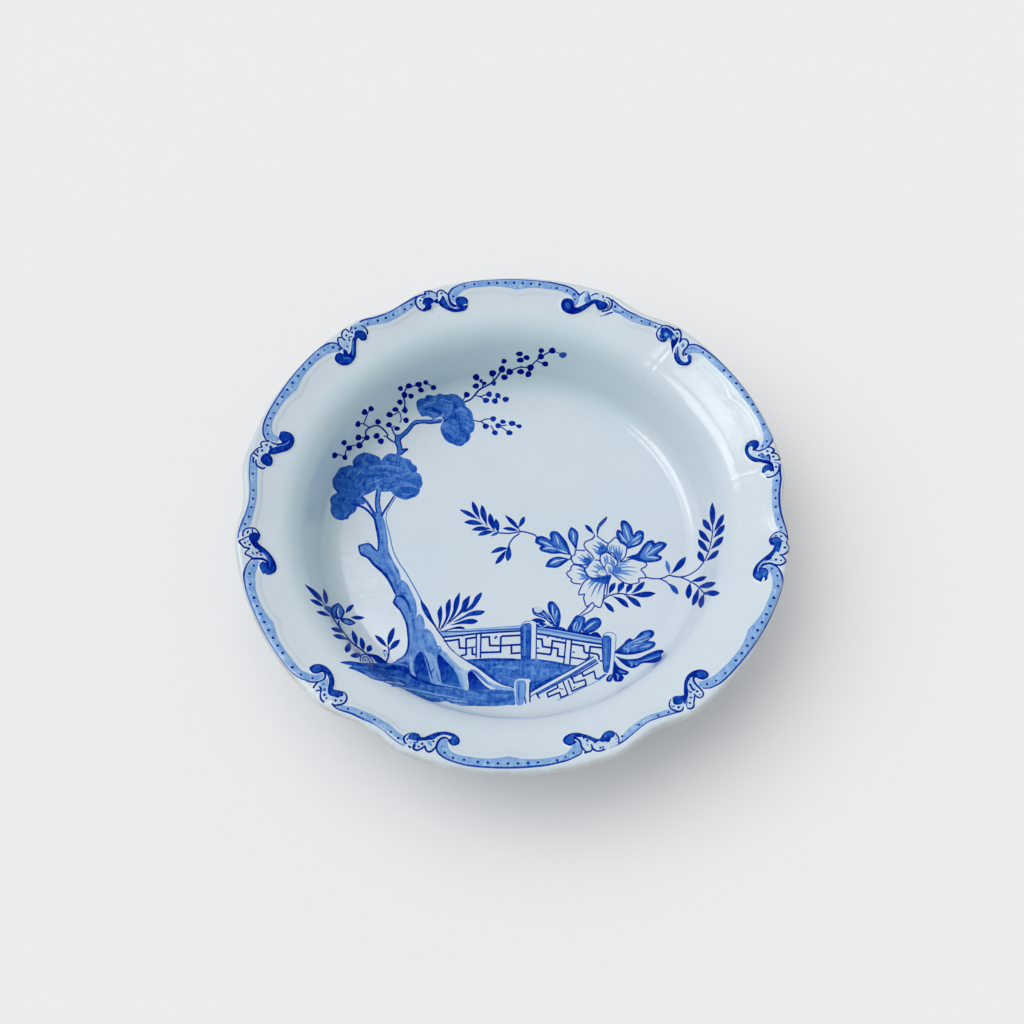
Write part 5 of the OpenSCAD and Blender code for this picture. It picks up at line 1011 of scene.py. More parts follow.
# 6: near right
scroll([([(693.6, 677.6), (695.4, 676.4), (698, 677.6), (699.6, 679.2), (702.6, 680), (705.6, 679.4), (708, 677.8), (709.2, 675.4), (708.4, 672.8), (706, 671),
          (702.8, 669.9), (699.4, 669.6), (695.8, 670.4), (692.2, 672), (689, 674.4), (686.8, 677.4), (685.4, 681), (684.8, 685), (684.6, 689), (684.4, 692.6),
          (684, 695.2), (682.6, 696.4), (680, 696), (677, 695.9), (674, 696.8), (672.4, 698.8), (673, 701), (673.6, 703.6), (675.4, 705.4), (678.6, 705.8),
          (682, 705.2), (683.6, 703.6), (685, 705.2), (686.6, 703.4), (687.6, 700.6), (688.4, 697.6), (688.8, 694), (688.6, 690), (688, 686.4), (688.4, 683),
          (690, 680), (692, 678)], 0.90)],
       [(669.5, 703), (671, 699), (676, 696), (684, 695.6), (686, 690), (686, 682), (690, 676), (695, 674), (700, 679.4), (697, 684), (701, 689), (704, 694),
        (702, 698), (697, 698), (695.4, 700), (694.4, 706), (691, 709), (687, 708.4), (684, 707), (683, 710.4), (678, 712), (672, 709.6)],
       [F([(697, 673), (700, 671.6), (704, 672), (707, 674), (706.6, 677), (703.4, 678.4), (700, 677.6), (698, 675.6)], 0.79, 0.6),
        F([(674.6, 700), (677, 698), (681, 697.6), (684, 698.6), (683, 702.6), (679, 704.6), (675.6, 703.4)], 0.83, 0.5),
        L([(708.8, 674.4), (706, 671.2), (702.6, 670), (699.2, 669.8), (695.7, 670.6), (692.2, 672.2), (689.1, 674.6), (687, 677.6), (685.6, 681.2), (685, 685), (684.9, 689), (684.8, 693)], 1.5, 0.96),
        F([(690, 680), (692.4, 677.6), (693.6, 680.6), (695, 684), (698.4, 687.6), (695, 689.6), (692, 688), (690, 684.6)], 0.2),
        L([(699.8, 679), (698, 677.4), (695.6, 676.8), (694, 678.6), (694.2, 681.4), (696, 684.2), (698.6, 687), (701, 689.4), (702.8, 691.6), (703.8, 694), (703, 696.6), (701, 698)],
          [1.4, 1.6, 1.8, 2, 2, 2, 2, 1.9, 1.6, 1.4, 1.4, 1], 0.96),
        L([(701, 698.4), (699, 698), (697, 697), (695.4, 695.6), (694.4, 694)], [1.2, 1.2, 1.4, 1.6, 1], 0.93),
        L([(690, 684), (691.6, 687), (693.6, 690.4), (696, 690)], [1.6, 2, 2, 1.2], 0.95), L([(688.8, 691), (690.6, 692.8), (692.4, 692.4)], 1.2, 0.78),
        L([(695, 696.4), (694.8, 699.6), (694.2, 703), (694.2, 705.8), (692.4, 708), (689.6, 708.9), (687.2, 708.2)], [1.6, 1.6, 1.4, 1.3, 1.2, 1.2, 1.2], 0.93),
        L([(687.6, 708), (686.8, 705.4), (687.8, 702)], 1, 0.72),
        L([(671.2, 698.8), (669.7, 701.6), (669.5, 705), (671, 708.2), (674, 710.4), (677.6, 711.8), (681, 711.4), (683.4, 709.6), (683.8, 707)], [1.2, 1.3, 1.4, 1.5, 1.6, 1.6, 1.5, 1.3, 0.9], 0.93),
        L([(672.4, 704.6), (672, 701.6), (673, 699.4)], 1.0, 0.05), L([(671.6, 705.6), (673.4, 706.8), (675, 706)], 0.9, 0.85),
        D((697.6, 692, 1.4), (700.2, 695.2, 1.0, 0.62), (690.4, 684.8, 1.4), (691, 692.8, 1.3, 0.84), (691.4, 698.2, 1.2), (690.3, 703.7, 1.3), (679, 707.9, 1.4), (707.4, 684.2, 1.3), (716.6, 680.6, 1.2),
          (725.7, 673, 1.2), (704.8, 681.8, 0.6, 0.4), (668.7, 712.2, 1.2), (658.2, 715.4, 1.2))],
       ([(699.6, 686.6), (702, 688), (705, 688.6), (708, 688.6), (711, 688), (714, 686.8), (718, 684.8), (722, 682), (726, 678.4), (730, 674.4)],
        [(698.6, 681), (701.6, 681.6), (705, 680.8), (708.6, 679.2), (712, 677.4), (716, 674.8), (720, 671.4), (724, 667.4), (728, 663.6), (730, 661.8)]),
       ([(702.6, 688.2), (705, 688.8), (707.6, 688.6), (711, 688.2), (714.4, 686.8), (718.2, 684.8), (722.2, 681.8), (726.2, 678.2), (730, 674.2)], [0.8, 0.9, 1.1, 1.1, 1.1, 1.1, 1.1, 1.1, 1.1], 0.90),
       ([(680, 712.4), (676, 713), (671, 714.4), (666, 716), (660, 717.8), (655, 719.4), (650, 721)], [(672.4, 709.6), (669, 709.8), (664, 711), (658, 712.8), (654, 714), (650, 715)]),
       ([(683.6, 710), (681, 712), (677, 713), (671, 714.5), (666, 716), (660, 717.7), (655, 719.4), (650, 721.2)], 1.1, 0.90))

# 7: near, right of the middle
scroll([([(575.4, 744), (573, 745.6), (570, 746.2), (566.8, 745.2), (564.2, 743.4), (563.1, 741), (564, 738.2), (566.2, 735.8), (569.4, 734.2), (573, 733.2), (577, 733),
          (581, 733.6), (585, 734.6), (589, 736), (592.6, 737.8), (596, 739.2), (599, 739.6), (601, 738.2), (602.6, 735.6), (604.6, 733), (607.4, 731.4),
          (610.8, 730.8), (614, 731.8), (615.2, 734.6), (614, 737.4), (611.6, 738.6), (610.6, 741), (608.4, 743.4), (605.6, 742.6), (602.6, 743.4),
          (599.6, 742.4), (597, 743.4), (595, 745), (593.2, 743), (590, 741), (586.6, 739.4), (583, 738.2), (579.6, 738), (576, 738), (573.6, 739.2),
          (575.2, 741), (576.6, 743)], 0.88)],
       [(575, 739.4), (579.6, 738.6), (586, 738.6), (594, 743), (602, 742.4), (609, 742.6), (613, 738), (615, 732.6), (618.6, 736.6), (619.4, 741.6), (617, 745.4),
        (611, 748), (606, 749.6), (602, 751), (597, 751.6), (593, 749.4), (592, 751), (588, 752.6), (584.6, 753.6), (582.2, 749), (580.6, 743.6), (577.6, 739.8)],
       [F([(565.6, 741.4), (567.4, 738.2), (570.6, 736), (574, 735.4), (573, 738.6), (574.4, 742), (572, 744.4), (568.6, 744)], 0.77, 0.6),
        F([(604.4, 737.6), (606.6, 734.4), (610, 732.4), (613, 733.4), (612.6, 736), (609, 738), (607, 741), (604, 741)], 0.80, 0.5), D((605.6, 736.6, 0.9, 0.5)),
        L([(563.4, 741), (564.3, 738.2), (566.4, 735.9), (569.6, 734.3), (573.2, 733.4), (577, 733.2), (581, 733.8), (585, 734.9), (589, 736.3), (592.6, 738.1), (596, 739.6), (599, 740)], 1.2, 0.95),
        L([(601.2, 738.4), (602.8, 735.6), (604.8, 733.1), (607.6, 731.6), (610.8, 731), (614, 732)], 1.2, 0.93),
        L([(573.4, 739.8), (576, 738.8), (578.6, 740.2), (580.4, 742.6), (581.2, 745.6), (582.2, 748.4), (584.4, 750.6), (586, 752.8)], [1.2, 1.6, 1.9, 1.9, 1.8, 1.8, 1.6, 1.3]),
        L([(584.6, 753.8), (586.6, 752.8), (589.6, 752.2), (592, 750.6), (592.4, 747.8), (591.4, 745.2)], [1.5, 1.6, 1.3, 1.3, 1.5, 1.6], 0.94),
        L([(591.6, 747.4), (593.8, 750), (596.6, 751.4), (599.6, 751.6), (602.8, 750.8), (605.4, 749.6)], [1.8, 1.8, 1.4, 1.3, 1.3, 1.3], 0.92),
        L([(603.6, 746.8), (603.1, 748.2), (602.6, 749.6)], 1.4, 0.86), L([(614.6, 732.4), (617, 734.6), (618.8, 737.6), (619.2, 740.6), (618.4, 743.6)], [1.2, 1.5, 1.5, 1.3, 1.2], 0.93),
        D((584, 738.5, 1.2, 0.93), (587.4, 741.3, 1.4), (577.4, 736.6, 1.0), (587.6, 745.6, 1.2, 0.5), (600.6, 748.4, 1.2), (616.2, 739, 1.0, 0.5), (573.6, 753.4, 1.2), (565.7, 757.5, 1.3, 0.84),
          (557.2, 760.7, 1.4), (622.3, 736, 1.3))],
       ([(579.6, 742.6), (580.8, 746), (582, 749.4), (582.2, 752), (580.6, 754.4), (577.6, 756.2), (574, 757.8), (570, 759.6), (566, 761.2), (561, 762.6), (556, 763.8), (548, 765)],
        [(577, 740.8), (575.4, 743.4), (573, 746.2), (571.2, 749.2), (568.8, 752), (565, 754.4), (560, 756.4), (555, 757.6), (548, 758.8)]),
       ([(581.8, 750.4), (581.8, 753), (580, 755), (576, 757.2), (571, 759.6), (566, 761.6), (562, 762.4), (556, 763.9), (548, 765.4)], [1, 1.2, 1.3, 1.3, 1.3, 1.4, 1.8, 1.3, 1.4], 0.90),
       ([(619, 744), (622, 742.4), (625, 740.4), (628, 738)], [(620.4, 741.6), (622.4, 737.4), (625, 732.6), (628, 729.4)]),
       ([(604, 750.2), (607, 748.8), (610.6, 748), (614, 746.8), (617, 745.4), (620, 743.8), (624, 741.4), (628, 738.4)], [1.6, 1.4, 1.4, 1.3, 1.5, 1.6, 1.3, 1.2], 0.88))

# 8: near, left of the middle
scroll([([(408, 739.6), (408.4, 736.4), (410, 734), (412.8, 733), (416, 733.2), (418.8, 734.8), (420.2, 737.2), (422, 738.4), (425, 737.6), (428.6, 735.8), (432.4, 734),
          (436.6, 732.7), (441, 732.1), (445.6, 732), (450, 732.9), (454.2, 734.4), (457.4, 736.8), (459.2, 739.8), (459, 742.8), (456.8, 745.2), (453.6, 746),
          (450.6, 745.2), (448.6, 743.2), (447.4, 740.8), (449.6, 739.6), (451.4, 737.6), (449, 736.2), (446, 735.4), (442.6, 735.4), (439, 736.6),
          (436.2, 738.4), (433.6, 740.6), (431.2, 741.2), (428.6, 741.2), (426, 742), (422, 742.2), (418, 742.6), (414.6, 742.2), (411.4, 741.4)], 0.88)],
       [(404.2, 738), (407, 734.4), (412, 733), (420, 737.6), (428, 741.4), (434, 740.6), (440, 736.4), (446, 736), (449, 740), (444.6, 738.2), (440, 740),
        (437, 744.6), (435.6, 748), (432, 751.6), (428.6, 752.6), (425.6, 750.4), (424.6, 747.4), (420, 750), (416, 750.6), (412.4, 748.4), (408, 747), (405, 743.4),
        (403.6, 740.6)],
       [F([(450.6, 742.4), (452.6, 739.4), (454.4, 737.2), (457, 739.4), (457.4, 742.2), (455, 744.2), (452.4, 744.4)], 0.77, 0.5),
        F([(410.4, 738), (412, 735.4), (415.4, 735), (418, 737), (418, 739.6), (414, 740.4), (411.4, 739.8)], 0.80, 0.5),
        F([(428, 742), (431, 742.4), (431.4, 745), (429, 746), (427, 744.4)], 0.45),
        L([(421.4, 738.6), (425, 738), (428.6, 736.2), (432.4, 734.4), (436.6, 733), (441, 732.4), (445.6, 732.3), (450, 733.2), (454.2, 734.7), (457.3, 737.1), (458.9, 739.9), (458.6, 742.8),
           (456.6, 744.9)], 1.2, 0.95),
        L([(448.8, 740.4), (446.6, 738.4), (444.6, 738), (441.6, 738.6), (439.2, 740.6), (437.4, 743.4), (436.4, 746.4), (436.4, 749.6), (437.8, 752.8), (440.2, 755.4), (443.4, 757.6)],
          [1.2, 1.6, 1.8, 1.7, 1.8, 2, 2.2, 1.9, 1.7, 1.6, 1.4], 0.97),
        L([(436, 747.4), (434, 749.4), (432, 751.4), (429.4, 752.5), (426.8, 751.8), (425.2, 749.4), (424.6, 746.6)], [1.4, 1.5, 1.6, 1.6, 1.6, 1.8, 2.2]),
        L([(424.6, 746.6), (422.4, 748.6), (419.6, 750), (417, 750.8), (414, 749.8), (412, 747.8)], [2, 1.6, 1.5, 1.6, 1.6, 1.6], 0.94),
        F([(412, 748.4), (412.6, 745.6), (414.6, 744.2), (415.6, 746), (414.6, 748.8)], 0.89), L([(413, 743.4), (416, 743.6), (418, 742.6)], 1.2, 0.82),
        L([(409.4, 733.8), (406.4, 735), (404.4, 737.2), (403.6, 740), (404.6, 742.8), (406.6, 744.6)], [1.2, 1.6, 1.9, 1.9, 1.5, 0.9], 0.94),
        F([(407.4, 746.6), (409.4, 746.4), (411.4, 748), (409.6, 748.8)], 0.93), L([(409.6, 743.4), (410.6, 743.4), (411.6, 743.6)], 1, 0.72),
        L([(387, 731), (392, 736), (397, 740), (402, 743)], [1, 2, 2.4, 1.8], 0.06),
        D((430.8, 746.2, 1.2, 0.62), (433.2, 742.4, 1.2), (418.4, 747.5, 1.2), (421.9, 744.9, 1.4), (407.2, 740.2, 1.1), (441.7, 746.8, 1.2, 0.66), (444.5, 753, 1.3), (453, 758.3, 1.3),
          (463.9, 760.2, 1.4), (390.6, 732.2, 1.3), (398, 738.3, 1.4))],
       ([(447.6, 741.4), (445, 739.4), (441.8, 739.8), (439.2, 742.2), (437.8, 745.4), (437.4, 749), (438.6, 752.4), (441, 755.2), (444.4, 757.8), (449, 760.2), (454, 762), (460, 763.8), (468, 765.4)],
        [(448, 742.6), (447.4, 745), (447.8, 748), (449.4, 750.8), (452, 753), (456, 754.8), (461, 756.2), (468, 757.4)]),
       ([(440.4, 755.6), (443.6, 758), (447, 759.8), (451, 761.3), (456, 762.8), (462, 764.4), (468, 765.6)], [1.8, 1.6, 1.3, 1.2, 1.1, 1.1, 1.1], 0.87),
       ([(406.4, 746.8), (402, 744.6), (398, 742.2), (394, 739), (390, 735.2), (384, 729.6)], [(405, 736.4), (401.6, 735.4), (398, 733.2), (394, 729.6), (390, 725.6), (384, 722)]),
       ([(404, 746.6), (400, 744.4), (396, 741.8), (391.6, 738.4), (388, 735.2), (384, 731.4)], 0.8, 0.72))

# 9: near left
scroll([([(309, 669), (310.4, 666.6), (313.4, 664.8), (317, 664), (320.8, 664.4), (324.6, 666), (328, 668.6), (330.6, 671.8), (332.4, 675.4), (333.6, 679.2), (333.7, 683),
          (333, 686.6), (333, 689.6), (335.4, 690.4), (338.4, 690.4), (341.4, 691.4), (343, 693.4), (342.6, 696.2), (340, 697.2), (337.6, 698.6), (335, 698),
          (332, 697.4), (329, 696.4), (327.4, 694.2), (327, 691), (327.6, 687.6), (328.4, 684), (328.4, 680.4), (327.4, 676.8), (325.6, 673.8), (323, 671.6),
          (320.4, 672), (318.4, 673.6), (315.6, 674.2), (312.4, 673.4), (310.2, 671.6)], 0.89)],
       [(318, 673.4), (322, 671.6), (325.4, 674), (328.2, 678), (328.4, 684), (327, 691), (329, 696.4), (336, 698.6), (342.6, 696), (343, 691.8), (346, 695),
        (346.2, 700), (343, 703.6), (337, 705.8), (332, 704), (327, 700.4), (324, 702.2), (320.4, 698), (319.6, 693.4), (315.6, 692), (313, 689), (315.4, 684.4),
        (320, 681.8), (324, 678.4), (324.4, 674.4), (321.4, 672)],
       [F([(311.4, 669.6), (314, 666.8), (318, 666.2), (320.6, 668.6), (319, 671.6), (315.4, 672.8), (312.6, 672)], 0.79, 0.5),
        F([(330.4, 693.6), (334, 692.4), (338.4, 692.6), (341, 694.6), (338.6, 696.4), (334.6, 696.4), (331.4, 695.6)], 0.81, 0.5),
        F([(320, 683), (324, 680.4), (327.4, 680), (327.8, 685), (326.6, 690), (324, 693), (321.6, 690), (319.6, 686)], 0.30),
        L([(309.2, 668.8), (310.6, 666.7), (313.6, 665), (317, 664.3), (320.8, 664.7), (324.4, 666.3), (327.7, 668.9), (330.3, 672), (332.1, 675.6), (333.2, 679.3), (333.4, 683), (332.7, 686.8)],
          1.3, 0.96),
        L([(342, 691.2), (344.8, 693), (346.4, 696), (346.3, 699.4), (344.6, 702.4), (341.4, 704.6), (337.6, 705.6), (333.8, 705.6), (331.2, 703.8)], [1.2, 1.4, 1.7, 1.7, 1.6, 1.5, 1.4, 1.4, 1.2]),
        L([(333, 698), (333, 699.4), (333, 701)], 0.7, 0.5),
        L([(318.6, 672.6), (321.4, 671.4), (324, 672.6), (325, 675.6), (324.2, 678.6), (321.8, 680.8), (318.4, 682), (314.6, 682.4), (310, 682.2), (306, 681)],
          [1.4, 1.6, 1.9, 2.1, 1.9, 1.7, 1.6, 1.6, 1.4, 1.2]),
        L([(318.4, 682), (316.2, 683.8), (314, 686.4), (312.8, 688.8)], [1.4, 1.7, 1.8, 1.6], 0.94), F([(314.6, 688.6), (317.4, 687.4), (319.6, 689), (319, 691.4), (316, 691)], 0.0, 0.0),
        L([(315.2, 692), (317.4, 691), (320, 691.4)], [1, 1.4, 1.2], 0.9), L([(318.4, 687), (320.2, 689), (321.2, 692.4)], [1.2, 2, 1.6], 0.95),
        L([(320.6, 691.6), (319.8, 694.6), (320.4, 698), (322.4, 700.8), (324.4, 702.2)], [1.4, 1.3, 1.4, 1.4, 1.1], 0.93),
        D((335.2, 701.3, 1.4), (340.7, 701, 1.3), (324, 695.6, 1.5), (326, 698.9, 1.1), (323, 685, 1.2, 0.72), (324, 690.4, 1.5, 0.78), (292, 667.3, 1.4), (300.4, 674.7, 1.2), (312.1, 678.3, 1.3),
          (347.6, 709, 1.2), (361.2, 713.5, 1.2))],
       ([(323.6, 675.6), (322.8, 678.4), (320.4, 680.2), (316.6, 681.4), (312, 681.6), (308, 681.2), (304.6, 680), (301, 678), (297, 675), (293, 671.4), (288, 666.6)],
        [(322.6, 673.4), (320.4, 674), (317.4, 675.4), (313.6, 675.6), (310, 674.4), (306, 673), (302, 671.4), (299, 669), (296, 665.6), (293, 661.4), (290, 657.6), (288, 655.4)]),
       ([(306.4, 681), (303, 680), (299, 677.8), (295, 674.6), (291, 671), (288, 668)], [1.2, 1, 0.9, 0.9, 0.9, 0.9], 0.74),
       ([(333.6, 706.6), (337, 708.6), (342, 710.6), (347, 712.2), (352, 714.2), (358, 716.8), (364, 719.6)], [(341, 705.4), (345, 706.4), (350, 707), (355, 708.4), (360, 710.4), (364, 712)]),
       ([(331.6, 704.6), (334.6, 707.4), (338.6, 709.6), (344, 711.6), (350, 713.4), (356, 716), (364, 719.8)], [1, 0.9, 1, 1.2, 1.4, 1.4, 1.3], 0.86))

# 10: left, in front
scroll([([(248, 538.6), (248.2, 535.6), (250, 533.4), (252.4, 532.4), (255.4, 532), (258, 533.2), (259.7, 535.6), (259.4, 538.2), (257.6, 540.4), (256.2, 541.2), (257.2, 543),
          (259.6, 545), (263, 547.4), (266.6, 550.4), (269.8, 553.8), (272.6, 557.8), (274.8, 562), (276, 566.4), (275.6, 569.8), (273.4, 572.6), (270.2, 574.2),
          (266.8, 574.4), (264.4, 573.2), (262.8, 573.6), (261, 571), (259.4, 568.4), (258.8, 565.4), (260, 562.8), (262.2, 561.4), (264.8, 562), (266.4, 563),
          (268, 563.4), (268.6, 561), (267.8, 558.6), (265.8, 556), (263, 553.6), (260, 551.6), (256.4, 549.4), (253, 547), (250.4, 543.6), (248.8, 541)], 0.92)],
       [(242.2, 534.4), (243.6, 530.6), (247, 528), (252, 527.4), (256.4, 529), (259.6, 534), (256, 532), (250, 533.4), (248, 537), (248.8, 541.4), (252, 546.6),
        (257, 550), (263, 554), (267, 558.6), (267.8, 562), (264, 560), (258, 558.4), (252, 558.6), (247, 555.4), (244.6, 553.4), (247, 550), (249.2, 548.2),
        (244, 547), (240, 543), (239.2, 541), (243, 538.8), (247, 537.2), (243.4, 537)],
       [F([(260.4, 566), (262, 563.6), (265, 564), (266.6, 567.4), (268, 571), (271, 571.6), (272.6, 569), (273, 565), (274.6, 567.6), (273, 571.4), (269, 573.2), (265.4, 572), (262.4, 569.6)], 0.86),
        L([(262, 551.6), (265.4, 554.6), (268, 558.6), (269.4, 563), (269.2, 567)], [0.6, 1.6, 2, 1.8, 0.6], 0.78),
        L([(256.4, 541), (257.4, 543.2), (259.8, 545.3), (263, 547.7), (266.5, 550.7), (269.6, 554.1), (272.3, 558), (274.4, 562.2), (275.5, 566.4), (275.1, 569.6), (273.1, 572.2)], 1.5, 0.98),
        L([(251.6, 558.8), (255, 558.6), (259, 558.4), (262.6, 558.8), (265.6, 560.2), (267.4, 562.6), (266.8, 565.6)], [1.6, 1.9, 2, 2.2, 2.6, 2.6, 1.4], 0.97),
        F([(252.8, 529.4), (255, 529.4), (256.8, 531.4), (254, 531.8)], 0.0, 0.0),
        L([(243, 536.6), (242.2, 534), (243.4, 530.8), (246, 528.6), (249.6, 527.7), (253, 527.6), (255.6, 528.6), (257.6, 531), (259, 533.4), (259.8, 535.4)], 1.55), L([(251.8, 528.6), (251.9, 530.6), (251.9, 532.6)], 1.3, 0.93),
        F([(246.4, 531), (248.2, 530.8), (248, 533), (247, 534.2), (246, 532.8)], 0.96),
        L([(248, 536.6), (245.2, 537.8), (242, 539.2), (239, 540.8), (239.4, 542.4), (241.2, 545), (243.4, 547), (246.4, 548), (249.4, 548.3)], [1, 1.3, 1.5, 1.4, 1.6, 1.4, 1.4, 1.6, 1.5]),
        L([(249.4, 548.4), (247.4, 550), (245.4, 551.8), (244.6, 553.6), (246.8, 555.2), (249.6, 556.6), (252.4, 558.6)], [1.6, 1.4, 1.4, 1.6, 1.4, 1.4, 1.4]),
        F([(251.4, 551.8), (252.6, 552), (253.4, 554.4), (252.6, 555.2), (251.6, 553.8)], 0.93), L([(258, 551), (259.6, 551.8), (261, 552.6)], 1.6, 0.9),
        D((244.4, 543, 1.3), (247, 541.2, 1.1, 0.62), (249.2, 545, 1.4), (256.6, 553, 1.4), (260.6, 554.6, 1.3, 0.92), (244.7, 523.8, 1.3), (248.6, 516.4, 1.2), (253.4, 565.4, 1.2), (249, 573.4, 1.3),
          (249.8, 584.3, 1.4), (242, 580.6, 0.7, 0.3))],
       ([(257, 560), (253.4, 560.4), (250.4, 562.4), (247.8, 565.4), (246, 569), (244.9, 573), (244.9, 577.4), (245.8, 582), (247, 590)],
        [(259.4, 562.4), (257.6, 565.6), (256.6, 569), (255.2, 572.4), (254.6, 576.4), (254.6, 581), (255, 590)]),
       ([(251.6, 558.8), (249, 561.6), (246.6, 565.2), (244.8, 569.2), (243.9, 573.4), (244, 578), (245, 583), (246.2, 590)], [1.4, 1.3, 1.4, 1.5, 1.6, 1.5, 1.4, 1.3], 0.93),
       ([(239.6, 532.6), (240, 529), (241, 525), (242.6, 520.6), (244.6, 516)], [(249, 528), (250, 524.6), (251, 521), (252.2, 516)]),
       ([(238.4, 538.4), (238.3, 535.6), (239, 531.8), (239.8, 528.6), (240.9, 525.2), (242.4, 521), (244.6, 516)], 1.1, 0.80))

# 11: left, behind
scroll([([(278.2, 437.6), (279, 433.8), (280.4, 431), (284, 430.6), (287.6, 431.2), (290.8, 432.9), (293.2, 435.8), (294.1, 439.2), (293.6, 443), (291.9, 446.4), (289.2, 449),
          (285.6, 450.8), (281.4, 452), (277.4, 453.2), (273.6, 454.1), (270.6, 454.2), (268.6, 454.6), (267.4, 453), (268.4, 450), (271, 448.6), (274.4, 447),
          (277.6, 446.4), (275.4, 444.4), (278.4, 443.8), (282, 443.6), (281, 441.4), (279.4, 439.8)], 0.93),
        ([(262, 455.2), (265, 453.4), (268.2, 453.8), (271, 456), (272.5, 459.2), (272.2, 462.6), (270.4, 465.4), (267.6, 466), (264.8, 465), (261.8, 463.4), (260, 461), (260.2, 458)], 0.94)],
       [(260.2, 444), (261.4, 441.4), (265, 441.2), (269, 441.4), (272, 443.4), (276, 445.6), (274.6, 449), (270, 451), (268, 454), (262, 455.6), (260, 459.4),
        (261, 463), (265, 465.6), (265.4, 467.4), (262, 468.2), (258, 466.8), (255.6, 463.4), (255, 459.4), (257.6, 457), (254, 454), (253, 452.6), (255.6, 449.4),
        (259, 447.4), (261.6, 446.8)],
       [F([(281, 433.6), (284.6, 432.6), (288.6, 434), (290.8, 437.6), (288, 439.6), (284, 440.6), (281, 438.4)], 0.87), F([(263.4, 458), (266.6, 456.4), (269.4, 458.6), (269.4, 462), (266.4, 463.6), (263.4, 461.6)], 0.87),
        L([(289, 440.4), (287, 442.8), (283.6, 444.4), (279.6, 445.4), (276, 446.4)], [0.8, 1.6, 1.4, 1.5, 1], 0.60), L([(277, 449), (282, 447.6), (287, 445.4)], 2.4, 0.87),
        L([(270, 441.4), (273, 443), (276.6, 443.9), (280.6, 443.6), (284.4, 442.2), (287, 440.2)], [1.2, 1.6, 1.9, 2, 1.8, 1], 0.97),
        L([(268.6, 441.4), (265.4, 441), (262, 441.5), (260.3, 443.4), (260.6, 445.6), (262, 447.4)], [1.4, 1.4, 1.4, 1.4, 1.3, 1]), F([(268.6, 446), (271, 445.8), (272.2, 447.6), (271, 450), (269, 449)], 0.93),
        L([(262.2, 446.9), (258.6, 447.6), (255.4, 449.6), (253, 452.4)], 1.4), F([(256, 450.4), (258, 450), (257.8, 452.6), (256.4, 453.4)], 0.93),
        L([(252.8, 452.8), (255.4, 454.6), (258, 456.8)], [1.4, 1.6, 1.4]), L([(255.4, 459.4), (255.4, 462.6), (256.6, 465.4), (259.4, 467.2), (262.6, 468), (265, 467)], [1.2, 1.5, 1.7, 1.6, 1.4, 1.2], 0.94),
        L([(253.6, 456.6), (252.8, 460), (253.4, 463)], [1.6, 2, 1], 0.88),
        D((266, 445, 1.4), (261.6, 450.6, 1.4), (259, 463.4, 0.9, 0.4), (270, 417.9, 1.2), (267, 425, 1.3), (267.4, 433.9, 1.2), (273.6, 412.4, 1.0, 0.92), (252.3, 473.5, 1.3))],
       ([(279, 439.8), (277, 442), (273.4, 441.6), (269.6, 440.4), (266.6, 438.6), (264.4, 436), (263.4, 433), (263.2, 429), (264, 424.6), (265.6, 420), (267.4, 416), (269, 412)],
        [(279.2, 438.4), (277.2, 436.6), (274.4, 435), (272.4, 432.6), (271.4, 429), (271.4, 425), (272.2, 421), (274, 416.8), (276.8, 412)]),
       ([(269.6, 441.4), (266.4, 440.2), (264.2, 437), (262.9, 433.4), (262.6, 429.4), (263.2, 425), (264.8, 420.4), (266.8, 416), (268.8, 412)], [1.2, 1.3, 1.5, 1.4, 1.4, 1.2, 1.1, 1.1, 1.1], 0.90),
       ([(252, 453.4), (250.4, 456.4), (249.6, 460), (249.2, 464), (249, 469), (248.8, 475), (249.4, 482)], [(255.4, 464.4), (256.6, 468), (256.8, 472), (256.4, 477), (256.4, 482)]),
       ([(253, 452.6), (250.8, 455.8), (249.8, 460), (249.3, 465), (249, 470), (248.9, 476), (249.4, 482)], [1.3, 1.2, 1, 0.9, 0.9, 0.9, 0.9], 0.78))

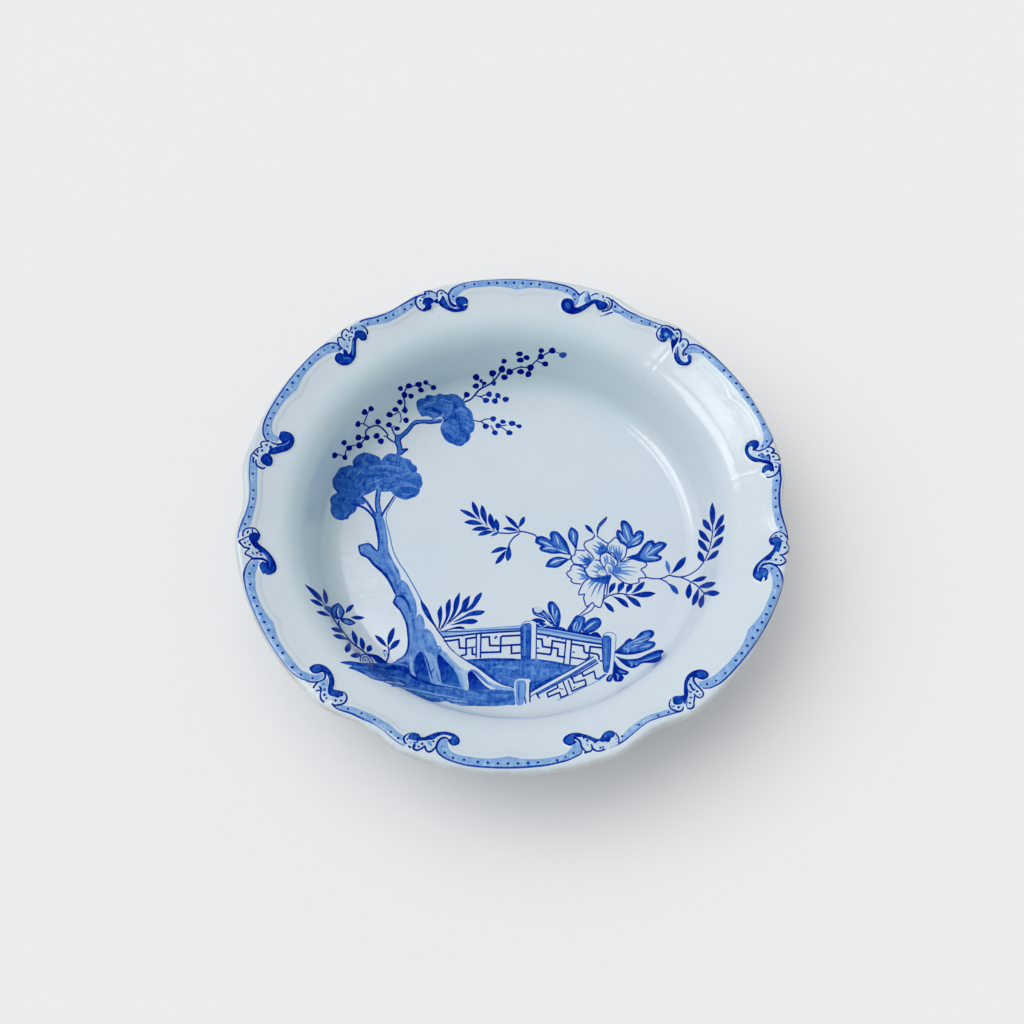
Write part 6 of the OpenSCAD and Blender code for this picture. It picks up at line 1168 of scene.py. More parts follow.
# 12: far left
scroll([([(334.2, 358.6), (334.8, 355.2), (337, 352.8), (340, 352.2), (342.6, 353.4), (344.6, 351.6), (345, 349.4), (347, 351.4), (348.6, 353.6), (350.6, 350), (351, 346),
          (351.4, 342), (352, 339), (353.8, 336), (354, 333), (355.6, 330.8), (358.6, 330.2), (362, 330.4), (364.6, 331.8), (366.4, 334.2), (367, 336.8), (366, 339.2),
          (363.6, 340.2), (361, 340), (359.4, 338.4), (357.4, 338), (356.2, 340.4), (356, 344), (355.9, 348), (355.9, 352), (355.8, 355.6), (354.2, 358.6),
          (352.4, 361.4), (349.6, 363.8), (346, 364.9), (342.2, 364.8), (338.8, 363.6), (336, 361.4)], 0.93)],
       [(337.4, 338.6), (339.4, 337), (341.6, 337.2), (341.8, 332.6), (344.8, 329.2), (348.4, 331.2), (350.4, 329), (352.4, 325.8), (356, 323.4), (361, 325), (365.6, 328.6),
        (367, 333), (362, 330.6), (356, 331), (353, 337), (351, 345), (350, 352), (346, 353), (342.6, 349), (339, 345.4), (337.6, 342)],
       [F([(352.6, 325.6), (356, 323.4), (360, 324.4), (363.6, 327), (364, 330), (358, 330), (354, 331.4), (351.6, 329.6)], 0.30), F([(338.8, 339.4), (342, 340), (346, 341), (349, 343), (349.6, 348), (347, 350), (343, 347.6), (340, 344)], 0.22),
        F([(336.4, 357.6), (339, 354.4), (343, 356), (346.6, 357), (350, 357.6), (352, 358.4), (349, 361.6), (344, 363), (339.4, 362)], 0.87), L([(343.6, 358.4), (347, 357.6), (350, 359)], 0.8, 0.68),
        L([(352.6, 341), (352.3, 346), (352.6, 351), (352.2, 355)], 1.2, 0.66), F([(356, 333), (359, 331.6), (363, 332.4), (365, 335.4), (363.4, 338.4), (360.6, 337.6), (358, 336)], 0.90),
        L([(360.4, 325.2), (363.6, 326.2), (366, 328.6), (367.2, 331.4), (367.2, 334)], [1.2, 1.5, 1.6, 1.8, 1.4]), L([(364.4, 328.8), (365.8, 331.4), (366, 333.2)], 0.8, 0.05),
        L([(351.8, 326.2), (350.6, 329), (350, 331.6)], [1.4, 1.6, 1.2], 0.93),
        L([(341.8, 337.8), (341.4, 334.6), (342.6, 331.2), (345, 329.3), (347.4, 330.2), (349, 332.4)], [1.3, 1.4, 1.5, 1.5, 1.4, 1.5]), L([(341.6, 337.2), (343.4, 339.2), (345.6, 340)], 1.5, 0.93),
        F([(344.6, 336), (345.8, 333.8), (347.4, 335.2), (346.4, 336.4)], 0.95), L([(348, 338.4), (350, 336.6), (352, 337)], 1.2, 0.82),
        L([(341.4, 337.4), (338.6, 337.2), (337.4, 339), (337.8, 342), (338.8, 345), (340.6, 347.2), (342.6, 349)], [1.4, 1.6, 1.6, 1.4, 1.4, 1.5, 1.4]),
        F([(343, 349), (345.2, 349.4), (346.8, 352), (347.2, 355), (344.6, 355.4), (343, 353)], 0.98),
        D((355, 328.1, 1.3), (351.9, 332.4, 1.3), (348.6, 337.4, 0.9), (349, 340, 1.2), (347, 346.2, 1.1, 0.88), (339, 348.8, 1.4), (332.7, 347, 1.4), (324, 350, 1.2, 0.72), (317.8, 354.4, 1.4),
          (367.6, 323.4, 1.3), (377.6, 320.2, 1.3), (385.6, 317.4, 1.4))],
       ([(340.4, 348.4), (338.6, 345.8), (336.4, 344.4), (333.4, 343.6), (330, 343.8), (326.4, 345.2), (322.6, 347.4), (319, 350), (316, 352.4)],
        [(341.6, 350.2), (339.4, 351.4), (336, 352), (332, 352.4), (328, 353.6), (324, 355.8), (320, 358.6), (316, 361.6)]),
       ([(342.4, 349), (340, 347), (338, 345), (335.4, 343.4), (332, 343), (328.4, 343.8), (324.4, 345.8), (320.6, 348.2), (316, 351.6)], 1.3, 0.90),
       ([(357, 323), (360.6, 321.4), (365, 319.8), (370, 318.4), (375, 317.2), (380, 315.8), (386, 314)], [(366.4, 327), (369, 325.8), (373, 324.8), (378, 323.8), (383, 323), (386, 322.6)]),
       ([(360, 322), (364, 320.2), (369, 318.9), (374, 318), (380, 316), (386, 314)], [1.6, 1.3, 1.2, 1.1, 1, 1], 0.90))

BAND_LIFT, BODY_LIFT = 0.40, 0.95
RIM_PAINT = []          # border shapes as arc length and angle, tone, wash


def at(px, lift):
    """Picture points on the raised border: arc length and angle, the angle without a jump along the outline."""
    s, th = on_dish(px, lift)
    return np.stack([s, np.unwrap(th)], 1)


def keep(lift):
    """Takes the strokes drawn since the last call onto the border."""
    for o, tone, wash, _ in STROKES:
        RIM_PAINT.append((at(o, lift), tone, wash))
    STROKES.clear()


def bridge(p, q, step=1.2):
    """Points between two ends of a band, straight in arc length and angle."""
    n = max(2, int(abs(q[1] - p[1]) * 147 / step))
    return p + (q - p) * (np.arange(1, n) / n)[:, None]


def joined(p, q, cusp=0.0):
    """One edge of a band from scroll to scroll; a broad band can have a small point in the middle of the lobe."""
    q = q + [0.0, 2 * np.pi * round((p[-1, 1] - q[-1, 1]) / (2 * np.pi))]
    b = bridge(p[-1], q[-1])
    b[:, 0] -= cusp * np.clip(1 - np.abs(from_lobe(b[:, 1])) / 5.4, 0, 1) ** 1.7
    return np.concatenate([p, b, q[::-1]])


def rim_line(p, w, tone, wash):
    q = ribbon(p * [1, 147.0], w)
    RIM_PAINT.append((q / [1, 147.0], tone, wash))


# creases between the lobes, from the scrolls down to the wall: angle in degrees and how deep each is pressed
CREASES = ((9.6, 0.6), (49.8, 1.0), (69.6, 0.5), (109.4, 0.9), (128.8, 0.9), (169.4, 0.8), (189.8, 0.3), (230.4, 0.3), (249.6, 0.3), (290.6, 0.9), (309.2, 0.6),
           (350.4, 0.4))
for turn, depth in CREASES:
    s = np.linspace(124, S_LIP - 8, 16)
    p = np.stack([s, np.radians(turn + 0.25 * np.sin(s / 9 + turn))], 1)
    for w, tone in ((4.4, 0.0), (1.8, 0.0)):
        rim_line(p, w, tone, 0.0)
    # a faint blue line along each crease, for glaze pooled in it and as painted shade in the crease
    rim_line(p[3:], np.linspace(0.15, 0.45, 13), 0.06 * depth, 0.3)
UNDER_PAINT = RIM_PAINT[:]          # lies below the garden, which runs over the creases
RIM_PAINT.clear()

EDGES = []
FAR_RIGHT = min((0, 2, 4, 6, 8, 10), key=lambda i: abs(np.degrees(at(curve(SCROLLS[i]["big"][0]), BAND_LIFT)[-1, 1]) % 360 - 30))
for kind, pairs, cusp, fill in (("big", ((0, 1), (2, 3), (4, 5), (6, 7), (8, 9), (10, 11)), 3.1, 0.345), ("small", ((1, 2), (3, 4), (5, 6), (7, 8), (9, 10), (11, 0)), 0.0, 0.325)):
    for i, k in pairs:
        a, b = SCROLLS[i], SCROLLS[k]
        outer = joined(at(curve(a[kind][0]), BAND_LIFT), at(curve(b[kind][0]), BAND_LIFT))
        inner = joined(at(curve(a[kind][1]), BAND_LIFT), at(curve(b[kind][1]), BAND_LIFT), cusp)
        # the wash hardly follows the moulded point, least of all on the lobe at the far right
        brushed = joined(at(curve(a[kind][1]), BAND_LIFT), at(curve(b[kind][1]), BAND_LIFT), cusp * (0.1 if i == FAR_RIGHT else 0.7))
        RIM_PAINT.append((np.concatenate([outer, brushed[::-1]]), fill, 1.0))
        EDGES.append(inner)
        rim_line(brushed[4:-4], 0.34, 0.42, 0.5)
        ends = [at(curve(d[kind + "_line"][0]), BAND_LIFT) for d in (a, b)]
        ends[1] = ends[1] + [0.0, 2 * np.pi * round((ends[0][-1, 1] - ends[1][-1, 1]) / (2 * np.pi))]
        p = np.concatenate([ends[0][-2:], bridge(ends[0][-1], ends[1][-1]), ends[1][::-1][:2]])
        tones = [d[kind + "_line"][2] for d in (a, b)]
        width = [0.66 * float(np.ravel(d[kind + "_line"][1])[-1]) for d in (a, b)]
        rim_line(p, np.interp(np.linspace(0, 1, len(p)), [0, 1], width), min(tones) - 0.04, 0.2)
        # dots along the middle of the band, between the ones drawn with the scrolls
        gap = bridge(0.5 * (outer[len(curve(a[kind][0])) - 1] + inner[len(curve(a[kind][1])) - 1]),
                     0.5 * (outer[-len(curve(b[kind][0]))] + inner[-len(curve(b[kind][1]))]), 5.0)
        turn = 2 * np.pi * np.arange(10) / 10
        for g in gap:
            RIM_PAINT.append((g + 0.78 * np.stack([np.cos(turn), np.sin(turn) / 147.0], 1), 0.94, 0.1))
for d in SCROLLS:
    for kind in ("big", "small"):
        line(d[kind + "_line"][0], d[kind + "_line"][1], d[kind + "_line"][2], 0.12)
    keep(BAND_LIFT)
for d in SCROLLS:
    blob(d["shell"], 0.11, 0.4)
    for o, tone in d["bodies"]:
        blob(o, tone, 0.7)
    for stroke in d["paint_on"]:
        stroke()
    keep(BODY_LIFT)
STROKES = GARDEN


def inside(poly, x, y):
    """Non-zero winding test of points against one outline."""
    wn = np.zeros(len(x), int)
    x0, y0 = poly[:, 0], poly[:, 1]
    x1, y1 = np.roll(x0, -1), np.roll(y0, -1)
    for a, b, c, d in zip(x0, y0, x1, y1):
        cross = (c - a) * (y - b) - (x - a) * (d - b)
        wn += ((b <= y) & (d > y) & (cross > 0)).astype(int) - ((b > y) & (d <= y) & (cross < 0)).astype(int)
    return wn != 0


# Relief of the border on a grid round the whole rim: raised band, domed scrolls and shells
GRID = 0.2
TURNS = int(2 * np.pi * 147.0 / GRID)
g_t = 2 * np.pi * np.arange(TURNS) / TURNS
g_s = np.arange(S_LIP - 24.0, S_LIP + 6.0, GRID)


def mask(px):
    """A shape of one scroll on the grid."""
    m = np.zeros((TURNS, len(g_s)))
    p = at(curve(px, True), BODY_LIFT)
    p[:, 1] += 2 * np.pi * (p[:, 1].mean() < 0)
    rows = np.nonzero((g_t >= p[:, 1].min()) & (g_t <= p[:, 1].max()))[0]
    S, A = np.meshgrid(g_s, g_t[rows])
    m[rows] = inside(p, S.ravel(), A.ravel()).reshape(S.shape)
    return m


def blur(m, sigma):
    n = int(3 * sigma / GRID) + 1
    k = np.exp(-0.5 * (np.arange(-n, n + 1) * GRID / sigma) ** 2)
    k /= k.sum()
    m = sum(w * np.roll(m, i - n, 0) for i, w in enumerate(k))
    p = np.pad(m, ((0, 0), (n, n)), mode="edge")
    return sum(w * p[:, i:i + m.shape[1]] for i, w in enumerate(k))


edge = np.concatenate(EDGES)
edge = edge[np.argsort(edge[:, 1] % (2 * np.pi))]
edge_s = np.interp(g_t, edge[:, 1] % (2 * np.pi), edge[:, 0], period=2 * np.pi)
body_m = np.clip(sum(mask(o) for d in SCROLLS for o, _ in d["bodies"]), 0, 1)
shell_m = np.clip(sum(mask(d["shell"]) for d in SCROLLS), 0, 1)
RELIEF = (0.38 * blur((g_s[None, :] > edge_s[:, None]).astype(float), 0.55) + 0.40 * blur((g_s[None, :] > edge_s[:, None] - 3.0).astype(float), 0.55) + 0.70 * blur(body_m, 0.55) + 0.35 * blur(body_m, 1.3) + 0.5 * blur(shell_m, 0.7))
RELIEF *= np.clip((S_LIP + 4.0 - g_s) / 4.0, 0, 1)[None, :]


def relief(s, theta):
    u = (theta % (2 * np.pi)) / (2 * np.pi) * TURNS
    v = np.clip((s - g_s[0]) / GRID, 0, len(g_s) - 1.001)
    i, j = u.astype(int) % TURNS, v.astype(int)
    u, v, k = u - np.floor(u), v - j, (i + 1) % TURNS
    h = (RELIEF[i, j] * (1 - u) + RELIEF[k, j] * u) * (1 - v) + (RELIEF[i, j + 1] * (1 - u) + RELIEF[k, j + 1] * u) * v
    # soft ribs that run from the scrolls down the wall, and the slow unevenness of a hand-pressed dish
    r = np.interp(s, S_TAB, R_TAB)
    along = np.clip((s - 116) / 22, 0, 1) * np.clip((S_LIP - 7 - s) / 5, 0, 1)
    for turn, depth in CREASES:
        d = (np.degrees(theta) - turn - 0.25 * np.sin(s / 9 + turn) + 180) % 360 - 180
        d = np.radians(d) * r
        h = h + depth * along * (0.26 * np.exp(-0.5 * (d / 4.0) ** 2) - 0.13 * np.exp(-0.5 * (d / 0.9) ** 2))
    wave = (0.10 * np.sin(3 * theta + 0.7) + 0.08 * np.sin(7 * theta + 2.1) * np.sin(s / 17)
            + 0.05 * np.sin(13 * theta + 0.4 + s / 9) + 0.05 * np.sin(s / 6.5 + 2 * theta))
    return h + wave * np.clip((s - 60) / 50, 0, 1) * np.clip((S_MAX - s) / 8, 0, 1)


# ---------------------------------------------------------------- the dish as one mesh
def thin(p, tol):
    """Drops the points of a closed outline that lie within tol of the line through the rest."""
    keep = np.zeros(len(p), bool)
    far = int(np.argmax(((p - p[0]) ** 2).sum(1)))
    keep[0] = keep[far] = True
    work = [(0, far), (far, len(p))]
    q = np.concatenate([p, p[:1]])
    while work:
        a, b = work.pop()
        if b - a < 2:
            continue
        d = q[b] - q[a]
        n = max(np.hypot(*d), 1e-9)
        e = np.abs(d[0] * (q[a + 1:b, 1] - q[a, 1]) - d[1] * (q[a + 1:b, 0] - q[a, 0])) / n
        k = int(np.argmax(e))
        if e[k] > tol:
            keep[a + 1 + k] = True
            work += [(a, a + 1 + k), (a + 1 + k, b)]
    return p[keep]


def split(o, step):
    """An outline with no side longer than step."""
    out = []
    for a, b in zip(o, np.roll(o, -1, axis=0)):
        n = max(1, int(np.ceil(np.hypot(*(b - a)) / step)))
        out += [a + (b - a) * k / n for k in range(n)]
    return np.array(out)


def flat(s, theta):
    return np.stack([s * np.cos(theta), s * np.sin(theta)], -1)


def over_near_wall(s, theta, n):
    """The near wall is edge-on in the picture, so the ground's lower edge is led over it on a slant."""
    deg = np.degrees(theta) % 360
    k = np.clip((deg - 231 - 1.1 * (n % 4)) / 17, 0, 1)
    edge = 148 - 45.6 * k * k * (3 - 2 * k) + 0.5 * (n % 3) + 0.5 * np.sin(deg * 1.9 + n)
    return np.where((deg > 226) & (deg < 300), np.minimum(s, edge), s)


paint = []          # outline in the flattened dish, tone, wash, fade, seed
for o, tone, wash in UNDER_PAINT:
    paint.append((split(thin(flat(o[:, 0], o[:, 1]), 0.03), 1.3), tone, wash, None))
for n, (o, tone, wash, fade) in enumerate(STROKES):
    s, th = on_dish(split(o, 1.5 if np.max(o[:, 1]) > 660 and np.min(o[:, 0]) < 470 else 3.0))
    s = over_near_wall(s, th, n)
    if fade is not None:
        fs, ft = on_dish([fade[0][:2], fade[1][:2]])
        ends = flat(fs, ft)
        fade = (ends[0], fade[0][2], ends[1], fade[1][2])
    o = thin(flat(s, th), 0.035)
    paint.append((split(o, 1.5) if np.hypot(o[:, 0], o[:, 1]).max() > 95 else o, tone, wash, fade))
for o, tone, wash in RIM_PAINT:
    paint.append((split(thin(flat(o[:, 0], o[:, 1]), 0.03), 1.3), tone, wash, None))

points, links = [], []


def add_loop(o):
    a = len(points)
    points.extend(map(tuple, o))
    links.extend((a + i, a + (i + 1) % len(o)) for i in range(len(o)))


AROUND = 480
ring = 2 * np.pi * np.arange(AROUND) / AROUND
add_loop(flat(np.full(AROUND, S_MAX), ring))
for o, *_ in paint:
    if len(o) > 2:
        add_loop(o)
points.append((0.0, 0.0))
rows = np.concatenate([np.arange(4, 94, 4.2), np.arange(95, 112, 1.3), np.arange(113, 129, 2.2), np.arange(130, S_LIP - 18, 1.4),
                       np.arange(S_LIP - 18, S_LIP + 1.5, 0.72), np.arange(S_LIP + 1.9, S_MAX - 0.3, 0.75)])
for n, s in enumerate(rows):
    gap = 4.2 if s < 94 else 2.4 if s < 129 else 1.6 if s < S_LIP - 18.5 else 0.9 if s < S_LIP + 1.7 else 1.5
    m = int(2 * np.pi * s / gap)
    th = 2 * np.pi * (np.arange(m) + 0.5 * (n % 2)) / m
    points.extend(map(tuple, flat(np.full(m, s), th)))

verts2, _, tris, *_ = delaunay_2d_cdt([Vector(p) for p in points], links, [], 0, 1e-5, False)
V2 = np.array([(v.x, v.y) for v in verts2])
T = np.array([t for t in tris if len(t) == 3])
a, b, c = V2[T[:, 0]], V2[T[:, 1]], V2[T[:, 2]]
area2 = (b[:, 0] - a[:, 0]) * (c[:, 1] - a[:, 1]) - (b[:, 1] - a[:, 1]) * (c[:, 0] - a[:, 0])
T[area2 < 0] = T[area2 < 0][:, ::-1]
T = T[np.abs(area2) > 1e-9]
mid = V2[T].mean(1)

tone = np.zeros((len(T), 3))
wash = np.zeros(len(T))
seed = np.zeros(len(T))
for n, (o, t, w, fade) in enumerate(paint):
    lo, hi = o.min(0), o.max(0)
    pick = np.nonzero((mid[:, 0] >= lo[0]) & (mid[:, 0] <= hi[0]) & (mid[:, 1] >= lo[1]) & (mid[:, 1] <= hi[1]))[0]
    if not len(pick):
        continue
    pick = pick[inside(o, mid[pick, 0], mid[pick, 1])]
    if fade is None:
        tone[pick] = t
    else:
        p0, t0, p1, t1 = fade
        d = p1 - p0
        u = np.clip(((V2[T[pick]] - p0) @ d) / (d @ d), 0, 1)
        tone[pick] = t0 + (t1 - t0) * u
    wash[pick] = w
    seed[pick] = (n * 0.6180339) % 1

s_v, th_v = np.hypot(V2[:, 0], V2[:, 1]), np.arctan2(V2[:, 1], V2[:, 0])


def raised(s, theta):
    return surface(s, theta, relief(s, theta))


def normals(s, theta):
    ds, dt = 0.12, 0.12 / np.maximum(s, 1.0)
    u = raised(np.minimum(s + ds, S_MAX), theta) - raised(np.maximum(s - ds, 0.0), theta)
    v = raised(s, theta + dt) - raised(s, theta - dt)
    n = np.cross(u, v)
    return n / np.maximum(np.linalg.norm(n, axis=1), 1e-12)[:, None]


top, top_n = raised(s_v, th_v), normals(s_v, th_v)
middle = s_v < 1.0
top_n[middle] = (0, 0, 1)

# underside: rings from the lip in to the middle of the base
order = np.argsort(-s_v)[:AROUND]
order = order[np.argsort(th_v[order] % (2 * np.pi))]
pts_in = np.linspace(S_LIP, WELL_R, 18)
rings = []
for s in pts_in[1:]:
    r, z, sl, t = (np.interp(s, S_TAB, q) for q in (R_TAB, Z_TAB, A_TAB, T_TAB))
    w = lobing(r)
    sl = np.interp(s, S_TAB[:-40], A_TAB[:-40])
    rings.append((r + t * math.sin(sl), z - t * math.cos(sl), w))
rings += [(r, UNDER_Z, 0.0) for r in (93, 88, 80, 66, 44, 20)]
theta = th_v[order]
under = []
for i, (r, z, w) in enumerate(rings):
    wave = 0.06 * np.sin(5 * theta + i * 0.31) + 0.05 * np.sin(11 * theta + 1.3 + i * 0.2)
    rr = r + w * draw_in(theta) + (wave if r > 95 else 0)
    under.append(np.stack([rr * np.cos(theta), rr * np.sin(theta), np.full(AROUND, z)], 1))
base = len(top)
co = np.concatenate([top] + under + [np.array([[0, 0, UNDER_Z]])]) * MM
faces = [tuple(t) for t in T.tolist()]
loops_uv, loops_ink = [], []
RIM_UV = 0.345 / S_MAX
uv_top = 0.36 + V2[T] * RIM_UV
# band over the lip where the glaze runs thin, also used for painted shade on the lip
lip_wear_and_shade = np.exp(-0.5 * ((s_v - (S_LIP + 3.1)) / 0.9) ** 2)
ink_top = np.concatenate([tone[:, :, None], np.repeat(wash[:, None], 3, 1)[:, :, None], np.repeat(seed[:, None], 3, 1)[:, :, None],
                          lip_wear_and_shade[T][:, :, None]], 2)
loops_uv.append(uv_top.reshape(-1, 2))
loops_ink.append(ink_top.reshape(-1, 4))


def under_uv(p):
    return np.array([0.86, 0.86]) + np.asarray(p)[..., :2] * 0.13 / 152.0


idx = [order] + [base + i * AROUND + np.arange(AROUND) for i in range(len(rings))]
where = np.concatenate([top] + under + [np.array([[0, 0, UNDER_Z]])])
quad_uv = []
for p, q in zip(idx[:-1], idx[1:]):
    p2, q2 = np.roll(p, -1), np.roll(q, -1)
    for f in zip(p.tolist(), q.tolist(), q2.tolist(), p2.tolist()):
        faces.append(f)
        quad_uv.append(f)
centre = len(co) - 1
tip = idx[-1]
fan = [(int(y), int(x), centre) for x, y in zip(tip, np.roll(tip, -1))]
faces += fan
loops_uv.append(under_uv(where[np.array(quad_uv).reshape(-1)]))
loops_uv.append(under_uv(where[np.array(fan).reshape(-1)]))
n_under = 4 * len(quad_uv) + 3 * len(fan)
loops_ink.append(np.tile([0.0, 0.0, 0.0, 0.0], (n_under, 1)))

me = bpy.data.meshes.new("dish")
me.from_pydata(co.tolist(), [], faces)
me.update()
for f in me.polygons:
    f.use_smooth = True
uvl = me.uv_layers.new(name="OFBake")
uvl.data.foreach_set("uv", np.concatenate(loops_uv).astype(np.float32).reshape(-1))
att = me.attributes.new("ink", "FLOAT_COLOR", "CORNER")
att.data.foreach_set("color", np.concatenate(loops_ink).astype(np.float32).reshape(-1))
me.calc_loop_triangles()
vn = np.zeros(len(co) * 3)
me.vertices.foreach_get("normal", vn)
vn = vn.reshape(-1, 3)
vn[:base] = top_n
me.normals_split_custom_set_from_vertices([tuple(n) for n in vn])
dish = bpy.data.objects.new("glazed_dish", me)
bpy.context.scene.collection.objects.link(dish)

# ---------------------------------------------------------------- foot ring, turned and luted on
prof = [(92.6, 5.62), (91.2, 5.42), (90.35, 4.95), (89.9, 4.2), (89.35, 3.1), (88.75, 1.9), (88.2, 0.95), (87.75, 0.36), (87.2, 0.06), (86.6, 0.0),
        (85.5, 0.0), (84.4, 0.0), (83.8, 0.06), (83.25, 0.36), (82.8, 0.95), (82.25, 1.9), (81.65, 3.1), (81.1, 4.2), (80.65, 4.95), (79.8, 5.42), (78.4, 5.62)]
N_FOOT = 360
fv, ff = [], []
for j in range(N_FOOT):
    t = 2 * math.pi * j / N_FOOT
    wob = 0.12 * math.sin(2 * t + 0.5) + 0.07 * math.sin(9 * t) + 0.05 * math.sin(17 * t + 1)
    for i, (r, z) in enumerate(prof):
        edge_w = 1.0 if 3 < i < 17 else 0.3
        fv.append(((r + wob * edge_w) * math.cos(t) * MM, (r + wob * edge_w) * math.sin(t) * MM, z * MM))
M = len(prof)
for j in range(N_FOOT):
    k = (j + 1) % N_FOOT
    for i in range(M):
        i2 = (i + 1) % M
        ff.append((j * M + i, j * M + i2, k * M + i2, k * M + i))
fm = bpy.data.meshes.new("foot")
fm.from_pydata(fv, [], ff)
for f in fm.polygons:
    f.use_smooth = True
fatt = fm.attributes.new("bare", "FLOAT_COLOR", "POINT")
fatt.data.foreach_set("color", np.array([[1.0 if z < 0.2 else 0.75 if z < 0.5 else 0.2 if z < 1.2 else 0.0] * 3 + [1.0] for _ in range(N_FOOT) for _, z in prof],
                                         np.float32).reshape(-1))
foot = bpy.data.objects.new("foot_ring_glazed", fm)
bpy.context.scene.collection.objects.link(foot)


# ---------------------------------------------------------------- materials
def srgb(r, g, b):
    return tuple((c / 255 / 12.92 if c / 255 <= 0.04045 else ((c / 255 + 0.055) / 1.055) ** 2.4) for c in (r, g, b)) + (1.0,)


class Tree:
    def __init__(self, name):
        self.mat = bpy.data.materials.new(name)
        self.mat.use_nodes = True
        self.t = self.mat.node_tree
        self.t.nodes.clear()

    def add(self, kind, values=None, **props):
        n = self.t.nodes.new(kind)
        for k, v in props.items():
            setattr(n, k, v)
        for k, v in (values or {}).items():
            if isinstance(v, bpy.types.NodeSocket):
                self.t.links.new(v, n.inputs[k])
            else:
                n.inputs[k].default_value = v
        return n

    def math(self, op, a, b=0.5, clamp=False):
        return self.add("ShaderNodeMath", {0: a, 1: b}, operation=op, use_clamp=clamp).outputs[0]

    def noise(self, where, scale, detail=2.0, rough=0.5, distortion=0.0):
        return self.add("ShaderNodeTexNoise", {"Vector": where, "Scale": scale, "Detail": detail, "Roughness": rough,
                                               "Distortion": distortion}).outputs["Fac"]

    def span(self, v, a, b, c=0.0, d=1.0):
        return self.add("ShaderNodeMapRange", {"Value": v, "From Min": a, "From Max": b, "To Min": c, "To Max": d}, clamp=True).outputs[0]

    def mix(self, fac, a, b, mode="MIX"):
        n = self.add("ShaderNodeMix", data_type="RGBA", blend_type=mode)
        for k, v in ((0, fac), (6, a), (7, b)):
            if isinstance(v, bpy.types.NodeSocket):
                self.t.links.new(v, n.inputs[k])
            else:
                n.inputs[k].default_value = v
        return n.outputs[2]

    def ramp(self, fac, stops):
        n = self.add("ShaderNodeValToRGB", {0: fac})
        e = n.color_ramp.elements
        while len(e) < len(stops):
            e.new(0.5)
        for el, (p, c) in zip(e, stops):
            el.position, el.color = p, c
        return n.outputs[0]


GLAZE = srgb(214, 226, 233)


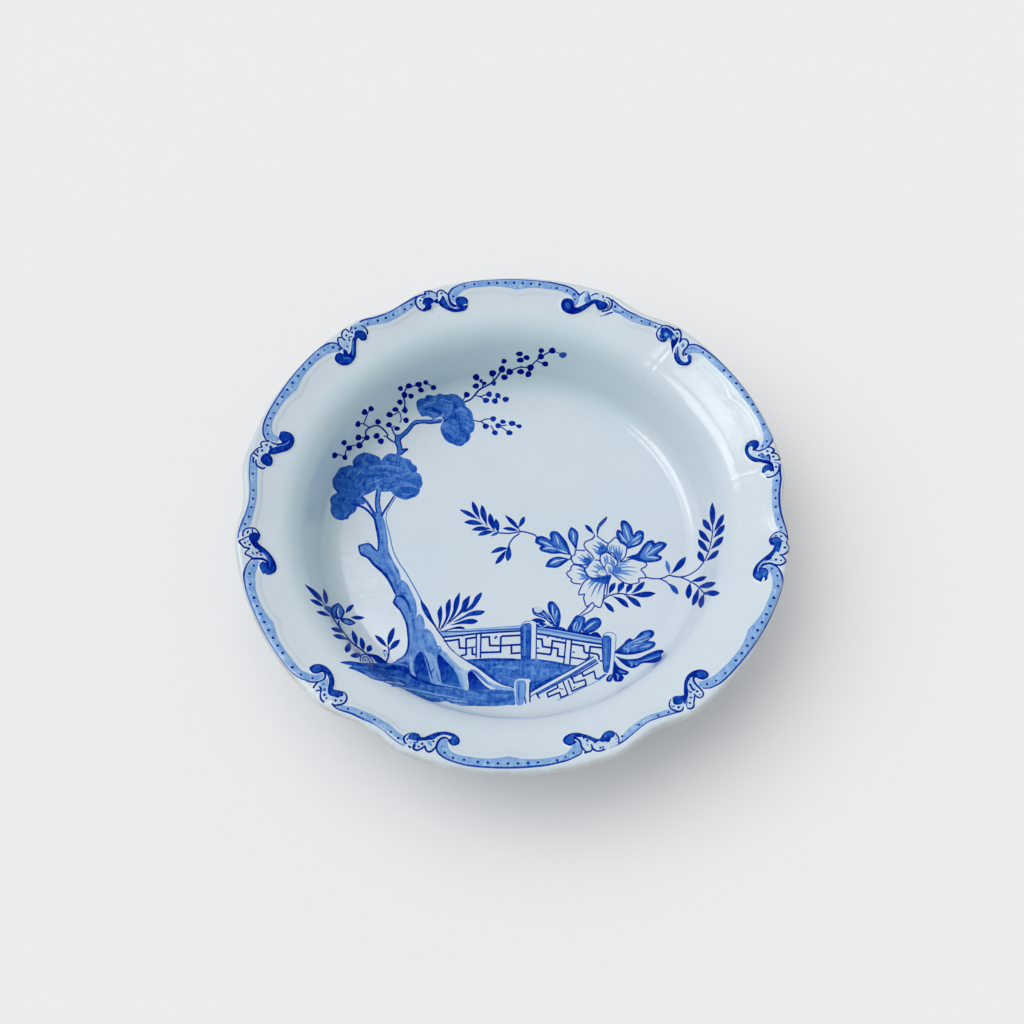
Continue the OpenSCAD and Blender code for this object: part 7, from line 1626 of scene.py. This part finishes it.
def glaze_material():
    m = Tree("painted_glaze")
    pos = m.add("ShaderNodeTexCoord").outputs["Object"]
    ink = m.add("ShaderNodeAttribute", attribute_name="ink")
    sep = m.add("ShaderNodeSeparateColor", {0: ink.outputs["Color"]})
    tone, wash, seed = sep.outputs[0], sep.outputs[1], sep.outputs[2]
    wear_and_shade = ink.outputs["Alpha"]
    # bare glaze: slow drifts of blue-grey and warm, fine mottling, specks in the glaze
    drift = m.noise(pos, 14.0, 3.0, 0.55)
    cloud = m.noise(pos, 55.0, 3.0, 0.6)
    base = m.mix(m.span(drift, 0.35, 0.65), srgb(200, 214, 224), srgb(207, 218, 226))
    base = m.mix(m.math("MULTIPLY", m.span(cloud, 0.45, 0.75), 0.35), base, srgb(193, 208, 218))
    speck = m.add("ShaderNodeTexVoronoi", {"Vector": pos, "Scale": 130.0, "Randomness": 1.0}, feature="F1")
    few = m.math("GREATER_THAN", m.add("ShaderNodeSeparateColor", {0: speck.outputs["Color"]}).outputs[0], 0.93)
    spot = m.math("MULTIPLY", m.span(speck.outputs["Distance"], 0.03, 0.075, 1.0, 0.0), few)
    base = m.mix(m.math("MULTIPLY", spot, 0.45), base, srgb(128, 142, 156))
    # painted shade: the wall on the far-left side, which lies in shade, is tinted greener with less red
    xyz = m.add("ShaderNodeSeparateXYZ", {0: pos})
    out = m.math("SQRT", m.math("ADD", m.math("MULTIPLY", xyz.outputs[0], xyz.outputs[0]), m.math("MULTIPLY", xyz.outputs[1], xyz.outputs[1])))
    wall = m.math("MULTIPLY", m.span(out, 0.096, 0.103), m.span(out, 0.116, 0.132, 1.0, 0.0))
    shaded_side = m.span(m.math("SUBTRACT", xyz.outputs[1], xyz.outputs[0]), -0.03, 0.11)
    base = m.mix(m.math("MULTIPLY", wall, shaded_side), base, srgb(193, 215, 223))
    # cobalt: grain of the wash, brush drag and pooling
    grain = m.noise(pos, 900.0, 3.0, 0.65)
    mott = m.noise(pos, 260.0, 2.0, 0.55, 0.6)
    brush = m.add("ShaderNodeMapping", {"Vector": pos, "Rotation": (0.0, 0.0, 0.6), "Scale": (1.0, 0.22, 1.0)}).outputs[0]
    drag = m.noise(brush, 700.0, 2.0, 0.6)
    var = m.math("ADD", m.math("MULTIPLY", m.math("SUBTRACT", grain, 0.5), 0.34), m.math("MULTIPLY", m.math("SUBTRACT", mott, 0.5), 0.46))
    var = m.math("ADD", var, m.math("MULTIPLY", m.math("SUBTRACT", drag, 0.5), 0.36))
    t = m.math("ADD", tone, m.math("MULTIPLY", var, wash), clamp=True)
    solid = m.math("MULTIPLY", m.math("SUBTRACT", mott, 0.5), m.math("MULTIPLY", tone, 0.16))
    t = m.math("ADD", t, solid, clamp=True)
    cobalt = m.ramp(t, [(0.0, (1, 1, 1, 1)), (0.15, (0.68, 0.82, 0.96, 1)), (0.30, (0.42, 0.61, 0.91, 1)), (0.45, (0.25, 0.46, 0.87, 1)),
                        (0.60, (0.14, 0.315, 0.77, 1)), (0.72, (0.052, 0.18, 0.62, 1)), (0.80, (0.022, 0.12, 0.53, 1)),
                        (0.88, (0.004, 0.050, 0.45, 1)), (0.94, (0.001, 0.026, 0.34, 1)), (1.0, (0.0, 0.007, 0.31, 1))])
    colour = m.mix(1.0, base, cobalt, "MULTIPLY")
    # the glaze runs thin over the lip, and the warm clay shows through; the clay colour is darker and greyer than the
    # clay, as painted shade on the lip
    thin_glaze_and_shade = m.math("MULTIPLY", wear_and_shade, m.span(m.noise(pos, 75.0, 4.0, 0.65), 0.32, 0.66))
    colour = m.mix(m.math("MULTIPLY", thin_glaze_and_shade, 0.8), colour, srgb(176, 173, 162))
    rough = m.math("ADD", m.span(m.noise(pos, 320.0, 2.0, 0.5), 0.3, 0.7, 0.13, 0.19), m.math("MULTIPLY", thin_glaze_and_shade, 0.2))
    peel = m.math("ADD", m.math("MULTIPLY", m.noise(pos, 240.0, 2.0, 0.5), 1.0), m.math("MULTIPLY", m.noise(pos, 900.0, 1.0, 0.5), 0.25))
    bump = m.add("ShaderNodeBump", {"Height": peel, "Strength": 0.12, "Distance": 0.0006}).outputs[0]
    bsdf = m.add("ShaderNodeBsdfPrincipled", {"Base Color": colour, "Roughness": rough, "Normal": bump, "IOR": 1.5,
                                               "Specular IOR Level": m.span(t, 0.0, 0.70, 0.38, 0.004)})
    m.add("ShaderNodeOutputMaterial", {0: bsdf.outputs[0]})
    return m.mat


def foot_material():
    m = Tree("foot_glaze")
    pos = m.add("ShaderNodeTexCoord").outputs["Object"]
    bare = m.add("ShaderNodeAttribute", attribute_name="bare").outputs["Fac"]
    drift = m.noise(pos, 40.0, 3.0, 0.6)
    fine = m.noise(pos, 600.0, 3.0, 0.6)
    glaze = m.mix(m.span(drift, 0.35, 0.65), srgb(206, 219, 228), srgb(214, 222, 224))
    clay = m.mix(fine, srgb(196, 172, 138), srgb(222, 202, 170))
    b = m.span(m.math("ADD", bare, m.math("MULTIPLY", m.math("SUBTRACT", m.noise(pos, 160.0, 4.0, 0.65), 0.5), 0.9)), 0.4, 0.6)
    colour = m.mix(b, glaze, clay)
    rough = m.span(b, 0.0, 1.0, 0.18, 0.85)
    bump = m.add("ShaderNodeBump", {"Height": fine, "Strength": 0.25, "Distance": 0.0004}).outputs[0]
    bsdf = m.add("ShaderNodeBsdfPrincipled", {"Base Color": colour, "Roughness": rough, "Normal": bump, "IOR": 1.5})
    m.add("ShaderNodeOutputMaterial", {0: bsdf.outputs[0]})
    return m.mat


dish.data.materials.append(glaze_material())
foot.data.materials.append(foot_material())
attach(dish, "root")
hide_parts("dish_body")
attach(foot, "root")
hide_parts("foot_ring")

# ---------------------------------------------------------------- studio
ROOM = 0.608
bpy.context.scene.view_settings.view_transform = "Standard"
bpy.context.scene.view_settings.look = "None"
size = 3.0
fl = bpy.data.meshes.new("floor")
fl.from_pydata([(-size, -size, -0.0002), (size, -size, -0.0002), (size, size, -0.0002), (-size, size, -0.0002)], [], [(0, 1, 2, 3)])
floor = bpy.data.objects.new("studio_floor", fl)
bpy.context.scene.collection.objects.link(floor)
fmt = Tree("paper")
grain = fmt.noise(fmt.add("ShaderNodeTexCoord").outputs["Object"], 300.0, 2.0)
shade = fmt.mix(grain, (0.80, 0.80, 0.805, 1), (0.82, 0.82, 0.825, 1))
fb = fmt.add("ShaderNodeBsdfPrincipled", {"Base Color": shade, "Roughness": 0.95, "Specular IOR Level": 0.0})
fmt.add("ShaderNodeOutputMaterial", {0: fb.outputs[0]})
fl.materials.append(fmt.mat)

world = bpy.data.worlds.new("studio")
world.use_nodes = True
wt = world.node_tree
bg = wt.nodes["Background"]
bg.inputs[0].default_value = (1.0, 1.0, 1.0, 1)
# an even room for the diffuse light; gloss sees it dimmer, as between dark flats
path = wt.nodes.new("ShaderNodeLightPath")
dim = wt.nodes.new("ShaderNodeMapRange")
dim.inputs["To Min"].default_value, dim.inputs["To Max"].default_value = ROOM, ROOM * 0.03
wt.links.new(path.outputs["Is Glossy Ray"], dim.inputs["Value"])
wt.links.new(dim.outputs[0], bg.inputs[1])
bpy.context.scene.world = world


def softbox(name, at, aim, w, h, power, colour=(1, 1, 1)):
    d = bpy.data.lights.new(name, "AREA")
    d.shape, d.size, d.size_y, d.energy, d.color = "RECTANGLE", w, h, power, colour
    o = bpy.data.objects.new(name, d)
    o.location = at
    o.rotation_euler = (Vector(aim) - Vector(at)).to_track_quat("-Z", "Y").to_euler()
    bpy.context.scene.collection.objects.link(o)
    return o


def toward_sky(azimuth, elevation, distance):
    a, e = math.radians(azimuth), math.radians(elevation)
    return (distance * math.cos(e) * math.cos(a), distance * math.cos(e) * math.sin(a), distance * math.sin(e))


# two broad lights from the left, too wide to show as gloss
for name, az, el, power, spread in (("key", 180, 52, 0.922, 55), ("fill", 135, 65, 0.693, 60)):
    sun = bpy.data.lights.new(name, "SUN")
    sun.energy, sun.angle = power, math.radians(spread)
    so = bpy.data.objects.new(name, sun)
    so.location = toward_sky(az, el, 2.0)
    so.rotation_euler = (-Vector(so.location)).to_track_quat("-Z", "Y").to_euler()
    so.visible_glossy = False
    bpy.context.scene.collection.objects.link(so)
# boxes that only show as gloss
for name, az, el, dist, w, h, power in (("window", 168, 51, 1.25, 0.66, 0.50, 7.0), ("pane", 126, 68, 1.23, 0.22, 0.15, 0.95)):
    box = softbox(name, toward_sky(az, el, dist), (0, 0, 0.03), w, h, power)
    box.visible_diffuse = False

cam = bpy.data.cameras.new("camera")
cam.sensor_width = 36.0
cam.lens = FOCAL / 1024 * 36.0
cam.clip_start, cam.clip_end = 0.01, 20.0
shot = bpy.data.objects.new("camera", cam)
m4 = Matrix.Identity(4)
for i in range(3):
    m4[i][0], m4[i][1], m4[i][2], m4[i][3] = RIGHT[i], UP[i], BACK[i], EYE[i] * MM
shot.matrix_world = m4
bpy.context.scene.collection.objects.link(shot)
bpy.context.scene.camera = shot

bpy.context.view_layer.update()
